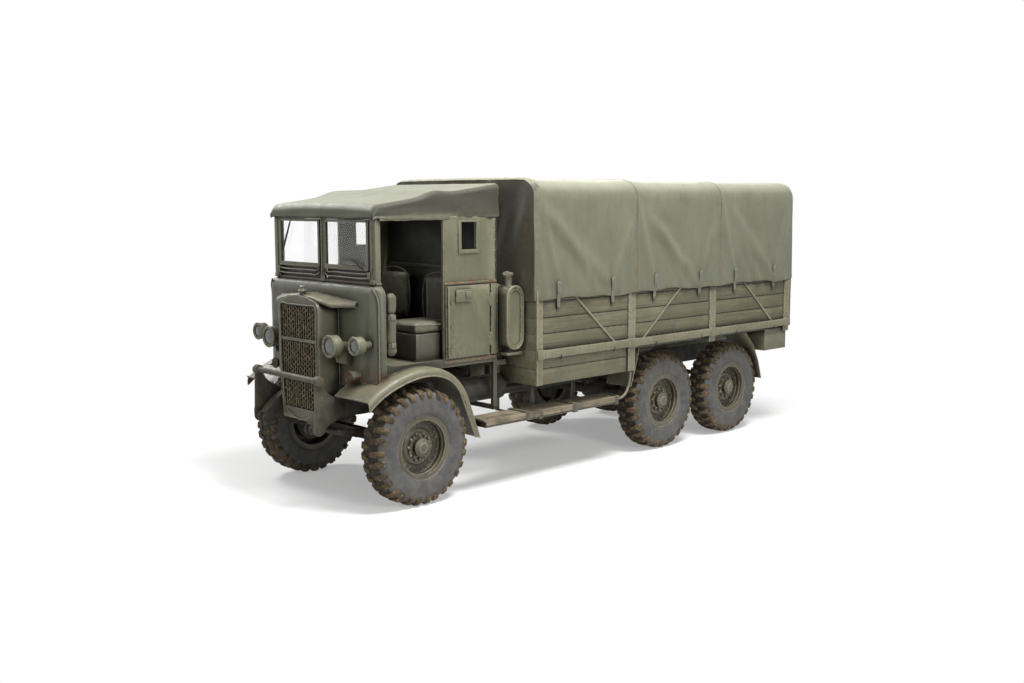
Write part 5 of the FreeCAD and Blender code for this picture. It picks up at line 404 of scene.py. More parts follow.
# Near-black for the gaps between the tyre's bars and between the boards: damp mud with painted shade.
gap_shade_finish = finish("painted_gap_shade", "#231f1a", [
    ("#4d4232", 0.6, grain(60, 0.5, 0.66)),
], (0.8, 0.95), [(1.5, grain(18, 0.3, 0.7))])

# %% [markdown]
# ### Canvas
# Proofed cotton duck: a plain weave of thick threads, stiff and matt. The thread spacing is really about 0.8
# mm, and is drawn at 3 mm here, so that it still shows. Water stains run down it, and the proofing has worn
# pale on top, where painted light makes it paler still. Lower down, in recesses, on the hood's sides and on
# the tilt's front wall it is painted darker: painted shade.

# %% Weave the canvas
THREAD = 3.0


def weave(tree):
    """Over-and-under threads: two sets of waves across each other, on the sheet's own UV map in metres."""
    place = add_node(tree, "TexCoord", output="UV")
    scale = 314.0 / THREAD / 5
    warp = add_node(tree, "TexWave", {"Vector": place, "Scale": scale, "Distortion": 0.6, "Detail": 1.0},
                    output="Fac", bands_direction="X")
    weft = add_node(tree, "TexWave", {"Vector": place, "Scale": scale, "Distortion": 0.6, "Detail": 1.0},
                    output="Fac", bands_direction="Y")
    return add_node(tree, "Math", {0: warp, 1: weft}, operation="MAXIMUM")


def seam_dirt(tree):
    """The attribute that the sheet carries: 1 along its seams and lower edge, where dirt and rust collect."""
    return add_node(tree, "Attribute", output="Fac", attribute_name="seam")


def side_shade(tree):
    """The attribute shade, which is painted shade: 1 on the hood's upright sides, and on the tilt's front
    wall and in thin lines beside its welts.
    """
    return add_node(tree, "Attribute", output="Fac", attribute_name="shade")


def canvas(name, ground, sun, shade, bleach_and_toplight):
    return finish(name, ground, [
        (sun, 0.35, grain(480, 0.4, 0.65)),
        (shade, 0.35, grain(340, 0.48, 0.68)),
        (shade, 0.30, grain(60, 0.48, 0.7, (1, 1, 9))),
        # pale tops: worn proofing with painted light
        ("#a9aa95", bleach_and_toplight, facing(0.35, 1.0)),
        # darker towards the hem: painted shade
        ("#4b4c3a", 0.40, between_heights(2.80, 1.82)),
        # painted shade from the shade attribute: the hood's sides, the tilt's front wall, beside the welts
        ("#36352a", 0.92, side_shade),
        # painted shade: recesses painted dark
        ("#3a382b", 0.7, recess_shade(120)),
        ("#5f5b49", 0.30, grain(140, 0.57, 0.68), grain(30, 0.4, 0.6)),
        ("#6a5039", 0.60, seam_dirt, grain(70, 0.50, 0.62)),
        ("#55503f", 0.50, seam_dirt, grain(25, 0.42, 0.6)),
    ], (0.48, 0.66), [(0.22, weave), (1.2, grain(120, 0.25, 0.75, detail=3)), (0.4, grain(22, 0.3, 0.7))],
        Sheen_Weight=0.12, Sheen_Roughness=0.5, Specular_IOR_Level=0.42)


tilt_canvas = canvas("tilt_canvas", "#71725d", "#878872", "#585944", 0.85)
hood_canvas = canvas("hood_canvas", "#626451", "#777964", "#4c4d3c", 0.25)

# %% [markdown]
# ### Boards, planks and seat hide
# Painted boards show the wood's long grain through the paint, and the running boards are nearly bare:
# grey-brown planks, polished by boots. The seats are oiled green hide, shiny on their crown and cracked at
# the edges.

# %% Mix the boards, planks and hide
ALONG = (1, 26, 1)
painted_boards = finish("painted_boards", "#66634c", [
    ("#4d4a3a", 0.7, grain(46, 0.45, 0.66, ALONG)),
    ("#7f7a63", 0.5, grain(16, 0.5, 0.66, ALONG)),
    ("#565545", 0.6, grain(380, 0.45, 0.62)),
    ("#6f4a30", 0.55, grain(34, 0.56, 0.66), grain(300, 0.48, 0.62)),
    # painted shade: the grooves and recesses painted near-black
    ("#221f16", 0.95, recess_shade(70)),
    ("#5a3d28", 0.7, edges(5), grain(60, 0.52, 0.62)),
    # pale edges: worn paint with a painted highlight
    ("#a09a83", 0.6, edges(6), grain(26, 0.44, 0.6)),
], (0.6, 0.8), [(0.5, grain(8, 0.3, 0.7, ALONG)), (0.6, grain(260, 0.2, 0.8, detail=1))])
# A paler copy of the olive for the rails, posts, bolts, beads, rims and stays that stand out: worn paint with a
# painted highlight.
rail_wear_and_highlight = olive("rail_wear_and_highlight", "#747059", "#8b866e", "#524f3d", dust=0.6, scuffs_and_highlight=0.9)
worn_planks = finish("worn_planks", "#7b705b", [
    ("#554b3b", 0.8, grain(30, 0.46, 0.64, ALONG)),
    ("#9b9079", 0.7, grain(13, 0.48, 0.62, ALONG)),
    ("#4b4235", 0.6, grain(160, 0.5, 0.64)),
    ("#3a332a", 0.8, edges(4), grain(40, 0.45, 0.6)),
], (0.66, 0.86), [(1.0, grain(7, 0.3, 0.7, ALONG)), (0.6, grain(60, 0.3, 0.7))])
seat_hide = finish("oiled_hide", "#6a6756", [
    ("#5c5a4a", 0.7, grain(120, 0.45, 0.64)),
    ("#969380", 0.5, grain(60, 0.5, 0.66)),
    ("#46443a", 0.7, seam_dirt),
], (0.42, 0.62), [(0.5, grain(9, 0.35, 0.6, kind="Voronoi")), (1.2, grain(70, 0.3, 0.7))])
wheel_black = finish("black_wheel_rim", "#26261f", [
    ("#4a483c", 0.6, grain(40, 0.5, 0.66)),
], (0.35, 0.55), [(0.2, grain(8, 0.3, 0.7))])

# %% [markdown]
# ### Glass and radiator
# Window glass is thin and a little dusty. A lamp's lens is pressed with upright ribs. The radiator's core is
# a mass of fine tubes, dark inside, so its brown strands are modelled and only their colour is set here.
# Behind them the core is painted near-black: painted shade.

# %% Mix the glass and the core
pane_glass = finish("dusty_glass", "#e9ece8", [("#b5b2a4", 0.15, grain(120, 0.5, 0.7))], (0.01, 0.05), (),
                    Transmission_Weight=1.0, IOR=1.45, Alpha=0.12)
lamp_glass = finish("ribbed_lamp_glass", "#878e88", [
    ("#55564b", 0.6, grain(40, 0.45, 0.65)),
    ("#8f958c", 0.4, grain(8, 0.4, 0.6, (1, 1, 30))),
], (0.08, 0.24), [(0.8, grain(9, 0.35, 0.65, (1, 1, 60), detail=0))], Transmission_Weight=0.15, IOR=1.5)
# a near-black core behind the strands: painted shade for the core's depth
core_shade = finish("radiator_core_shade", "#0c0b08", [("#17140e", 0.6, grain(60, 0.45, 0.6))], (0.7, 0.9))
strand_tan = finish("radiator_strands", "#74684f", [
    ("#2b2318", 0.9, grain(60, 0.45, 0.6)),
    # painted shade: the strands' recesses painted near-black
    ("#100e09", 0.95, recess_shade(40)),
    ("#b3a37f", 0.7, grain(30, 0.5, 0.64)),
], (0.6, 0.8), [(0.4, grain(9, 0.3, 0.7))])
print(len(bpy.data.materials), "finishes")

# %% [markdown]
# ## Tools for making pieces
# Each new piece is started from a primitive at its size and place, then shaped in edit mode. These few
# helpers do what every piece needs: start clean, and finish a piece with its material and body.

# %% Helpers for new pieces
def only(*objects):
    """Selects these objects and nothing else."""
    if bpy.context.object and bpy.context.object.mode != "OBJECT":
        bpy.ops.object.mode_set(mode="OBJECT")
    bpy.ops.object.select_all(action="DESELECT")
    for each in objects:
        each.select_set(True)
    bpy.context.view_layer.objects.active = objects[-1] if objects else None


def place_in_mesh(piece):
    """Moves a piece's place, turn and size into its mesh, as a CAD piece has it."""
    only(piece)
    bpy.ops.object.transform_apply(location=True, rotation=True, scale=True)
    return piece


def smooth(piece, degrees=None):
    """Shades a piece smooth all over, or only across edges that are flatter than an angle."""
    only(piece)
    if degrees is None:
        bpy.ops.object.shade_smooth()
    else:
        bpy.ops.object.shade_smooth_by_angle(angle=math.radians(degrees))
    return piece


def merged(piece, distance):
    """Merges points that lie closer than a distance and turns the faces outwards."""
    only(piece)
    bpy.ops.object.mode_set(mode="EDIT")
    bpy.ops.mesh.select_all(action="SELECT")
    bpy.ops.mesh.remove_doubles(threshold=distance)
    bpy.ops.mesh.normals_make_consistent(inside=False)
    bpy.ops.object.mode_set(mode="OBJECT")
    return piece


def on_side(piece, sign):
    """Mirrors a piece to the truck's right where the sign is -1, with its faces turned out again."""
    if sign < 0:
        piece.data.transform(MIRROR)
        piece.data.flip_normals()
    return piece


def box(name, low, high):
    """A cube between two corners, ready to be shaped."""
    only()
    middle = [(a + b) / 2 for a, b in zip(low, high)]
    bpy.ops.mesh.primitive_cube_add(size=1, location=middle)
    piece = bpy.context.object
    piece.name = name
    piece.scale = [b - a for a, b in zip(low, high)]
    return place_in_mesh(piece)


def rod(name, start, end, radius, sides=16, tip=None):
    """A closed cylinder or cone from one point to another."""
    only()
    start, end = Vector(start), Vector(end)
    bpy.ops.mesh.primitive_cone_add(vertices=sides, radius1=radius, radius2=radius if tip is None else tip,
                                    depth=(end - start).length, location=(start + end) / 2)
    piece = bpy.context.object
    piece.name = name
    piece.rotation_mode = "QUATERNION"
    piece.rotation_quaternion = (end - start).to_track_quat("Z", "Y")
    return place_in_mesh(piece)


def apply(piece, kind, **settings):
    """Adds a modifier, sets it and applies it."""
    only(piece)
    added = piece.modifiers.new(kind.lower(), kind)
    for name, setting in settings.items():
        setattr(added, name, setting)
    bpy.ops.object.modifier_apply(modifier=added.name)
    return piece


def rounded(piece, width, segments=2, angle=30):
    """Bevels every edge sharper than an angle, and shades the piece smooth across what is left."""
    apply(piece, "BEVEL", width=width, segments=segments, limit_method="ANGLE", angle_limit=math.radians(angle),
          harden_normals=False)
    return smooth(piece, 40)


def joined(name, pieces):
    """Several shapes as one piece."""
    only(*pieces)
    if len(pieces) > 1:
        bpy.ops.object.join()
    piece = bpy.context.object
    piece.name = name
    return piece


def copied(piece, name, matrix):
    """A copy with its own mesh, moved by a matrix. A mirrored copy has its faces turned out again."""
    twin = piece.copy()
    twin.data = piece.data.copy()
    twin.name = name
    bpy.context.collection.objects.link(twin)
    twin.data.transform(matrix)
    if matrix.determinant() < 0:
        twin.data.flip_normals()
    return twin


MIRROR = Matrix.Diagonal((-1, 1, 1, 1))


def finished(piece, material, slot_name, body="truck", stands_for=()):
    """Gives a piece its finish and its body, and hides the CAD pieces that it stands for. The slot name
    is not used.
    """
    only()
    if material:
        piece.data.materials.clear()
        piece.data.materials.append(material)
    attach(piece, body)
    if stands_for:
        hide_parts(*stands_for)
    return piece


def from_grid(name, points):
    """A mesh from rows of points, with a UV map in metres measured along the rows and down the columns."""
    rows, columns = len(points), len(points[0])
    mesh = bpy.data.meshes.new(name)
    corners = [p for row in points for p in row]
    faces = [(r * columns + c, r * columns + c + 1, (r + 1) * columns + c + 1, (r + 1) * columns + c)
             for r in range(rows - 1) for c in range(columns - 1)]
    mesh.from_pydata(corners, [], faces)
    mesh.update()
    across = [0.0]
    for c in range(1, columns):
        across.append(across[-1] + (Vector(points[rows // 2][c]) - Vector(points[rows // 2][c - 1])).length)
    down = [0.0]
    for r in range(1, rows):
        down.append(down[-1] + (Vector(points[r][columns // 2]) - Vector(points[r - 1][columns // 2])).length)
    uv = mesh.uv_layers.new(name="UVMap")
    for loop in mesh.loops:
        uv.data[loop.index].uv = (across[loop.vertex_index % columns], down[loop.vertex_index // columns])
    piece = bpy.data.objects.new(name, mesh)
    bpy.context.collection.objects.link(piece)
    return piece


def smoothstep(low, high, value):
    share = min(1.0, max(0.0, (value - low) / (high - low)))
    return share * share * (3 - 2 * share)


def bump_at(value, middle, width):
    """A smooth hump, 1 at its middle and 0 a width away."""
    return math.exp(-((value - middle) / (width / 2)) ** 2)

# %% [markdown]
# ## The tilt
# A canvas cover over four hoops, laced down by straps along its lower edge. On the real one it is sewn from
# three widths with raised welts, drum-tight over the hoops and slack between them. A sheet is the right way
# to make it: one grid of points that follows the CAD cover's section, then pushed in and out by what pulls on
# real cloth. The hoops hold it up, it sags between them, the straps pull it in at its hem, and long soft
# folds run from each strap up towards the hoops.

# %% The tilt's section and what pulls on it
TILT_FRONT, TILT_BACK = 1.284, 5.744
TILT_HOOPS = (1.33, 2.71, 4.125, 5.63)
TILT_SEAMS = (2.756, 4.23)
TILT_STRAPS = (1.596, 2.395, 3.066, 3.858, 4.538, 5.336)
HEM, SIDE_TOP, RIDGE = 1.790, 2.760, 2.952
SIDE_RISE = SIDE_TOP - HEM
HEM_HALF, SIDE_LEAN = 1.137, 0.026
SHOULDER_RADIUS, SHOULDER_END = 0.19264, math.radians(86.5)
# each fold: from (distance, height share up the side) to (distance, share), its depth in metres and its width
TILT_FOLDS = [
    (1.36, 0.97, 1.62, 0.04, 0.013, 0.11), (1.42, 0.90, 2.36, 0.10, 0.011, 0.15),
    (2.70, 0.72, 2.40, 0.05, 0.014, 0.11),
    (1.75, 0.60, 2.20, 0.00, 0.008, 0.12), (2.80, 0.95, 3.06, 0.05, 0.011, 0.11),
    (3.00, 0.80, 3.84, 0.04, 0.013, 0.16),
    (4.16, 0.70, 3.86, 0.06, 0.013, 0.11), (3.35, 0.40, 3.62, -0.05, 0.008, 0.11),
    (4.28, 0.95, 4.54, 0.06, 0.010, 0.10),
    (4.50, 0.85, 5.32, 0.05, 0.012, 0.15), (5.62, 0.80, 5.35, 0.05, 0.014, 0.11),
    (4.72, 0.45, 5.02, 0.00, 0.008, 0.10),
    (1.50, 0.80, 1.95, 0.35, 0.007, 0.12), (3.15, 0.70, 3.50, 0.30, 0.007, 0.12),
    (4.60, 0.62, 4.95, 0.28, 0.007, 0.12),
]


def tilt_section():
    """Half the tilt's section, from its hem up the side, round the shoulder and in to the ridge: (x, z) pairs
    and how far up the side each one is."""
    section = [(HEM_HALF - SIDE_LEAN * t, HEM + SIDE_RISE * t, t) for t in [i / 22 for i in range(23)]]
    side_angle = math.atan2(SIDE_LEAN, SIDE_RISE)
    middle = Vector((HEM_HALF - SIDE_LEAN, SIDE_TOP))
    middle -= SHOULDER_RADIUS * Vector((math.cos(side_angle), math.sin(side_angle)))
    for step in range(1, 11):
        turn = side_angle + (SHOULDER_END - side_angle) * step / 10
        point = middle + SHOULDER_RADIUS * Vector((math.cos(turn), math.sin(turn)))
        section.append((point.x, point.y, 1 + step / 10))
    x, z = section[-1][:2]
    for step in range(1, 13):
        share = step / 12
        section.append((x * (1 - share), RIDGE - (RIDGE - z) * (1 - share) ** 2, 2 + share))
    return section


SECTION = tilt_section()
print("tilt section", len(SECTION), "points to the ridge")

# %% [markdown]
# The pull of each thing is a small function of the place on the cloth: how far along the truck it is, and how
# far up its side. Outward is positive. The right side gets the same pulls with its folds shifted, since no
# two sides hang alike.

# %% How the cloth is pushed
random.seed(11)
RIPPLES = [(random.uniform(2.5, 8.5), random.uniform(0, 6.28), random.uniform(-1.6, 1.6),
            random.uniform(0.5, 1.0))
           for each in range(9)]


def fold_at(start, end, at, span, width, lead, tail, trough):
    """How high a fold stands at a place on a cloth, from 0 to 1, with a shallow trough on both sides of it. A
    place is a distance along the truck and a share of the cloth's span, which is in metres."""
    run = Vector((end[0] - start[0], (end[1] - start[1]) * span))
    off = Vector((at[0] - start[0], (at[1] - start[1]) * span))
    share = off.dot(run) / run.length_squared
    aside = abs(off.x * run.y - off.y * run.x) / run.length
    fade = smoothstep(-lead, lead, share) * (1 - smoothstep(*tail, share))
    return fade * (math.exp(-(aside / (width / 2)) ** 2) - trough * math.exp(-(aside / width) ** 2))


def hoop_pull(distance):
    """1 over a hoop, falling to 0 half way to the next."""
    return max(bump_at(distance, hoop, 0.34) for hoop in TILT_HOOPS)


def strap_pull(distance):
    return max(bump_at(distance, strap, 0.16) for strap in TILT_STRAPS)


def tilt_push(distance, height, side):
    """How far the cloth stands out of its section, in metres, at a distance along the truck and a share of
    height from 0 at the hem to 3 at the ridge."""
    slack = 1 - hoop_pull(distance)
    on_side = 1 - smoothstep(0.9, 1.3, height)
    low = 1 - smoothstep(0.0, 0.55, height)
    push = -0.020 * slack * smoothstep(1.6, 2.4, height)
    push -= 0.010 * slack * on_side * math.sin(math.pi * min(height, 1))
    push += 0.006 * hoop_pull(distance) * smoothstep(1.1, 1.8, height)
    shift = 0.0 if side > 0 else 0.19
    for start, high, end, bottom, depth, width in TILT_FOLDS:
        if min(start, end) - 0.3 < distance - shift < max(start, end) + 0.3:
            place = (distance - shift, height)
            push += 2.6 * depth * fold_at((start, high), (end, bottom), place, SIDE_RISE, width, 0.15,
                                       (0.9, 1.2), 0.45)
    for pace, phase, lean, strength in RIPPLES:
        push += 0.0022 * strength * on_side * (0.3 + low) * math.sin(pace * (distance + lean * height * 0.2)
                                                                     + phase)
    push += low * (0.009 * math.sin(distance * 23 + 1.3 * math.sin(distance * 5)) * (1 - strap_pull(distance)))
    push -= 0.016 * low * low * strap_pull(distance)
    for seam in TILT_SEAMS:
        push += 0.010 * bump_at(distance, seam, 0.022) + 0.006 * bump_at(distance, seam + 0.037, 0.014)
    push += 0.009 * bump_at(distance, TILT_FRONT + 0.05, 0.024) + 0.0035 * bump_at(height, 0.035, 0.05)
    return push


# %% [markdown]
# The grid has columns close together where a welt or a strap needs them and wider ones between. It starts at
# the hem on the right side, goes up and over, and comes down to the hem on the left side. The front wall is a
# second grid that shares the cover's front edge.

# %% Lay out the cover
def tilt_stations():
    places = [TILT_FRONT, TILT_FRONT + 0.012, TILT_FRONT + 0.03]
    step = 0.042
    at = TILT_FRONT + 0.05
    while at < TILT_BACK - 0.03:
        places.append(at)
        near_seam = min(abs(at - seam - 0.015) for seam in TILT_SEAMS) < 0.06
        at += 0.011 if near_seam else step
    return places + [TILT_BACK - 0.012, TILT_BACK]


def tilt_point(distance, index, side):
    x, z, height = SECTION[index]
    before, after = SECTION[max(0, index - 1)], SECTION[min(len(SECTION) - 1, index + 1)]
    outward = Vector((0, 1))
    if index < len(SECTION) - 1:
        outward = Vector((after[1] - before[1], before[0] - after[0])).normalized()
    push = tilt_push(distance, height, side)
    turned_in = 0.012 * (1 - smoothstep(TILT_FRONT, TILT_FRONT + 0.03, distance)) \
        + 0.006 * smoothstep(TILT_BACK - 0.03, TILT_BACK, distance)
    push -= turned_in
    uneven = (0.011 * math.sin(distance * 4.1 + side) + 0.007 * math.sin(distance * 11 + 2 * side)
              - 0.010 * strap_pull(distance)) * (1 - smoothstep(0.0, 0.25, height))
    return (side * (x + outward.x * push), along(distance), z + outward.y * push + uneven)


stations = tilt_stations()
rows = []
for distance in stations:
    right = [tilt_point(distance, i, -1) for i in range(len(SECTION))]
    left = [tilt_point(distance, i, 1) for i in range(len(SECTION) - 1)]
    rows.append(right + left[::-1])
tilt = from_grid("tilt", rows)
print("cover", len(stations), "stations of", len(rows[0]), "points")

# %% [markdown]
# The front wall hangs behind the cab. It is a curtain laced to the front hoop: it sags inwards, and soft
# folds run from its upper corners down to its middle. It reaches down only as far as the front board.

# %% Lay out the front wall
top_row = rows[0]
WALL_ROWS = 26
wall = []
for r in range(WALL_ROWS + 1):
    share = r / WALL_ROWS
    row = []
    for point in top_row:
        x = point[0] * (1 - 0.012 * math.sin(math.pi * share))
        z = point[2] + (HEM - 0.012 - point[2]) * share
        across = abs(x) / 1.13
        inner = smoothstep(0, 0.25, 1 - across) * math.sin(math.pi * min(1, 0.1 + share))
        fold = 0.5 + 0.5 * math.sin(11 * across + 6 * share) ** 3 + 0.35 * math.sin(23 * x + 6 * share)
        y = point[1] + inner * (0.012 + 0.034 * fold)
        row.append((x, y, z))
    wall.append(row)
front_wall = from_grid("tilt_front_wall", wall)

# %% [markdown]
# The two grids are joined and their shared edges merged. The attribute "seam" marks the welts, the front
# corner and the hem, where the canvas finish lays dirt and rust. The attribute "shade" marks painted shade: a
# painted shadow beside each welt, dark lines along the front corner and back edge, and the whole front wall.

# %% Join, smooth and thicken the tilt
tilt = joined("tilt", [front_wall, tilt])
merged(tilt, 0.0006)


def mark(piece, attribute, share_of):
    """Writes an attribute that a finish reads, "seam" or "shade", from a function of each point's place."""
    found = piece.data.attributes.new(attribute, "FLOAT", "POINT")
    found.data.foreach_set("value", [share_of(v.co) for v in piece.data.vertices])


def tilt_dirt(co):
    distance = co.y - FRONT_AXLE
    low = 1 - smoothstep(2.0, 2.7, co.z)
    share = max(bump_at(distance, seam + 0.01, 0.09) for seam in TILT_SEAMS) * (0.35 + 0.65 * low)
    share = max(share, bump_at(distance, TILT_FRONT + 0.02, 0.07) * 0.8 if distance > TILT_FRONT + 0.004 else 0)
    share = max(share, bump_at(co.z, HEM, 0.07) * 0.85)
    return max(share, 0.8 * max(bump_at(distance, s, 0.05) for s in TILT_STRAPS)
               * (1 - smoothstep(1.95, 2.1, co.z)))


def tilt_painted_shade(co):
    """Painted shade: a painted shadow beside each welt, dark lines along the front corner and the back
    edge, and the whole front wall, which stands in shade.
    """
    distance = co.y - FRONT_AXLE
    share = max(bump_at(distance, seam + 0.022, 0.012) for seam in TILT_SEAMS)
    share = max(share, 0.8 * bump_at(distance, TILT_FRONT + 0.082, 0.014),
                0.7 * bump_at(distance, TILT_BACK - 0.03, 0.016))
    on_wall = distance < TILT_FRONT + 0.075 and abs(co.x) < 1.092 and co.z < 2.90
    return share + (0.85 if on_wall else 0.0)


mark(tilt, "seam", tilt_dirt)
mark(tilt, "shade", tilt_painted_shade)
smooth(tilt)
apply(tilt, "SUBSURF", levels=1, render_levels=1)
# The cut comes from the outline, not from this mesh: a girth of 4.37 m hem to hem, 4.46 m along the hoops,
# and a front wall 1.16 m high sewn on. That is 19.5 square metres of cover and 2.6 of wall.
hung = sum(face.area for face in tilt.data.polygons)
finished(tilt, tilt_canvas, "canvas", stands_for=["tilt_cover"])
print("tilt", len(tilt.data.polygons), "faces,", round(hung, 2), "square metres as hung")

# %% [markdown]
# ## Tyres
# A bar-tread military tyre: a smooth, dusty sidewall that bulges over the rim, and a tread of thick rubber
# bars that wrap over the shoulder, with deep gaps between. It is a shape that turns about an axle, so its
# section is drawn once and spun. The bars are the same all round, so one pair is modelled and copied 30 times
# round the tread. A little dried mud makes each tyre's bars uneven, so each copy is pushed about with noise
# before it is set down.

# %% The tyre's casing
TYRE_RADIUS, TRACK_HALF, BAR_COUNT = 0.535, 0.870, 30
# (out from the tyre's middle, radius) from the bead over the sidewall and shoulder to the tread's middle
CASING = [(0.104, 0.272), (0.118, 0.296), (0.127, 0.306), (0.1345, 0.325), (0.1385, 0.352), (0.1400, 0.382),
          (0.1398, 0.410), (0.1382, 0.434), (0.1350, 0.456), (0.1300, 0.474), (0.1215, 0.492), (0.108, 0.5035),
          (0.085, 0.5095), (0.045, 0.5125), (0.0, 0.5135)]
CASING = CASING + [(-out, radius) for out, radius in CASING[-2::-1]]


def spun(name, section, sides, close=False):
    """Turns a section of (out, radius) points into a ring about the X axis, with the spin operator."""
    only()
    mesh = bpy.data.meshes.new(name)
    corners = [(out, 0, radius) for out, radius in section]
    links = [(i, i + 1) for i in range(len(corners) - 1)] + ([(len(corners) - 1, 0)] if close else [])
    mesh.from_pydata(corners, links, [])
    piece = bpy.data.objects.new(name, mesh)
    bpy.context.collection.objects.link(piece)
    only(piece)
    bpy.ops.object.mode_set(mode="EDIT")
    bpy.ops.mesh.select_all(action="SELECT")
    bpy.ops.mesh.spin(steps=sides, angle=math.tau, center=(0, 0, 0), axis=(1, 0, 0))
    return merged(piece, 0.00005)


casing = spun("tyre_casing", CASING, 96, close=True)
smooth(casing, 50)
print("casing", len(casing.data.polygons), "faces")

# %% [markdown]
# One bar is a block that starts near the tread's middle, widens towards the shoulder, turns over it and
# tapers out down the sidewall. It is built from seven rings of four corners along that path, joined face to
# face, and its outer edges are beveled.

# %% One bar of the tread
# stations along the bar: out from the middle, radius of its base, height over the base, half its width
BAR = [(0.006, 0.5130, 0.0215, 0.0230), (0.040, 0.5125, 0.0220, 0.0265), (0.088, 0.5090, 0.0230, 0.0320),
       (0.1120, 0.5010, 0.0235, 0.0345), (0.1265, 0.4840, 0.0180, 0.0340), (0.1350, 0.4640, 0.0085, 0.0300),
       (0.1380, 0.4480, 0.0012, 0.0250)]


def bar_ring(station, lean):
    """Four corners of the bar at one station: two on the casing and two on top. A bar leans a little forward
    as it goes out, and what is tall on the tread stands outward on the sidewall."""
    out, base, tall, half = station
    over = smoothstep(0.100, 0.136, out)
    rise = Vector((tall * over, tall * (1 - over)))
    turn = lean * out / 0.13
    ring = []
    for side, top in ((-1, 0), (1, 0), (1, 1), (-1, 1)):
        width = half * (0.80 if top else 1.0) * side
        x, radius = out + rise.x * top, base + rise.y * top - 0.004 * (1 - top)
        angle = turn + width / 0.52
        ring.append((x, radius * math.sin(angle), radius * math.cos(angle)))
    return ring


def tread_bar(name, lean, middle_shift):
    mesh = bpy.data.meshes.new(name)
    rings = [bar_ring(station, lean) for station in BAR]
    rings[0] = [(x + middle_shift, y, z) for x, y, z in rings[0]]
    corners = [corner for ring in rings for corner in ring]
    faces = [(0, 1, 2, 3), tuple(4 * len(rings) - k for k in (1, 2, 3, 4))]
    for r in range(len(rings) - 1):
        for k in range(4):
            a, b = 4 * r + k, 4 * r + (k + 1) % 4
            faces.append((a, a + 4, b + 4, b))
    mesh.from_pydata(corners, [], faces)
    piece = bpy.data.objects.new(name, mesh)
    bpy.context.collection.objects.link(piece)
    return apply(merged(piece, 0.00005), "BEVEL", width=0.0055, segments=1, limit_method="ANGLE",
                 angle_limit=math.radians(38))


bars = []
pattern_bar = tread_bar("bar", 0.055, 0.0)
short_bar = tread_bar("short_bar", 0.03, 0.012)
for index in range(BAR_COUNT):
    turn = Matrix.Rotation(math.tau * index / BAR_COUNT, 4, "X")
    other = Matrix.Rotation(math.tau * (index + 0.5) / BAR_COUNT, 4, "X")
    bars.append(copied(pattern_bar if index % 2 else short_bar, "bar", turn))
    bars.append(copied(short_bar if index % 2 else pattern_bar, "bar", other @ MIRROR))
for spare in (pattern_bar, short_bar):
    bpy.data.objects.remove(spare)
tread = joined("tread", bars)
smooth(tread, 35)
print("tread", len(tread.data.polygons), "faces")

# %% [markdown]
# The casing's tread between the bars takes the near-black gap finish: damp mud with painted shade. The bars take
# dried mud. Each of the six tyres turns the pattern by its own angle and gets its own lumps of mud.

# %% Set the tyres on their wheels
casing.data.materials.append(tyre_rubber)
casing.data.materials.append(gap_shade_finish)
for face in casing.data.polygons:
    radius = Vector((face.center.y, face.center.z)).length
    face.material_index = 1 if radius > 0.500 else 0
tread.data.materials.append(caked_mud)

WHEELS = {"front": FRONT_AXLE, "middle": along(3.430), "rear": along(4.690)}
for axle, y in WHEELS.items():
    for side, sign in SIDES:
        name = f"{axle}_{side}"
        turn = Matrix.Rotation(0.11 * len(name) + (0.05 if sign > 0 else 0.4), 4, "X")
        at = Matrix.Translation((TRACK_HALF * sign, y, TYRE_RADIUS))
        parts = [copied(casing, "tyre_wall", turn), copied(tread, "tyre_bars", turn)]
        for part in parts:
            for vertex in part.data.vertices:
                spot = vertex.co * 19 + Vector((y * 7, 3 * sign, 0))
                radius = Vector((vertex.co.y, vertex.co.z)).length
                amount = 0.0032 if radius > 0.506 else (0.0022 if radius > 0.44 else 0.0007)
                shift = noise.noise_vector(spot) * amount
                if radius > 0.533:
                    shift = shift - Vector((0, vertex.co.y, vertex.co.z)).normalized() * 0.0022
                vertex.co += shift
                radius = Vector((vertex.co.y, vertex.co.z)).length
                if radius > TYRE_RADIUS:
                    vertex.co.yz = vertex.co.yz * (TYRE_RADIUS / radius)
            on_side(part, sign).data.transform(at)
        tyre = joined(f"muddy_tyre_{name}", parts)
        finished(tyre, None, "tyre_rubber", f"{name}_wheel", [f"tyre_{name}"])
for spare in (casing, tread):
    bpy.data.objects.remove(spare)

# %% [markdown]
# ## Wheels
# A pressed steel disc in a rim with a rolled flange, five hand holes, a ring of nuts and a big domed hub. The
# rim and disc are turned shapes, so one section is spun. The hand holes are cut through the spun disc with a
# boolean, and nuts are six-sided, beveled and copied round. Muddy enamel covers all of it, so nothing is
# shiny.

# %% The rim and the disc
# (out from the tyre's middle, radius): the outer flange with its two steps, the well, and the disc's domed
# face
RIM = [(0.1175, 0.3005), (0.1215, 0.2960), (0.1185, 0.2895), (0.1130, 0.2855), (0.1125, 0.2790), (0.1080, 0.2720),
       (0.0960, 0.2660), (0.0930, 0.2600), (0.0850, 0.2545), (0.0600, 0.2500), (0.0380, 0.2450), (0.0310, 0.2380),
       (0.0290, 0.2280), (0.0300, 0.1800), (0.0330, 0.1740), (0.0400, 0.1640), (0.0450, 0.1540), (0.0462, 0.1450),
       (0.0466, 0.0830), (0.0330, 0.0800), (0.0280, 0.1400), (0.0180, 0.1700), (0.0150, 0.2300), (0.0200, 0.2420),
       (0.0460, 0.2420), (0.0800, 0.2440), (0.0960, 0.2600), (0.1000, 0.2700), (0.1060, 0.2960)]
rim = spun("rim", RIM, 72, close=True)
only(rim)
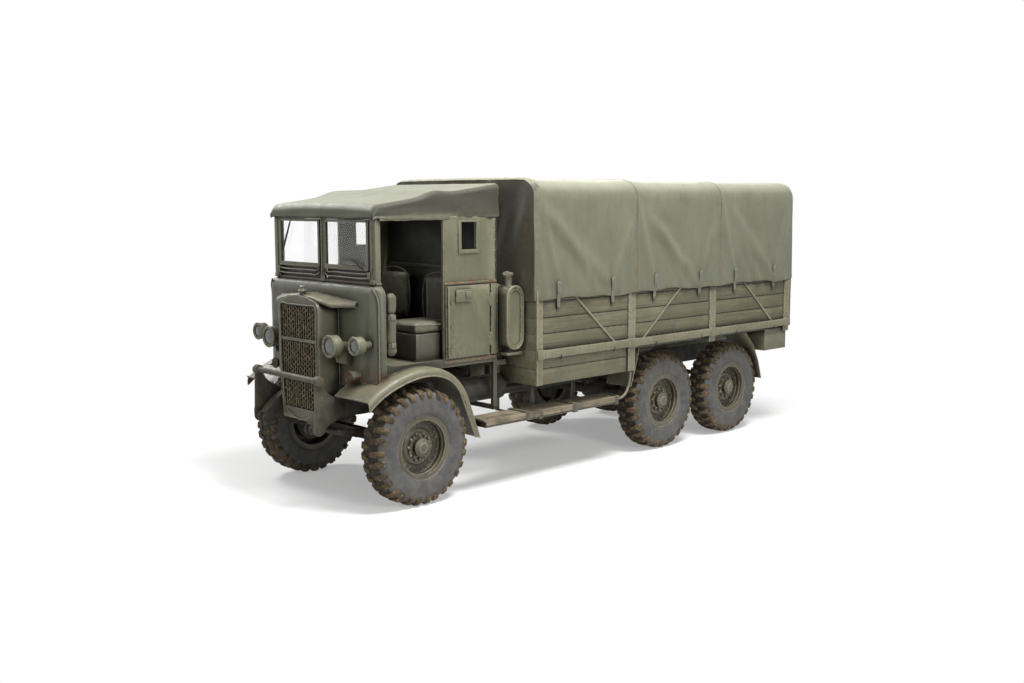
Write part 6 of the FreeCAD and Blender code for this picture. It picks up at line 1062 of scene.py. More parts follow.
for step in range(5):
    angle = math.radians(90 + 72 * step)
    at = (0, 0.195 * math.cos(angle), 0.195 * math.sin(angle))
    only()
    bpy.ops.mesh.primitive_cylinder_add(vertices=24, radius=0.026, depth=0.2, location=at,
                                        rotation=(0, math.pi / 2, 0))
    drill = bpy.context.object
    apply(rim, "BOOLEAN", object=drill, operation="DIFFERENCE", solver="EXACT")
    bpy.data.objects.remove(drill)
smooth(rim, 38)
print("rim", len(rim.data.polygons), "faces")

# %% [markdown]
# The hub is a barrel with a flange, a groove and a round cap, and the nuts sit in a ring on the disc. The
# rear wheels, which drive, have a second ring of small studs where the half shaft's flange is bolted on.

# %% The hub and its nuts
HUB = [(0.0440, 0.0960), (0.0520, 0.0960), (0.0545, 0.0935), (0.0545, 0.0850), (0.0600, 0.0820), (0.0900, 0.0800),
       (0.0960, 0.0790), (0.0990, 0.0760), (0.0990, 0.0680), (0.1020, 0.0640), (0.1060, 0.0630), (0.1130, 0.0600),
       (0.1190, 0.0520), (0.1235, 0.0400), (0.1255, 0.0200), (0.1260, 0.0010), (0.0440, 0.0010)]
hub = spun("hub", HUB, 48, close=True)
smooth(hub, 30)


def nut(name, at, size, tall):
    """A six-sided nut with a rounded crown and a stud's end standing out of it, pointing along +X."""
    x, y, z = at
    hexagon = rod(name, at, (x + tall, y, z), size, sides=6)
    hexagon = rounded(hexagon, size * 0.14, segments=1)
    stud = rod(name + "_stud", (x + tall * 0.9, y, z), (x + tall * 1.5, y, z), size * 0.5, sides=8)
    return joined(name, [hexagon, stud])


def ring_of(pattern, count, phase=0.0):
    turns = [Matrix.Rotation(math.tau * i / count + phase, 4, "X") for i in range(count)]
    ring = [copied(pattern, pattern.name, turn) for turn in turns]
    bpy.data.objects.remove(pattern)
    return ring


wheel_nuts = ring_of(nut("wheel_nut", (0.0455, 0, 0.123), 0.0135, 0.016), 10)
cap_screws = ring_of(nut("cap_screw", (0.0985, 0, 0.0710), 0.0058, 0.006), 8, 0.2)
shaft_studs = ring_of(nut("shaft_stud", (0.0985, 0, 0.0705), 0.0085, 0.011), 10, 0.1)
rivets = []
for step in range(24):
    angle = math.tau * step / 24
    only()
    bpy.ops.mesh.primitive_uv_sphere_add(segments=8, ring_count=5, radius=0.0062,
                                         location=(0.0300, 0.222 * math.sin(angle), 0.222 * math.cos(angle)))
    rivets.append(bpy.context.object)

# %% [markdown]
# Front wheels get the plain screwed cap, rear ones the studded flange. Each wheel is set on its own body with
# its own turn, so no two show the same face.

# %% Set the wheels
front_set = joined("front_wheel", [copied(rim, "r", Matrix()), copied(hub, "h", Matrix())]
                   + [copied(n, "n", Matrix()) for n in wheel_nuts + rivets] + cap_screws)
rear_set = joined("rear_wheel", [rim, hub] + wheel_nuts + rivets + shaft_studs)
for piece in (front_set, rear_set):
    piece.data.materials.clear()
    piece.data.materials.append(wheel_enamel)
    piece.data.materials.append(hub_enamel)
    for face in piece.data.polygons:
        radius = Vector((face.center.y, face.center.z)).length
        face.material_index = 1 if radius < 0.0975 and face.center.x > 0.043 else 0
for axle, y in WHEELS.items():
    for side, sign in SIDES:
        name = f"{axle}_{side}"
        pattern = front_set if axle == "front" else rear_set
        turn = Matrix.Rotation({"front": 0.25, "middle": 0.75, "rear": 0.1}[axle]
                               + (0 if sign > 0 else 0.5), 4, "X")
        wheel = copied(pattern, f"dished_wheel_{name}", turn)
        on_side(wheel, sign).data.transform(Matrix.Translation((TRACK_HALF * sign, y, TYRE_RADIUS)))
        finished(wheel, None, "wheel_paint", f"{name}_wheel")
for spare in (front_set, rear_set):
    bpy.data.objects.remove(spare)

# %% [markdown]
# ## The cab's hood
# A canvas roof over the cab, nailed to a wooden frame in front and rising to the tilt behind. Its long edges
# are rolled over the frame and turned down in a thick, lumpy hem. It is made like the tilt: one sheet that
# follows the CAD hood's outline, with a soft diagonal fold across it, slack between the frame's bars.

# %% Lay out the hood
HOOD_FRONT, HOOD_BACK, HOOD_HALF, HOOD_FRONT_TOP, HOOD_BACK_TOP = -0.405, 1.078, 0.832, 2.700, 2.905
# the hem's lower edge on the left side: (distance, height)
HOOD_HEM = [(-0.405, 2.584), (-0.25, 2.566), (0.10, 2.560), (0.38, 2.566), (0.80, 2.588), (1.078, 2.578)]


def on_line(points, at):
    """The height of a line through points, at a distance."""
    for (a, low), (b, high) in zip(points, points[1:]):
        if at <= b:
            return low + (high - low) * smoothstep(a, b, at)
    return points[-1][1]


def hood_top(distance):
    share = (distance - HOOD_FRONT) / (HOOD_BACK - HOOD_FRONT)
    return HOOD_FRONT_TOP + (HOOD_BACK_TOP - HOOD_FRONT_TOP) * share + 0.036 * bump_at(distance, 0.30, 0.30)


# each fold: from (distance, share of the half width) to (distance, share), its depth in metres and its width
HOOD_FOLDS = [
    (-0.35, 0.75, 0.55, -0.10, 0.010, 0.12), (0.15, 0.80, 1.0, 0.25, 0.009, 0.11),
    (0.55, 0.15, 1.05, 0.85, 0.007, 0.10), (-0.30, -0.60, 0.4, 0.3, 0.006, 0.12),
]


def hood_fold(distance, across):
    """Slack between the bars, and four long folds, in metres outward."""
    push = -0.008 * math.sin(math.pi * (distance + 0.4) / 0.75) ** 2 * (1 - across * across)
    place = (distance, across)
    for start, near, end, far, depth, width in HOOD_FOLDS:
        push += depth * fold_at((start, near), (end, far), place, HOOD_HALF, width, 0.2, (0.85, 1.25), 0.4)
    return push


HOOD_COLUMNS = 40
hood_rows = []
for step in range(58):
    distance = HOOD_FRONT + (HOOD_BACK - HOOD_FRONT) * step / 57
    nose = (1 - min(1.0, (distance - HOOD_FRONT) / 0.055)) ** 2
    top = hood_top(distance)
    hem = on_line(HOOD_HEM, distance)
    half_row = []
    for k in range(7):
        share = k / 6
        z = hem + (top - 0.062 - hem) * share
        lump = 0.0035 * math.sin(distance * 21 + 2 * share) + 0.0025 * math.sin(distance * 47)
        fat = 0.011 * math.exp(-((share - 0.14) / 0.13) ** 2) + 0.004 * math.sin(distance * 8 + 5 * share)
        half_row.append((HOOD_HALF - 0.004 + lump * (1 - share) + fat,
                         z + 0.004 * math.sin(distance * 13) * (1 - share)))
    for k in range(1, 8):
        turn = math.radians(90 * k / 8)
        half_row.append((HOOD_HALF - 0.057 + 0.055 * math.cos(turn), top - 0.057 + 0.055 * math.sin(turn)))
    for k in range(HOOD_COLUMNS // 2 + 1):
        across = (HOOD_HALF - 0.057) * (1 - k / (HOOD_COLUMNS // 2))
        half_row.append((across, top - 0.002 + 0.020 * (1 - (across / HOOD_HALF) ** 2) * (1 - step / 57)))
    left = [(x, z + (hood_fold(distance, x / HOOD_HALF) if k > 13 else 0)) for k, (x, z) in enumerate(half_row)]
    right = [(-x, z + (hood_fold(distance, -x / HOOD_HALF) if k > 13 else 0))
             for k, (x, z) in enumerate(half_row)]
    row = [(x * (1 - 0.01 * nose), along(distance), z - 0.05 * nose * (1 if z > top - 0.07 else 0.3))
           for x, z in right + left[-2::-1]]
    hood_rows.append(row)

# %% [markdown]
# The front hem hangs from the first row as a short curtain across the windscreen's top, lumpy like the sides.
# A little wall thickness makes every free edge read as folded cloth.

# %% Close the front and thicken the hood
first = hood_rows[0]
front_hem = []
for k in range(5):
    share = 1 - k / 4
    front_hem.append([(x, y - 0.003 * math.sin(9 * x + 3 * share) * share,
                       z + (2.590 + 0.002 * math.sin(11 * x) - z) * share
                       if abs(x) < HOOD_HALF - 0.02 and z > 2.60 else z) for x, y, z in first])
hood = from_grid("cab_hood_canvas", front_hem[:-1] + hood_rows)
merged(hood, 0.0005)
mark(hood, "seam", lambda co: max(0.5 * (1 - smoothstep(2.60, 2.64, co.z)) * (abs(co.x) > HOOD_HALF - 0.03),
                                0.6 * bump_at(abs(co.x), HOOD_HALF - 0.03, 0.03)))
# painted shade on the hood's upright sides
mark(hood, "shade", lambda co: smoothstep(HOOD_HALF - 0.050, HOOD_HALF - 0.020, abs(co.x))
     * smoothstep(2.598, 2.618, co.z))
smooth(hood)
# The cut comes from the outline: a girth of 1.83 m in front and 2.25 m behind, 1.50 m along the slope, and a
# front hem 0.11 m deep. The sides taper, so it isn't a rectangle.
hung = sum(face.area for face in hood.data.polygons)
apply(hood, "SOLIDIFY", thickness=0.004, offset=-1.0)
apply(hood, "SUBSURF", levels=1, render_levels=1)
finished(hood, hood_canvas, "canvas", stands_for=["cab_hood"])
print("hood", len(hood.data.polygons), "faces,", round(hung, 2), "square metres as hung")

# %% [markdown]
# ## Sheet metal with soft edges
# Pressed and riveted steel has no knife edges: each one is rolled or worn to a radius of a few millimetres,
# and that radius catches the light. The CAD pieces have the right shape with sharp edges, so each of these is
# copied, its loose triangles are merged and cleaned, and its edges are beveled by their own real radius.

# %% Soften the edges of the body's panels
def softened(node_name, width):
    """A copy of a CAD piece with its edges rounded by a width in metres."""
    source = frame["nodes"][node_name]
    piece = bpy.data.objects.new("soft_" + node_name, source.data.copy())
    bpy.context.collection.objects.link(piece)
    piece.data.transform(source.matrix_world)
    only(piece)
    bpy.ops.object.mode_set(mode="EDIT")
    bpy.ops.mesh.select_all(action="SELECT")
    bpy.ops.mesh.remove_doubles(threshold=0.00002)
    bpy.ops.mesh.dissolve_limited(angle_limit=math.radians(1.0), delimit=set())
    bpy.ops.object.mode_set(mode="OBJECT")
    apply(piece, "BEVEL", width=width, segments=2, limit_method="ANGLE", angle_limit=math.radians(32),
          use_clamp_overlap=True, miter_outer="MITER_ARC")
    return smooth(piece, 42)


# The cab's front takes the darker scuttle paint and its back wall the near-black one: both are painted shade.
SOFT_EDGES = {
    "cab_front": (0.004, scuttle_shaded_enamel, "body_paint"), "cab_sides": (0.003, olive_enamel, "body_paint"),
    "cab_back": (0.003, cab_painted_shade, "body_paint"), "radiator_shell": (0.004, shell_enamel, "body_paint"),
    "locker_door_left": (0.005, olive_enamel, "body_paint"),
    "locker_door_right": (0.005, olive_enamel, "body_paint"),
    "front_mudguards": (0.0025, dusty_enamel, "body_paint"),
    "rear_mudguards": (0.0025, dusty_enamel, "body_paint"),
    "cargo_sides": (0.004, painted_boards, "board_wood"),
    "cargo_front_board": (0.004, painted_boards, "board_wood"),
    "tailboard": (0.004, painted_boards, "board_wood"), "rear_lockers": (0.005, olive_enamel, "body_paint"),
    "fuel_tank": (0.004, olive_enamel, "body_paint"), "front_bumper": (0.003, iron_paint, "rusty_steel"),
    "seat_boxes": (0.004, dark_enamel, "body_paint"), "engine_cover": (0.004, dark_enamel, "body_paint"),
    "frame_rails": (0.003, chassis_black, "chassis_paint"), "lamps": (0.003, olive_enamel, "body_paint"),
}
for name, (width, material, slot_name) in SOFT_EDGES.items():
    piece = finished(softened(name, width), material, slot_name, body_of(frame["nodes"][name])[0], [name])
    print(name, len(piece.data.polygons), "faces")

# %% [markdown]
# The rave rail and the posts take knocks from every load and stand out into the light, so their paint is
# paler than the boards': worn paint with a painted highlight. They are one piece with the boards here, and a
# second material goes on the faces that stand out from them.

# %% Paint the rails and posts
for name in ("soft_cargo_sides", "soft_tailboard"):
    sides = bpy.data.objects[name]
    sides.data.materials.append(rail_wear_and_highlight)
    for face in sides.data.polygons:
        middle = face.center
        stands_out = abs(middle.x) > 1.1095 if name == "soft_cargo_sides" else middle.y > along(5.737)
        if stands_out:
            face.material_index = 1
print("rails painted")

# %% [markdown]
# ## The radiator's core
# Film-tube radiators show hundreds of thin brass strips, folded in waves and soldered where the waves touch,
# brown with heat and mud. One strip is a wavy ribbon. It is laid out as a grid, given a wall with Solidify,
# and copied across the opening, every second one with its waves the other way, so that they meet like a
# honeycomb.

# %% Fill the grille with wavy strips
GRILLE_LOW, GRILLE_TOP, GRILLE_FACE = 0.848, 1.797, along(-0.638)


def wavy_strip(name, x, way, low, high):
    rows = []
    steps = int((high - low) / 0.0115)
    for step in range(steps + 1):
        z = low + (high - low) * step / steps
        swing = 0.0038 * way * (1 if step % 4 in (0, 1) else -1) + 0.0022 * math.sin(step * 2.3 + x * 90)
        rows.append([(x + swing, GRILLE_FACE - 0.006 + 0.002 * math.sin(step * 1.7 + x * 50), z),
                     (x + swing, GRILLE_FACE + 0.012, z)])
    return apply(from_grid(name, rows), "SOLIDIFY", thickness=0.0130, offset=0)


strips = []
for index in range(15):
    x = -0.2590 + 0.0370 * index
    low = GRILLE_LOW + max(0.0, abs(x) - 0.246) * 10
    strips.append(wavy_strip("strip", x, 1 if index % 2 else -1, low, GRILLE_TOP))
core = joined("radiator_strips", strips)
finished(core, strand_tan, "radiator_core")
print("radiator strips", len(core.data.polygons), "faces")

# %% [markdown]
# Round the opening runs a rolled bead, and on the crown stands a filler cap like a small urn. The bonnet's
# lid sits behind: its pale front edge is rolled thick and ends in a blunt tip over the lamp.

# %% The grille's bead, the filler cap and the lid's rolled edge
def tube_through(name, points, radius, closed=False):
    """A round bar along a smooth line through points, made from a curve with a bevel."""
    data = bpy.data.curves.new(name, "CURVE")
    data.dimensions = "3D"
    data.bevel_depth = radius
    data.bevel_resolution = 2
    data.use_fill_caps = not closed
    data.resolution_u = 6
    line = data.splines.new("BEZIER")
    line.bezier_points.add(len(points) - 1)
    for knot, point in zip(line.bezier_points, points):
        knot.co = point
        knot.handle_left_type = knot.handle_right_type = "AUTO"
    line.use_cyclic_u = closed
    piece = bpy.data.objects.new(name, data)
    bpy.context.collection.objects.link(piece)
    only(piece)
    bpy.ops.object.convert(target="MESH")
    piece = bpy.context.object
    bpy.ops.object.shade_smooth()
    return piece


face = along(-0.653)
edge = []
for x, z in ((-0.245, 0.842), (0.245, 0.842), (0.262, 1.05), (0.287, 1.23), (0.287, 1.50), (0.287, 1.790),
             (0.270, 1.803),
             (0.15, 1.803), (-0.15, 1.803), (-0.270, 1.803), (-0.287, 1.790), (-0.287, 1.50), (-0.287, 1.23),
             (-0.262, 1.05)):
    edge.append((x, face, z))
bead = tube_through("grille_bead", edge, 0.008, closed=True)
finished(bead, shell_enamel, "body_paint")
urn = spun("filler_cap_shape", [(0.000, 0.030), (0.012, 0.031), (0.016, 0.040), (0.030, 0.043), (0.040, 0.036),
                                (0.046, 0.020), (0.050, 0.018), (0.058, 0.026), (0.068, 0.026),
                                (0.076, 0.016), (0.079, 0.001),
                                (0.000, 0.001)], 28, close=True)
urn.data.transform(Matrix.Translation((0, along(-0.594), 1.898)) @ Matrix.Rotation(math.radians(-90), 4, "Y"))
smooth(urn, 35)
urn.name = "filler_cap"
finished(urn, hub_enamel, "body_paint")


def lid_section(x):
    """The lid at one place across the truck: flat on top, sloping down to a thick edge that rolls under."""
    reach = abs(x) / 0.61
    back_top = 1.908 - 0.050 * reach
    points_y = [(0.0, -0.600), (0.15, -0.612), (0.30, -0.604), (0.44, -0.580), (0.52, -0.520), (0.61, -0.445)]
    points_z = [(0.0, 1.898), (0.15, 1.884), (0.30, 1.858), (0.44, 1.832), (0.61, 1.836)]
    front_y, front_z = on_line(points_y, abs(x)), on_line(points_z, abs(x))
    section = []
    for k in range(9):
        share = k / 8
        section.append((x, along(-0.425 + (front_y + 0.425) * share),
                        back_top + (front_z + 0.004 - back_top) * share ** 1.7))
    for k in range(1, 8):
        turn = math.radians(90 - 210 * k / 7)
        section.append((x, along(front_y - 0.019 * math.cos(turn)), front_z - 0.015 + 0.019 * math.sin(turn)))
    return section + [(x, along(front_y + 0.030), front_z - 0.022), (x, along(-0.425), front_z - 0.020)]


lid_rows = [lid_section(-0.61 + 1.22 * k / 48) for k in range(49)]
for end in (0, -1):
    middle = sum((Vector(point) for point in lid_rows[end]), Vector()) / len(lid_rows[end])
    lid_rows.insert(0 if end == 0 else len(lid_rows), [tuple(middle)] * len(lid_rows[end]))
lid = from_grid("bonnet_lid", lid_rows)
merged(lid, 0.0002)
bpy.ops.object.shade_smooth_by_angle(angle=math.radians(50))
finished(lid, dusty_enamel, "body_paint", stands_for=["bonnet"])

# %% [markdown]
# ## Lamps
# Each lamp is a pressed bowl with a rolled bezel and a domed, ribbed glass. The CAD bowls stay. The bezel is
# a turned ring with a rounded section and the glass is a shallow dome, spun from its section and closed at
# its middle.

# %% Bezels and domed glasses
LAMP_PLACES = {"head": (0.497, 1.466, -0.652, 0.097), "side": (0.785, 1.490, -0.592, 0.078)}
for lamp, (x, z, front, radius) in LAMP_PLACES.items():
    ring = spun("ring", [(0.000, radius + 0.003), (0.008, radius + 0.0065), (0.017, radius + 0.0025),
                         (0.0185, radius - 0.006),
                         (0.010, radius - 0.011), (0.013, radius - 0.015), (0.0155, radius - 0.020),
                         (0.010, radius - 0.024),
                         (0.000, radius - 0.022), (-0.001, radius - 0.006)], 40, close=True)
    dome = spun("dome", [(0.000, radius - 0.022), (0.006, (radius - 0.022) * 0.93),
                         (0.0105, (radius - 0.022) * 0.72),
                         (0.0130, (radius - 0.022) * 0.42), (0.0140, 0.0005), (0.0000, 0.0005)], 40, close=True)
    for side, sign in SIDES:
        turn = Matrix.Translation((x * sign, along(front) + 0.001,
                                   z)) @ Matrix.Rotation(math.radians(-90), 4, "Z")
        bezel = copied(ring, f"{lamp}_lamp_bezel_{side}", turn)
        smooth(bezel)
        finished(bezel, shell_enamel, "body_paint")
        glass = copied(dome, f"{lamp}_lamp_glass_{side}", turn)
        smooth(glass, 60)
        finished(glass, lamp_glass, "lamp_glass")
    for spare in (ring, dome):
        bpy.data.objects.remove(spare)
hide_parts("lamp_lenses")

# %% [markdown]
# A ribbed horn looks out below each side of the scuttle, rusty at its rim, and a moulding is pressed down
# each near corner of the scuttle, with a joint where the cowl meets it.

# %% Horns and mouldings on the scuttle
horn = spun("horn_rim", [(0.000, 0.034), (0.004, 0.050), (0.012, 0.053), (0.018, 0.050), (0.014, 0.044),
                         (0.006, 0.036),
                         (0.002, 0.020), (-0.004, 0.018), (-0.010, 0.008), (-0.010, 0.0005), (-0.030, 0.0005),
                         (-0.030, 0.034)], 32, close=True)
for side, sign in SIDES:
    turn = Matrix.Translation((0.600 * sign, along(-0.520), 1.192)) @ Matrix.Rotation(math.radians(-90), 4, "Z")
    rim_piece = copied(horn, f"horn_rim_{side}", turn)
    smooth(rim_piece, 50)
    finished(rim_piece, rusty_iron, "cast_iron")
bpy.data.objects.remove(horn)
for side, sign in SIDES:
    line = [(0.800 * sign, along(-0.415), 1.985), (0.838 * sign, along(-0.402), 1.940),
            (0.856 * sign, along(-0.385), 1.86),
            (0.858 * sign, along(-0.383), 1.70), (0.858 * sign, along(-0.383), 1.40),
            (0.858 * sign, along(-0.383), 1.12)]
    moulding = tube_through(f"scuttle_moulding_{side}", line, 0.009)
    finished(moulding, scuttle_shaded_enamel, "body_paint")
    seam = tube_through(f"cowl_joint_{side}",
                        [(0.334 * sign, along(-0.437), z) for z in (1.10, 1.4, 1.7, 1.84)], 0.006)
    finished(seam, dark_enamel, "body_paint")
print("scuttle trimmed")

# %% [markdown]
# ## Windscreen
# Two panes in thin bronze-welded frames, hinged at the top and clamped at their lower corners. They hang
# between two corner posts and a middle post, and below them two bars cross over a dark gap, where the panes
# swing in. Each member is a block with beveled edges.

# %% Posts, pane frames and bars
def bar(name, low, high, width=0.004):
    return rounded(box(name, low, high), width)


def mirror_pair(pieces):
    return pieces + [copied(piece, piece.name + "_other", MIRROR) for piece in pieces]


FRONT_FACE, BACK_FACE = along(-0.374), along(-0.336)
posts = mirror_pair([
    bar("post", (0.722, FRONT_FACE + 0.002, 2.020), (0.812, BACK_FACE + 0.02, 2.600), 0.006),
    bar("post_bead", (0.744, FRONT_FACE - 0.006, 2.020), (0.764, FRONT_FACE + 0.01, 2.592), 0.004),
    bar("clamp", (0.705, FRONT_FACE - 0.016, 2.052), (0.742, FRONT_FACE + 0.004, 2.118), 0.008),
    bar("clamp_foot", (0.735, FRONT_FACE - 0.012, 2.008), (0.800, FRONT_FACE + 0.010, 2.050), 0.008),
])
middle = [bar("middle_post", (-0.024, FRONT_FACE, 2.060), (0.024, BACK_FACE, 2.600), 0.005),
          bar("middle_bead", (-0.010, FRONT_FACE - 0.008, 2.060), (0.010, FRONT_FACE, 2.590), 0.003),
          bar("head_rail", (-0.740, FRONT_FACE + 0.001, 2.574), (0.740, BACK_FACE, 2.600), 0.003),
          bar("sill_rail", (-0.812, FRONT_FACE + 0.012, 2.004), (0.812, BACK_FACE + 0.03, 2.026), 0.004)]
foot = rod("middle_foot", (0, along(-0.360), 2.005), (0, along(-0.360), 2.090), 0.062, sides=4, tip=0.030)
foot.data.transform(Matrix.Translation((0, along(-0.360), 0)) @ Matrix.Diagonal((1.0, 0.42, 1, 1))
                    @ Matrix.Rotation(math.radians(45), 4, "Z")
                    @ Matrix.Translation((0, -along(-0.360), 0)))
middle.append(rounded(foot, 0.006))
screen_posts = joined("windscreen_posts", posts + middle)
finished(screen_posts, olive_enamel, "body_paint", stands_for=["windscreen_frame"])

# %% [markdown]
# A pane's frame is a flat ring: a block whose front face is inset and pushed in. It is drawn here as four
# rounded bars round the glass, with the lower one doubled.

# %% The two opening frames
for side, sign in SIDES:
    inner, outer, low, high = 0.052, 0.706, 2.138, 2.572
    y0, y1 = along(-0.380), along(-0.350)
    parts = [bar("jamb", (inner - 0.016, y0, low), (inner + 0.014, y1, high)),
             bar("jamb", (outer - 0.024, y0, low), (outer + 0.010, y1, high)),
             bar("head", (inner, y0, high - 0.024), (outer, y1, high)),
             bar("foot", (inner - 0.010, y0 - 0.002, low - 0.004), (outer + 0.006, y1, low + 0.026)),
             bar("foot_lip", (inner, y0 - 0.008, low - 0.012), (outer, y0 + 0.006, low + 0.002), 0.003)]
    ring = joined(f"pane_frame_{side}", [on_side(part, sign) for part in parts])
    finished(ring, olive_enamel, "body_paint")
    bars_below = []
    for z, sag in ((2.098, 0.010), (2.058, 0.006)):
        line = [(sign * 0.045, y0 + 0.006, z + 0.030), (sign * 0.075, y0 + 0.004, z + 0.004),
                (sign * 0.20, y0, z),
                (sign * 0.45, y0, z - sag * 0.3), (sign * 0.66, y0, z), (sign * 0.715, y0 + 0.004, z + 0.006)]
        bars_below.append(tube_through("bar", line, 0.0085))
    lower_bars = joined(f"lower_bars_{side}", bars_below)
    finished(lower_bars, olive_enamel, "body_paint")
    # A near-black block fills the gap behind the bars: painted shade.
    shade = bar(f"gap_behind_bars_{side}", (0.03 if sign > 0 else -0.725, along(-0.340), 2.024),
                (0.725 if sign > 0 else -0.03, along(-0.334), 2.140), 0.001)
    finished(shade, cab_painted_shade, "body_paint")
    pane = box(f"pane_{side}", (0.062 if sign > 0 else -0.690, along(-0.366), 2.160),
               (0.690 if sign > 0 else -0.062, along(-0.361), 2.552))
    finished(pane, pane_glass, "clear_glass")
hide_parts("windscreen_glass")

# %% [markdown]
# Each pane has a hand-worked wiper: a thin arm and a rubber blade. One hangs from the head of the far pane,
# and one lies along the foot of the near pane.

# %% Wipers
arm_y = along(-0.390)
far = [tube_through("arm", [(-0.500, arm_y, 2.555), (-0.560, arm_y, 2.44), (-0.655, arm_y, 2.250)], 0.0045),
       tube_through("blade", [(-0.505, arm_y + 0.006, 2.548), (-0.585, arm_y + 0.006, 2.38),
                              (-0.668, arm_y + 0.006, 2.215)], 0.0060)]
near = [tube_through("arm", [(0.672, arm_y, 2.120), (0.560, arm_y, 2.180), (0.440, arm_y, 2.222)], 0.0045),
        tube_through("blade", [(0.640, arm_y + 0.006, 2.150), (0.500, arm_y + 0.006, 2.210),
                               (0.330, arm_y + 0.006, 2.218)], 0.0060)]
wipers = joined("wipers", far + near)
finished(wipers, wheel_black, "wheel_rim_black")
print("windscreen done")

# %% [markdown]
# ## The cab's side
# The locker's leaf is hung on a riveted strip, with studs down both edges, a recessed latch plate and a
# square lock. Rivets are small domes. One is made, and each row is copies of it along a line.

# %% Rivets, latch and locker trim
def rivet_rows(name, rows, radius, flat=0.45):
    """Domed rivets on the truck's left side, in rows from (x, y, z) to (x, y, z), and the same on the
    right."""
    only()
    bpy.ops.mesh.primitive_uv_sphere_add(segments=8, ring_count=6, radius=radius)
    dome = bpy.context.object
    dome.rotation_euler = (0, math.pi / 2, 0)
    dome.scale = (1, 1, flat)
    place_in_mesh(dome)
    bpy.ops.object.shade_smooth()
    made = []
    for start, end, count in rows:
        for index in range(count):
            spot = Vector(start).lerp(Vector(end), index / max(1, count - 1))
            made.append(copied(dome, name, Matrix.Translation(spot)))
    bpy.data.objects.remove(dome)
    return joined(name, mirror_pair(made))


CAB_X = 0.8305
side_rivets = rivet_rows("cab_side_rivets", [
    ((CAB_X + 0.001, along(0.394), 1.32), (CAB_X + 0.001, along(0.394), 2.56), 14),
    ((CAB_X + 0.001, along(1.028), 1.32), (CAB_X + 0.001, along(1.028), 2.56), 14),
    ((CAB_X + 0.001, along(0.43), 1.985), (CAB_X + 0.001, along(1.02), 1.985), 9),
    ((CAB_X + 0.001, along(0.40), 1.262), (CAB_X + 0.001, along(1.03), 1.262), 8),
], 0.0075)
finished(side_rivets, olive_enamel, "body_paint")
for side, sign in SIDES:
    leaf = f"{side}_locker_door"
    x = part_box(f"locker_door_{side}")[1].x if sign > 0 else -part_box(f"locker_door_{side}")[0].x
    parts = [bar("plate_rim", (x - 0.004, along(0.502), 1.806), (x + 0.004, along(0.696), 1.922), 0.003),
             bar("recess", (x + 0.002, along(0.514), 1.818), (x + 0.007, along(0.600), 1.910), 0.003),
             bar("lock", (x + 0.002, along(0.618), 1.836), (x + 0.014, along(0.684), 1.902), 0.005),
             bar("handle", (x + 0.012, along(0.636), 1.850), (x + 0.022, along(0.668), 1.888), 0.005),
             bar("front_lip", (x - 0.002, along(0.400), 1.292), (x + 0.008, along(0.424), 1.952), 0.004)]
    for z in (1.36, 1.58, 1.80):
        parts.append(rod("stud", (x, along(0.446), z), (x + 0.010, along(0.446), z), 0.011, sides=12,
                         tip=0.006))
    trim = joined(f"locker_trim_{side}", [on_side(part, sign) for part in parts])
    smooth(trim, 40)
    finished(trim, olive_enamel, "body_paint", body=leaf)
waist = mirror_pair([bar("waist_bead", (CAB_X - 0.004, along(0.382), 1.966),
                         (CAB_X + 0.007, along(1.042), 1.992), 0.005),
                     bar("sill_bead", (CAB_X - 0.004, along(0.382), 1.236),
                         (CAB_X + 0.006, along(1.042), 1.268), 0.004)])
waist_bead = joined("cab_side_beads", waist)
finished(waist_bead, bead_paint, "body_paint")
print("cab side trimmed")

# %% [markdown]
# ## Side curtains
# A canvas curtain is rolled up and strapped to the front edge of each doorway. A roll is a spiral seen at its
# ends: here a lumpy tube whose section is pulled in where two webbing straps go round it, with a metal buckle
# on each.

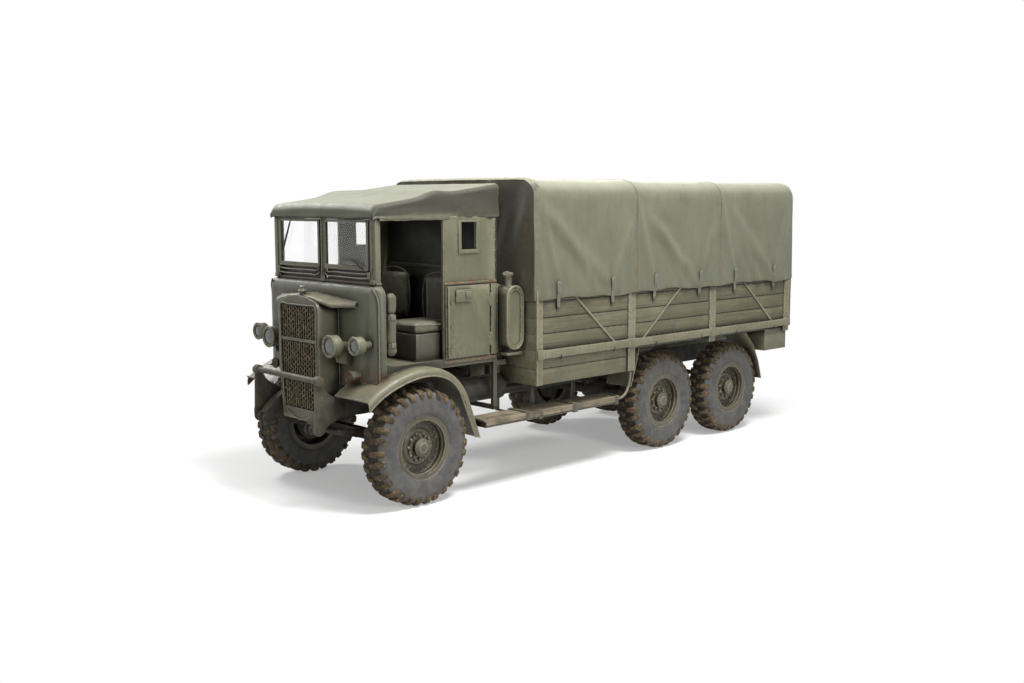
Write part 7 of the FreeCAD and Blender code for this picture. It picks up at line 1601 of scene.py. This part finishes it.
# %% Roll up the curtains
CURTAIN_X, CURTAIN_Y, CURTAIN_LOW, CURTAIN_TOP = 0.848, along(-0.245), 1.380, 1.930
CURTAIN_STRAPS = (1.475, 1.720)
for side, sign in SIDES:
    rows = []
    for step in range(45):
        z = CURTAIN_LOW + (CURTAIN_TOP - CURTAIN_LOW) * step / 44
        tight = max(*(bump_at(z, strap, 0.05) for strap in CURTAIN_STRAPS), 2.6 * bump_at(z, 1.755, 0.018))
        end = smoothstep(0, 0.03, z - CURTAIN_LOW) * smoothstep(0, 0.03, CURTAIN_TOP - z)
        row = []
        for k in range(29):
            turn = math.tau * k / 28
            radius = 0.046 + 0.003 * math.sin(3 * turn + z * 9) + 0.002 * math.sin(z * 31 + turn)
            radius *= 0.55 + 0.45 * end
            radius *= 1 - 0.15 * tight
            radius += 0.004 * math.exp(-((turn - 0.9) / 0.2) ** 2)
            x = CURTAIN_X + radius * 0.80 * math.cos(turn)
            row.append((sign * x, CURTAIN_Y + radius * math.sin(turn) * sign, z))
        rows.append(row)
    roll = from_grid(f"rolled_curtain_{side}", rows)
    only(roll)
    bpy.ops.object.mode_set(mode="EDIT")
    bpy.ops.mesh.select_all(action="SELECT")
    bpy.ops.mesh.remove_doubles(threshold=0.0003)
    bpy.ops.mesh.select_all(action="DESELECT")
    bpy.ops.mesh.select_non_manifold()
    bpy.ops.mesh.edge_face_add()
    bpy.ops.mesh.select_all(action="SELECT")
    bpy.ops.mesh.normals_make_consistent(inside=False)
    bpy.ops.object.mode_set(mode="OBJECT")
    bpy.ops.object.shade_smooth_by_angle(angle=math.radians(60))
    mark(roll, "seam", lambda co: 0.0)
    finished(roll, hood_canvas, "canvas", stands_for=["rolled_curtains"] if sign > 0 else ())
    bands = []
    for z in CURTAIN_STRAPS:
        band = spun("band", [(-0.016, 0.0415), (-0.016, 0.0455), (0.016, 0.0455), (0.016, 0.0415)], 32,
                    close=True)
        upright = Matrix.Rotation(math.radians(-90), 4, "Y")
        place = Matrix.Translation((sign * CURTAIN_X, CURTAIN_Y, z))
        band.data.transform(place @ Matrix.Diagonal((0.84, 1.0, 1, 1)) @ upright)
        bands.append(band)
        low = (sign * 0.886 - 0.006, CURTAIN_Y - 0.026, z - 0.024)
        bands.append(bar("buckle", low, (sign * 0.886 + 0.006, CURTAIN_Y + 0.026, z + 0.024), 0.004))
    strap_piece = joined(f"curtain_straps_{side}", bands)
    smooth(strap_piece, 40)
    finished(strap_piece, hub_enamel, "canvas")
print("curtains rolled")

# %% [markdown]
# ## The tilt's straps
# Twelve pressed steel straps pull the tilt down over hooks on the boards. Each has round ends, tapers to its
# foot and bends out over the hem, with a dark hook behind it and a bolt at its foot.

# %% Forge one strap and hang it twelve times
def strap_shape():
    """One strap at the origin: +X out of the body, Z up, its foot at 0."""
    rows = []
    for step in range(15):
        share = step / 14
        z = 0.006 + 0.262 * share
        half = 0.020 + 0.006 * share
        end = min(1.0, math.sqrt(max(0.0, 1 - max(0, 1 - share * 14 / 1.4) ** 2)),
                  math.sqrt(max(0.0, 1 - max(0, 1 - (1 - share) * 14 / 1.4) ** 2)))
        out = 0.013 + 0.018 * smoothstep(0.25, 0.62, share)
        rows.append([(out + 0.003 * (1 - (k / 2) ** 2), k / 2 * half * max(end, 0.25), z) for k in (-2, -1,
                                                                                                    0, 1, 2)])
    plate = apply(from_grid("plate", rows), "SOLIDIFY", thickness=0.014, offset=0)
    plate = rounded(plate, 0.003)
    hook = bar("hook", (-0.002, -0.017, -0.018), (0.014, 0.017, 0.046), 0.005)
    bolt = nut("bolt", (0.010, 0, 0.030), 0.009, 0.008)
    return plate, joined("hook", [hook, bolt])


plate, hook = strap_shape()
plates, hooks = [], []
for distance in TILT_STRAPS:
    for side, sign in SIDES:
        lean = Matrix.Rotation(math.radians(3 * math.sin(distance * 40 + sign)), 4, "X")
        at = Matrix.Translation((sign * 1.1105, along(distance),
                                 1.700)) @ (Matrix.Identity(4) if sign > 0 else Matrix.Rotation(math.pi, 4,
                                                                                                "Z")) @ lean
        plates.append(copied(plate, "strap", at))
        hooks.append(copied(hook, "hook", at))
for spare in (plate, hook):
    bpy.data.objects.remove(spare)
straps = joined("tilt_strap_plates", plates)
finished(straps, strap_metal, "strap_metal", stands_for=["tilt_straps"])
strap_hooks = joined("tilt_strap_hooks", hooks)
smooth(strap_hooks, 40)
finished(strap_hooks, dark_enamel, "strap_metal")
print("straps", len(straps.data.polygons), "faces")

# %% [markdown]
# ## The cargo body's fittings
# Coach bolts hold each board to each post, the braces end in bolted feet, and the rave rail carries rope
# hooks. Thin near-black strips lie in the gaps between the boards: painted shade.

# %% Bolts, joints and rope hooks on the body's sides
BOARD_X = 1.108
POST_MIDDLES = (1.333, 2.710, 4.125, 5.630)
rows = []
for middle_y in POST_MIDDLES:
    for z in (1.36, 1.44, 1.52, 1.60, 1.68, 1.76, 1.83):
        rows.append(((BOARD_X + 0.017, along(middle_y - 0.020), z),
                     (BOARD_X + 0.017, along(middle_y + 0.022), z + 0.012), 2))
for middle_y in (1.50, 1.75, 2.05, 2.35, 2.95, 3.25, 3.55, 3.85, 4.35, 4.7, 5.05, 5.4):
    rows.append(((BOARD_X + 0.0345, along(middle_y), 1.260),
                 (BOARD_X + 0.0345, along(middle_y + 0.04), 1.260), 2))
bolts = rivet_rows("body_bolts", rows, 0.009)
finished(bolts, rail_wear_and_highlight, "board_wood")
gaps = []
for z in (1.3020, 1.4560, 1.6100, 1.7640):
    gaps.append(box("gap", (BOARD_X - 0.004, along(1.315), z - 0.0005),
                    (BOARD_X + 0.0012, along(5.695), z + 0.0075)))
gaps.append(box("gap", (BOARD_X - 0.004, along(1.315), 1.1130), (BOARD_X + 0.0012, along(2.640), 1.1205)))
# near-black strips in the board gaps: painted shade
joints = joined("board_gap_shade", mirror_pair(gaps))
finished(joints, gap_shade_finish, "board_wood")
hooks = []
for middle_y in (1.62, 2.42, 3.10, 3.90, 4.58, 5.36):
    hooks.append(tube_through("rope_hook",
                              [(BOARD_X + 0.030, along(middle_y), 1.245),
                               (BOARD_X + 0.036, along(middle_y), 1.222),
                                            (BOARD_X + 0.024, along(middle_y + 0.003), 1.204),
                                            (BOARD_X + 0.012, along(middle_y + 0.004), 1.215)], 0.0055))
rope_hooks = joined("rope_hooks", mirror_pair(hooks))
finished(rope_hooks, rusty_iron, "rusty_steel")
print("body fitted out")

# %% [markdown]
# ## Seats
# Stuffed hide cushions and squabs, with a piped edge all round. Cloth with air pressure is the right tool: a
# block a little smaller than the cushion is remeshed fine, blown up for twenty frames with gravity off, and
# no point may move further than a cap. The piping is a thin round cord added after, along the blown-up
# cushion's edges.

# %% Blow up a cushion
def cushion(name, low, high, cap=0.016, pressure=3.0):
    """A padded block between two corners, with rounded, pulled-in sides."""
    pad = rounded(box(name, [a + 0.010 for a in low], [b - 0.010 for b in high]), 0.022, segments=3)
    apply(pad, "REMESH", mode="VOXEL", voxel_size=0.014)
    start = [vertex.co.copy() for vertex in pad.data.vertices]
    only(pad)
    cloth = pad.modifiers.new("cloth", "CLOTH")
    cloth.settings.use_pressure = True
    cloth.settings.uniform_pressure_force = pressure
    cloth.settings.effector_weights.gravity = 0
    cloth.settings.quality = 4
    cloth.point_cache.frame_start, cloth.point_cache.frame_end = 1, 20
    for frame_number in range(1, 21):
        bpy.context.scene.frame_set(frame_number)
    bpy.ops.object.modifier_apply(modifier=cloth.name)
    bpy.context.scene.frame_set(1)
    middle = (Vector(low) + Vector(high)) / 2
    half = (Vector(high) - Vector(low)) / 2
    for vertex, was in zip(pad.data.vertices, start):
        moved = vertex.co - was
        if moved.length > cap:
            vertex.co = was + moved.normalized() * cap
        off = vertex.co - middle
        u, v, w = (off[i] / half[i] for i in range(3))
        crown = (1 - u * u) * (1 - v * v) if half.z < half.y else (1 - u * u) * (1 - w * w)
        dent = 0.006 * math.sin(u * 4.1 + v * 3.3) * math.cos(v * 5.0 - w * 2.0)
        axis = 2 if half.z < half.y else 1
        vertex.co[axis] += (0.012 * crown + dent) * (1 if off[axis] > 0 else -0.4)
    for i in range(3):
        for vertex in pad.data.vertices:
            vertex.co[i] = min(high[i], max(low[i], vertex.co[i]))
    apply(pad, "SMOOTH", factor=0.5, iterations=4)
    apply(pad, "SUBSURF", levels=1, render_levels=1)
    smooth(pad)
    mark(pad, "seam", lambda co: max(smoothstep(0.86, 0.99, abs((co.x - middle.x) / half.x)),
                                   smoothstep(0.86, 0.99, abs((co.y - middle.y) / half.y))) * 0.7)
    return pad


def piping(name, low, high, flat_axis):
    """A cord round the upper edge of a cushion, or round the front edge of a squab."""
    inset = 0.016
    (x0, y0, z0), (x1, y1, z1) = low, high
    if flat_axis == "z":
        z = z1 - 0.022
        ring = [(x0 + inset + 0.03, y0 + 0.004), (x1 - inset - 0.03, y0 + 0.004),
                (x1 - 0.006, y0 + inset + 0.03), (x1 - 0.006, y1 - inset - 0.03),
                (x1 - inset - 0.03, y1 - 0.004), (x0 + inset + 0.03, y1 - 0.004),
                (x0 + 0.006, y1 - inset - 0.03), (x0 + 0.006, y0 + inset + 0.03)]
        points = [(x, y, z) for x, y in ring]
    else:
        y = y0 + 0.020
        ring = [(x0 + 0.05, z0 + 0.006), (x1 - 0.05, z0 + 0.006), (x1 - 0.006, z0 + 0.05),
                (x1 - 0.006, z1 - 0.05),
                (x1 - 0.05, z1 - 0.006), (x0 + 0.05, z1 - 0.006), (x0 + 0.006, z1 - 0.05),
                (x0 + 0.006, z0 + 0.05)]
        points = [(x, y, z) for x, z in ring]
    return tube_through(name, points, 0.0055, closed=True)


seat_low, seat_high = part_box("seats")
print("seats", [round(c, 3) for c in seat_low], [round(c, 3) for c in seat_high])
for side, sign, back in (("left", 1, 0.0), ("right", -1, 0.280)):
    x0, x1 = (0.302, 0.768) if sign > 0 else (-0.768, -0.302)
    low, high = (x0, along(0.092 + back), 1.528), (x1, along(0.558 + back), 1.632)
    seat = cushion(f"seat_cushion_{side}", low, high)
    finished(seat, seat_hide, "seat_hide", stands_for=["seats"] if sign > 0 else ())
    low2, high2 = (x0, along(0.566 + back), 1.534), (x1, along(0.640 + back), 2.038)
    squab = cushion(f"seat_squab_{side}", low2, high2, cap=0.012)
    finished(squab, seat_hide, "seat_hide")
    cords = [piping("piping", low, high, "z"), piping("piping", low2, high2, "y")]
    trim = joined(f"seat_piping_{side}", cords)
    finished(trim, seat_hide, "seat_hide")
print("seats done")

# %% [markdown]
# ## Inside the cab
# A dashboard hangs under the windscreen with a few plain dials, and two levers and a handbrake stand by the
# engine cover. A rail crosses the back wall. All of it is in shade, so broad shapes are enough.

# %% Dashboard, levers and back rail
dash = [bar("dash", (-0.70, along(-0.300), 1.790), (0.70, along(-0.270), 1.960), 0.010)]
for x in (-0.52, -0.36, -0.20):
    dial = spun("dial", [(0.0, 0.044), (0.010, 0.046), (0.014, 0.040), (0.008, 0.036), (0.006, 0.0005),
                         (0.0, 0.0005)], 24, close=True)
    dial.data.transform(Matrix.Translation((x, along(-0.268), 1.875))
                        @ Matrix.Rotation(math.radians(90), 4, "Z"))
    dash.append(dial)
dashboard = joined("dashboard", dash)
smooth(dashboard, 40)
finished(dashboard, dark_enamel, "body_paint")
levers = [tube_through("gear_lever",
                       [(-0.06, along(0.20), 1.56), (-0.07, along(0.14), 1.76),
                        (-0.08, along(0.10), 1.92)], 0.009),
          tube_through("range_lever",
                       [(0.05, along(0.22), 1.56), (0.05, along(0.19), 1.72),
                        (0.045, along(0.16), 1.82)], 0.008),
          tube_through("handbrake", [(-0.24, along(0.10), 1.50), (-0.25, along(0.00), 1.72),
                                     (-0.25, along(-0.05), 1.86)], 0.010)]
for x, y, z, r in ((-0.08, 0.10, 1.925, 0.020), (0.045, 0.16, 1.825, 0.018)):
    knob = spun("knob", [(0, r * 0.5), (r * 0.4, r * 0.95), (r, r), (r * 1.6, r * 0.7), (r * 1.8, 0.0005),
                         (0, 0.0005)], 16, close=True)
    knob.data.transform(Matrix.Translation((x, along(y), z - 0.008))
                        @ Matrix.Rotation(math.radians(-90), 4, "Y"))
    levers.append(knob)
lever_set = joined("levers", levers)
smooth(lever_set)
finished(lever_set, wheel_black, "wheel_rim_black")
rail = bar("cab_back_rail", (-0.78, along(0.992), 2.070), (0.78, along(1.018), 2.102), 0.006)
finished(rail, dark_enamel, "body_paint")
print("cab fitted out")

# %% [markdown]
# ## Running boards, stays and tanks
# Three worn planks lie side by side on each running board, held by bolts at both ends. Each is a block with
# beveled edges, and none lies quite straight.

# %% Lay the planks
STEP_LOW, STEP_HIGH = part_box("running_boards")
print("running boards", [round(c, 3) for c in STEP_LOW], [round(c, 3) for c in STEP_HIGH])
planks = []
random.seed(5)
for side, sign in SIDES:
    for index in range(3):
        inner = 0.803 + index * 0.0835
        x0, x1 = sorted((sign * (inner + 0.002), sign * (inner + 0.0795)))
        lift = random.uniform(-0.002, 0.003)
        plank = bar("plank", (x0, along(0.700 + random.uniform(0, 0.012)), 0.672),
                    (x1, along(2.580 - random.uniform(0, 0.02)), 0.6985 + lift), 0.004)
        apply(plank, "TRIANGULATE")
        planks.append(plank)
        for y in (0.76, 1.62, 2.50):
            planks.append(rod("bolt", ((x0 + x1) / 2, along(y), 0.694), ((x0 + x1) / 2, along(y), 0.704),
                              0.010, sides=8, tip=0.006))
    x0, x1 = sorted((sign * 1.050, sign * 1.058))
    planks.append(bar("kerb", (x0, along(0.70), 0.640), (x1, along(2.58), 0.702), 0.003))
running_planks = joined("running_board_planks", planks)
smooth(running_planks, 40)
finished(running_planks, worn_planks, "board_wood")
clamps = []
for side, sign in SIDES:
    for y in (1.22, 1.88):
        x0, x1 = sorted((sign * 0.797, sign * 1.064))
        clamps.append(bar("clamp", (x0, along(y), 0.6985), (x1, along(y + 0.055), 0.7120), 0.004))
        x0, x1 = sorted((sign * 1.0565, sign * 1.066))
        clamps.append(bar("clamp_end", (x0, along(y), 0.630), (x1, along(y + 0.055), 0.7110), 0.003))
board_clamps = joined("running_board_clamps", clamps)
finished(board_clamps, dark_enamel, "chassis_paint")

# %% [markdown]
# A curved stay runs from the foot of the rear wing down to the running board's back end, and a flat strap
# wraps that end. Under the tank is its cradle.

# %% Bend the stays
stays = []
for side, sign in SIDES:
    stays.append(tube_through("wing_stay",
                              [(sign * 1.035, along(2.800), 0.930), (sign * 1.040, along(2.760), 0.780),
                               (sign * 1.040, along(2.690), 0.690),
                                            (sign * 1.030, along(2.560), 0.660),
                                            (sign * 1.020, along(2.380), 0.650)], 0.014))
    stays.append(tube_through("step_end",
                              [(sign * 0.815, along(2.590), 0.690), (sign * 0.93, along(2.604), 0.694),
                               (sign * 1.052, along(2.592), 0.690)], 0.012))
    stays.append(tube_through("step_front",
                              [(sign * 0.815, along(0.694), 0.690), (sign * 0.93, along(0.688), 0.694),
                               (sign * 1.052, along(0.694), 0.690)], 0.012))
stay_set = joined("running_board_stays", stays)
finished(stay_set, rail_wear_and_highlight, "chassis_paint")

# %% [markdown]
# The fuel tank's ends are pressed caps with a thick rolled rim and a sunk panel. The rim is a round bar along
# the tank's oval, and a thinner one runs inside it round the panel. The filler is an elbow with a hinged lid.

# %% Roll the tank's rims
TANK_Y0, TANK_Y1, TANK_Z0, TANK_Z1, TANK_FACE = along(1.052), along(1.276), 1.314, 1.932, 0.966


def oval(name, inset, x, radius):
    y0, y1, z0, z1 = TANK_Y0 + inset, TANK_Y1 - inset, TANK_Z0 + inset, TANK_Z1 - inset
    round_off = (y1 - y0) / 2
    line = []
    for k in range(13):
        turn = math.pi * k / 12
        line.append((x, (y0 + y1) / 2 + round_off * math.cos(turn),
                     z1 - round_off + round_off * math.sin(turn)))
    for k in range(13):
        turn = math.pi + math.pi * k / 12
        line.append((x, (y0 + y1) / 2 + round_off * math.cos(turn),
                     z0 + round_off + round_off * math.sin(turn)))
    return tube_through(name, line, radius, closed=True)


tank_rims = joined("tank_rims",
                   [oval("rim", 0.010, TANK_FACE - 0.004, 0.013), oval("rim", 0.038, TANK_FACE - 0.003, 0.006)])
finished(tank_rims, rail_wear_and_highlight, "body_paint")
elbow = [tube_through("elbow",
                      [(0.868, along(1.150), 1.925), (0.868, along(1.148), 1.990),
                       (0.872, along(1.140), 2.030)], 0.026),
         rod("lid", (0.872, along(1.140), 2.026), (0.876, along(1.130), 2.050), 0.037, sides=24),
         bar("lid_hinge", (0.850, along(1.165), 2.018), (0.890, along(1.185), 2.050), 0.004),
         bar("tank_foot", (0.80, along(1.060), 1.262), (0.962, along(1.268), 1.290), 0.005),
         bar("tank_leg", (0.86, along(1.120), 1.286), (0.930, along(1.208), 1.330), 0.006)]
tank_fittings = joined("tank_fittings", elbow)
smooth(tank_fittings, 45)
finished(tank_fittings, olive_enamel, "body_paint")
print("tank fitted out")

# %% [markdown]
# The front mudguard's outer edge is rolled over a wire. Its bead follows the pressed edge from the lip, over
# the wheel and down to the toe, in the two arcs of the CAD mudguard's own line.

# %% Roll the mudguards' edges
GUARD_EDGE = [(-0.600, 0.940), (-0.500, 1.017), (-0.380, 1.082), (-0.250, 1.131), (-0.120, 1.164), (0.040, 1.182),
              (0.190, 1.165), (0.300, 1.120), (0.370, 1.064), (0.430, 0.985), (0.470, 0.890), (0.545, 0.710),
              (0.617, 0.545)]
beads = [tube_through("bead", [(sign * 1.000, along(y), z) for y, z in GUARD_EDGE],
                      0.0085) for side, sign in SIDES]
lips = [tube_through("lip", [(sign * x, along(-0.612), 1.026) for x in (0.515, 0.75, 0.985)],
                     0.009) for side, sign in SIDES]
guard_beads = joined("mudguard_beads", beads + lips)
finished(guard_beads, rail_wear_and_highlight, "body_paint")
print("mudguards beaded", len(guard_beads.data.polygons), "faces")

# %% [markdown]
# ## The frame's own pieces
# The CAD pieces whose shape is already right stay as they are and only get a finish. Each takes the finish of
# its material slot, and a few take one of their own, because one slot covers both fresh and worn paint.

# %% Finish the CAD pieces that stay
BY_SLOT = {
    "body_paint": olive_enamel, "wheel_paint": wheel_enamel, "chassis_paint": chassis_black,
    "tyre_rubber": tyre_rubber, "radiator_core": core_shade, "clear_glass": pane_glass, "lamp_glass": lamp_glass,
    "canvas": tilt_canvas, "strap_metal": strap_metal, "seat_hide": seat_hide, "board_wood": painted_boards,
    "wheel_rim_black": wheel_black, "cast_iron": rusty_iron, "spring_steel": spring_steel,
    "rusty_steel": rusty_iron,
}
BY_NODE = {
    "silencer": chassis_black, "cross_members": chassis_black, "cab_floor": dark_enamel,
    "running_boards": dark_enamel,
}
SUBPARTS = {part["node"]: part for part in frame["record"]["subparts"]}
for name, node in frame["nodes"].items():
    chosen = BY_NODE.get(name, BY_SLOT[SUBPARTS[name]["material_slot"]])
    for material_slot in node.material_slots:
        material_slot.material = chosen
print(len(frame["nodes"]), "CAD pieces finished")
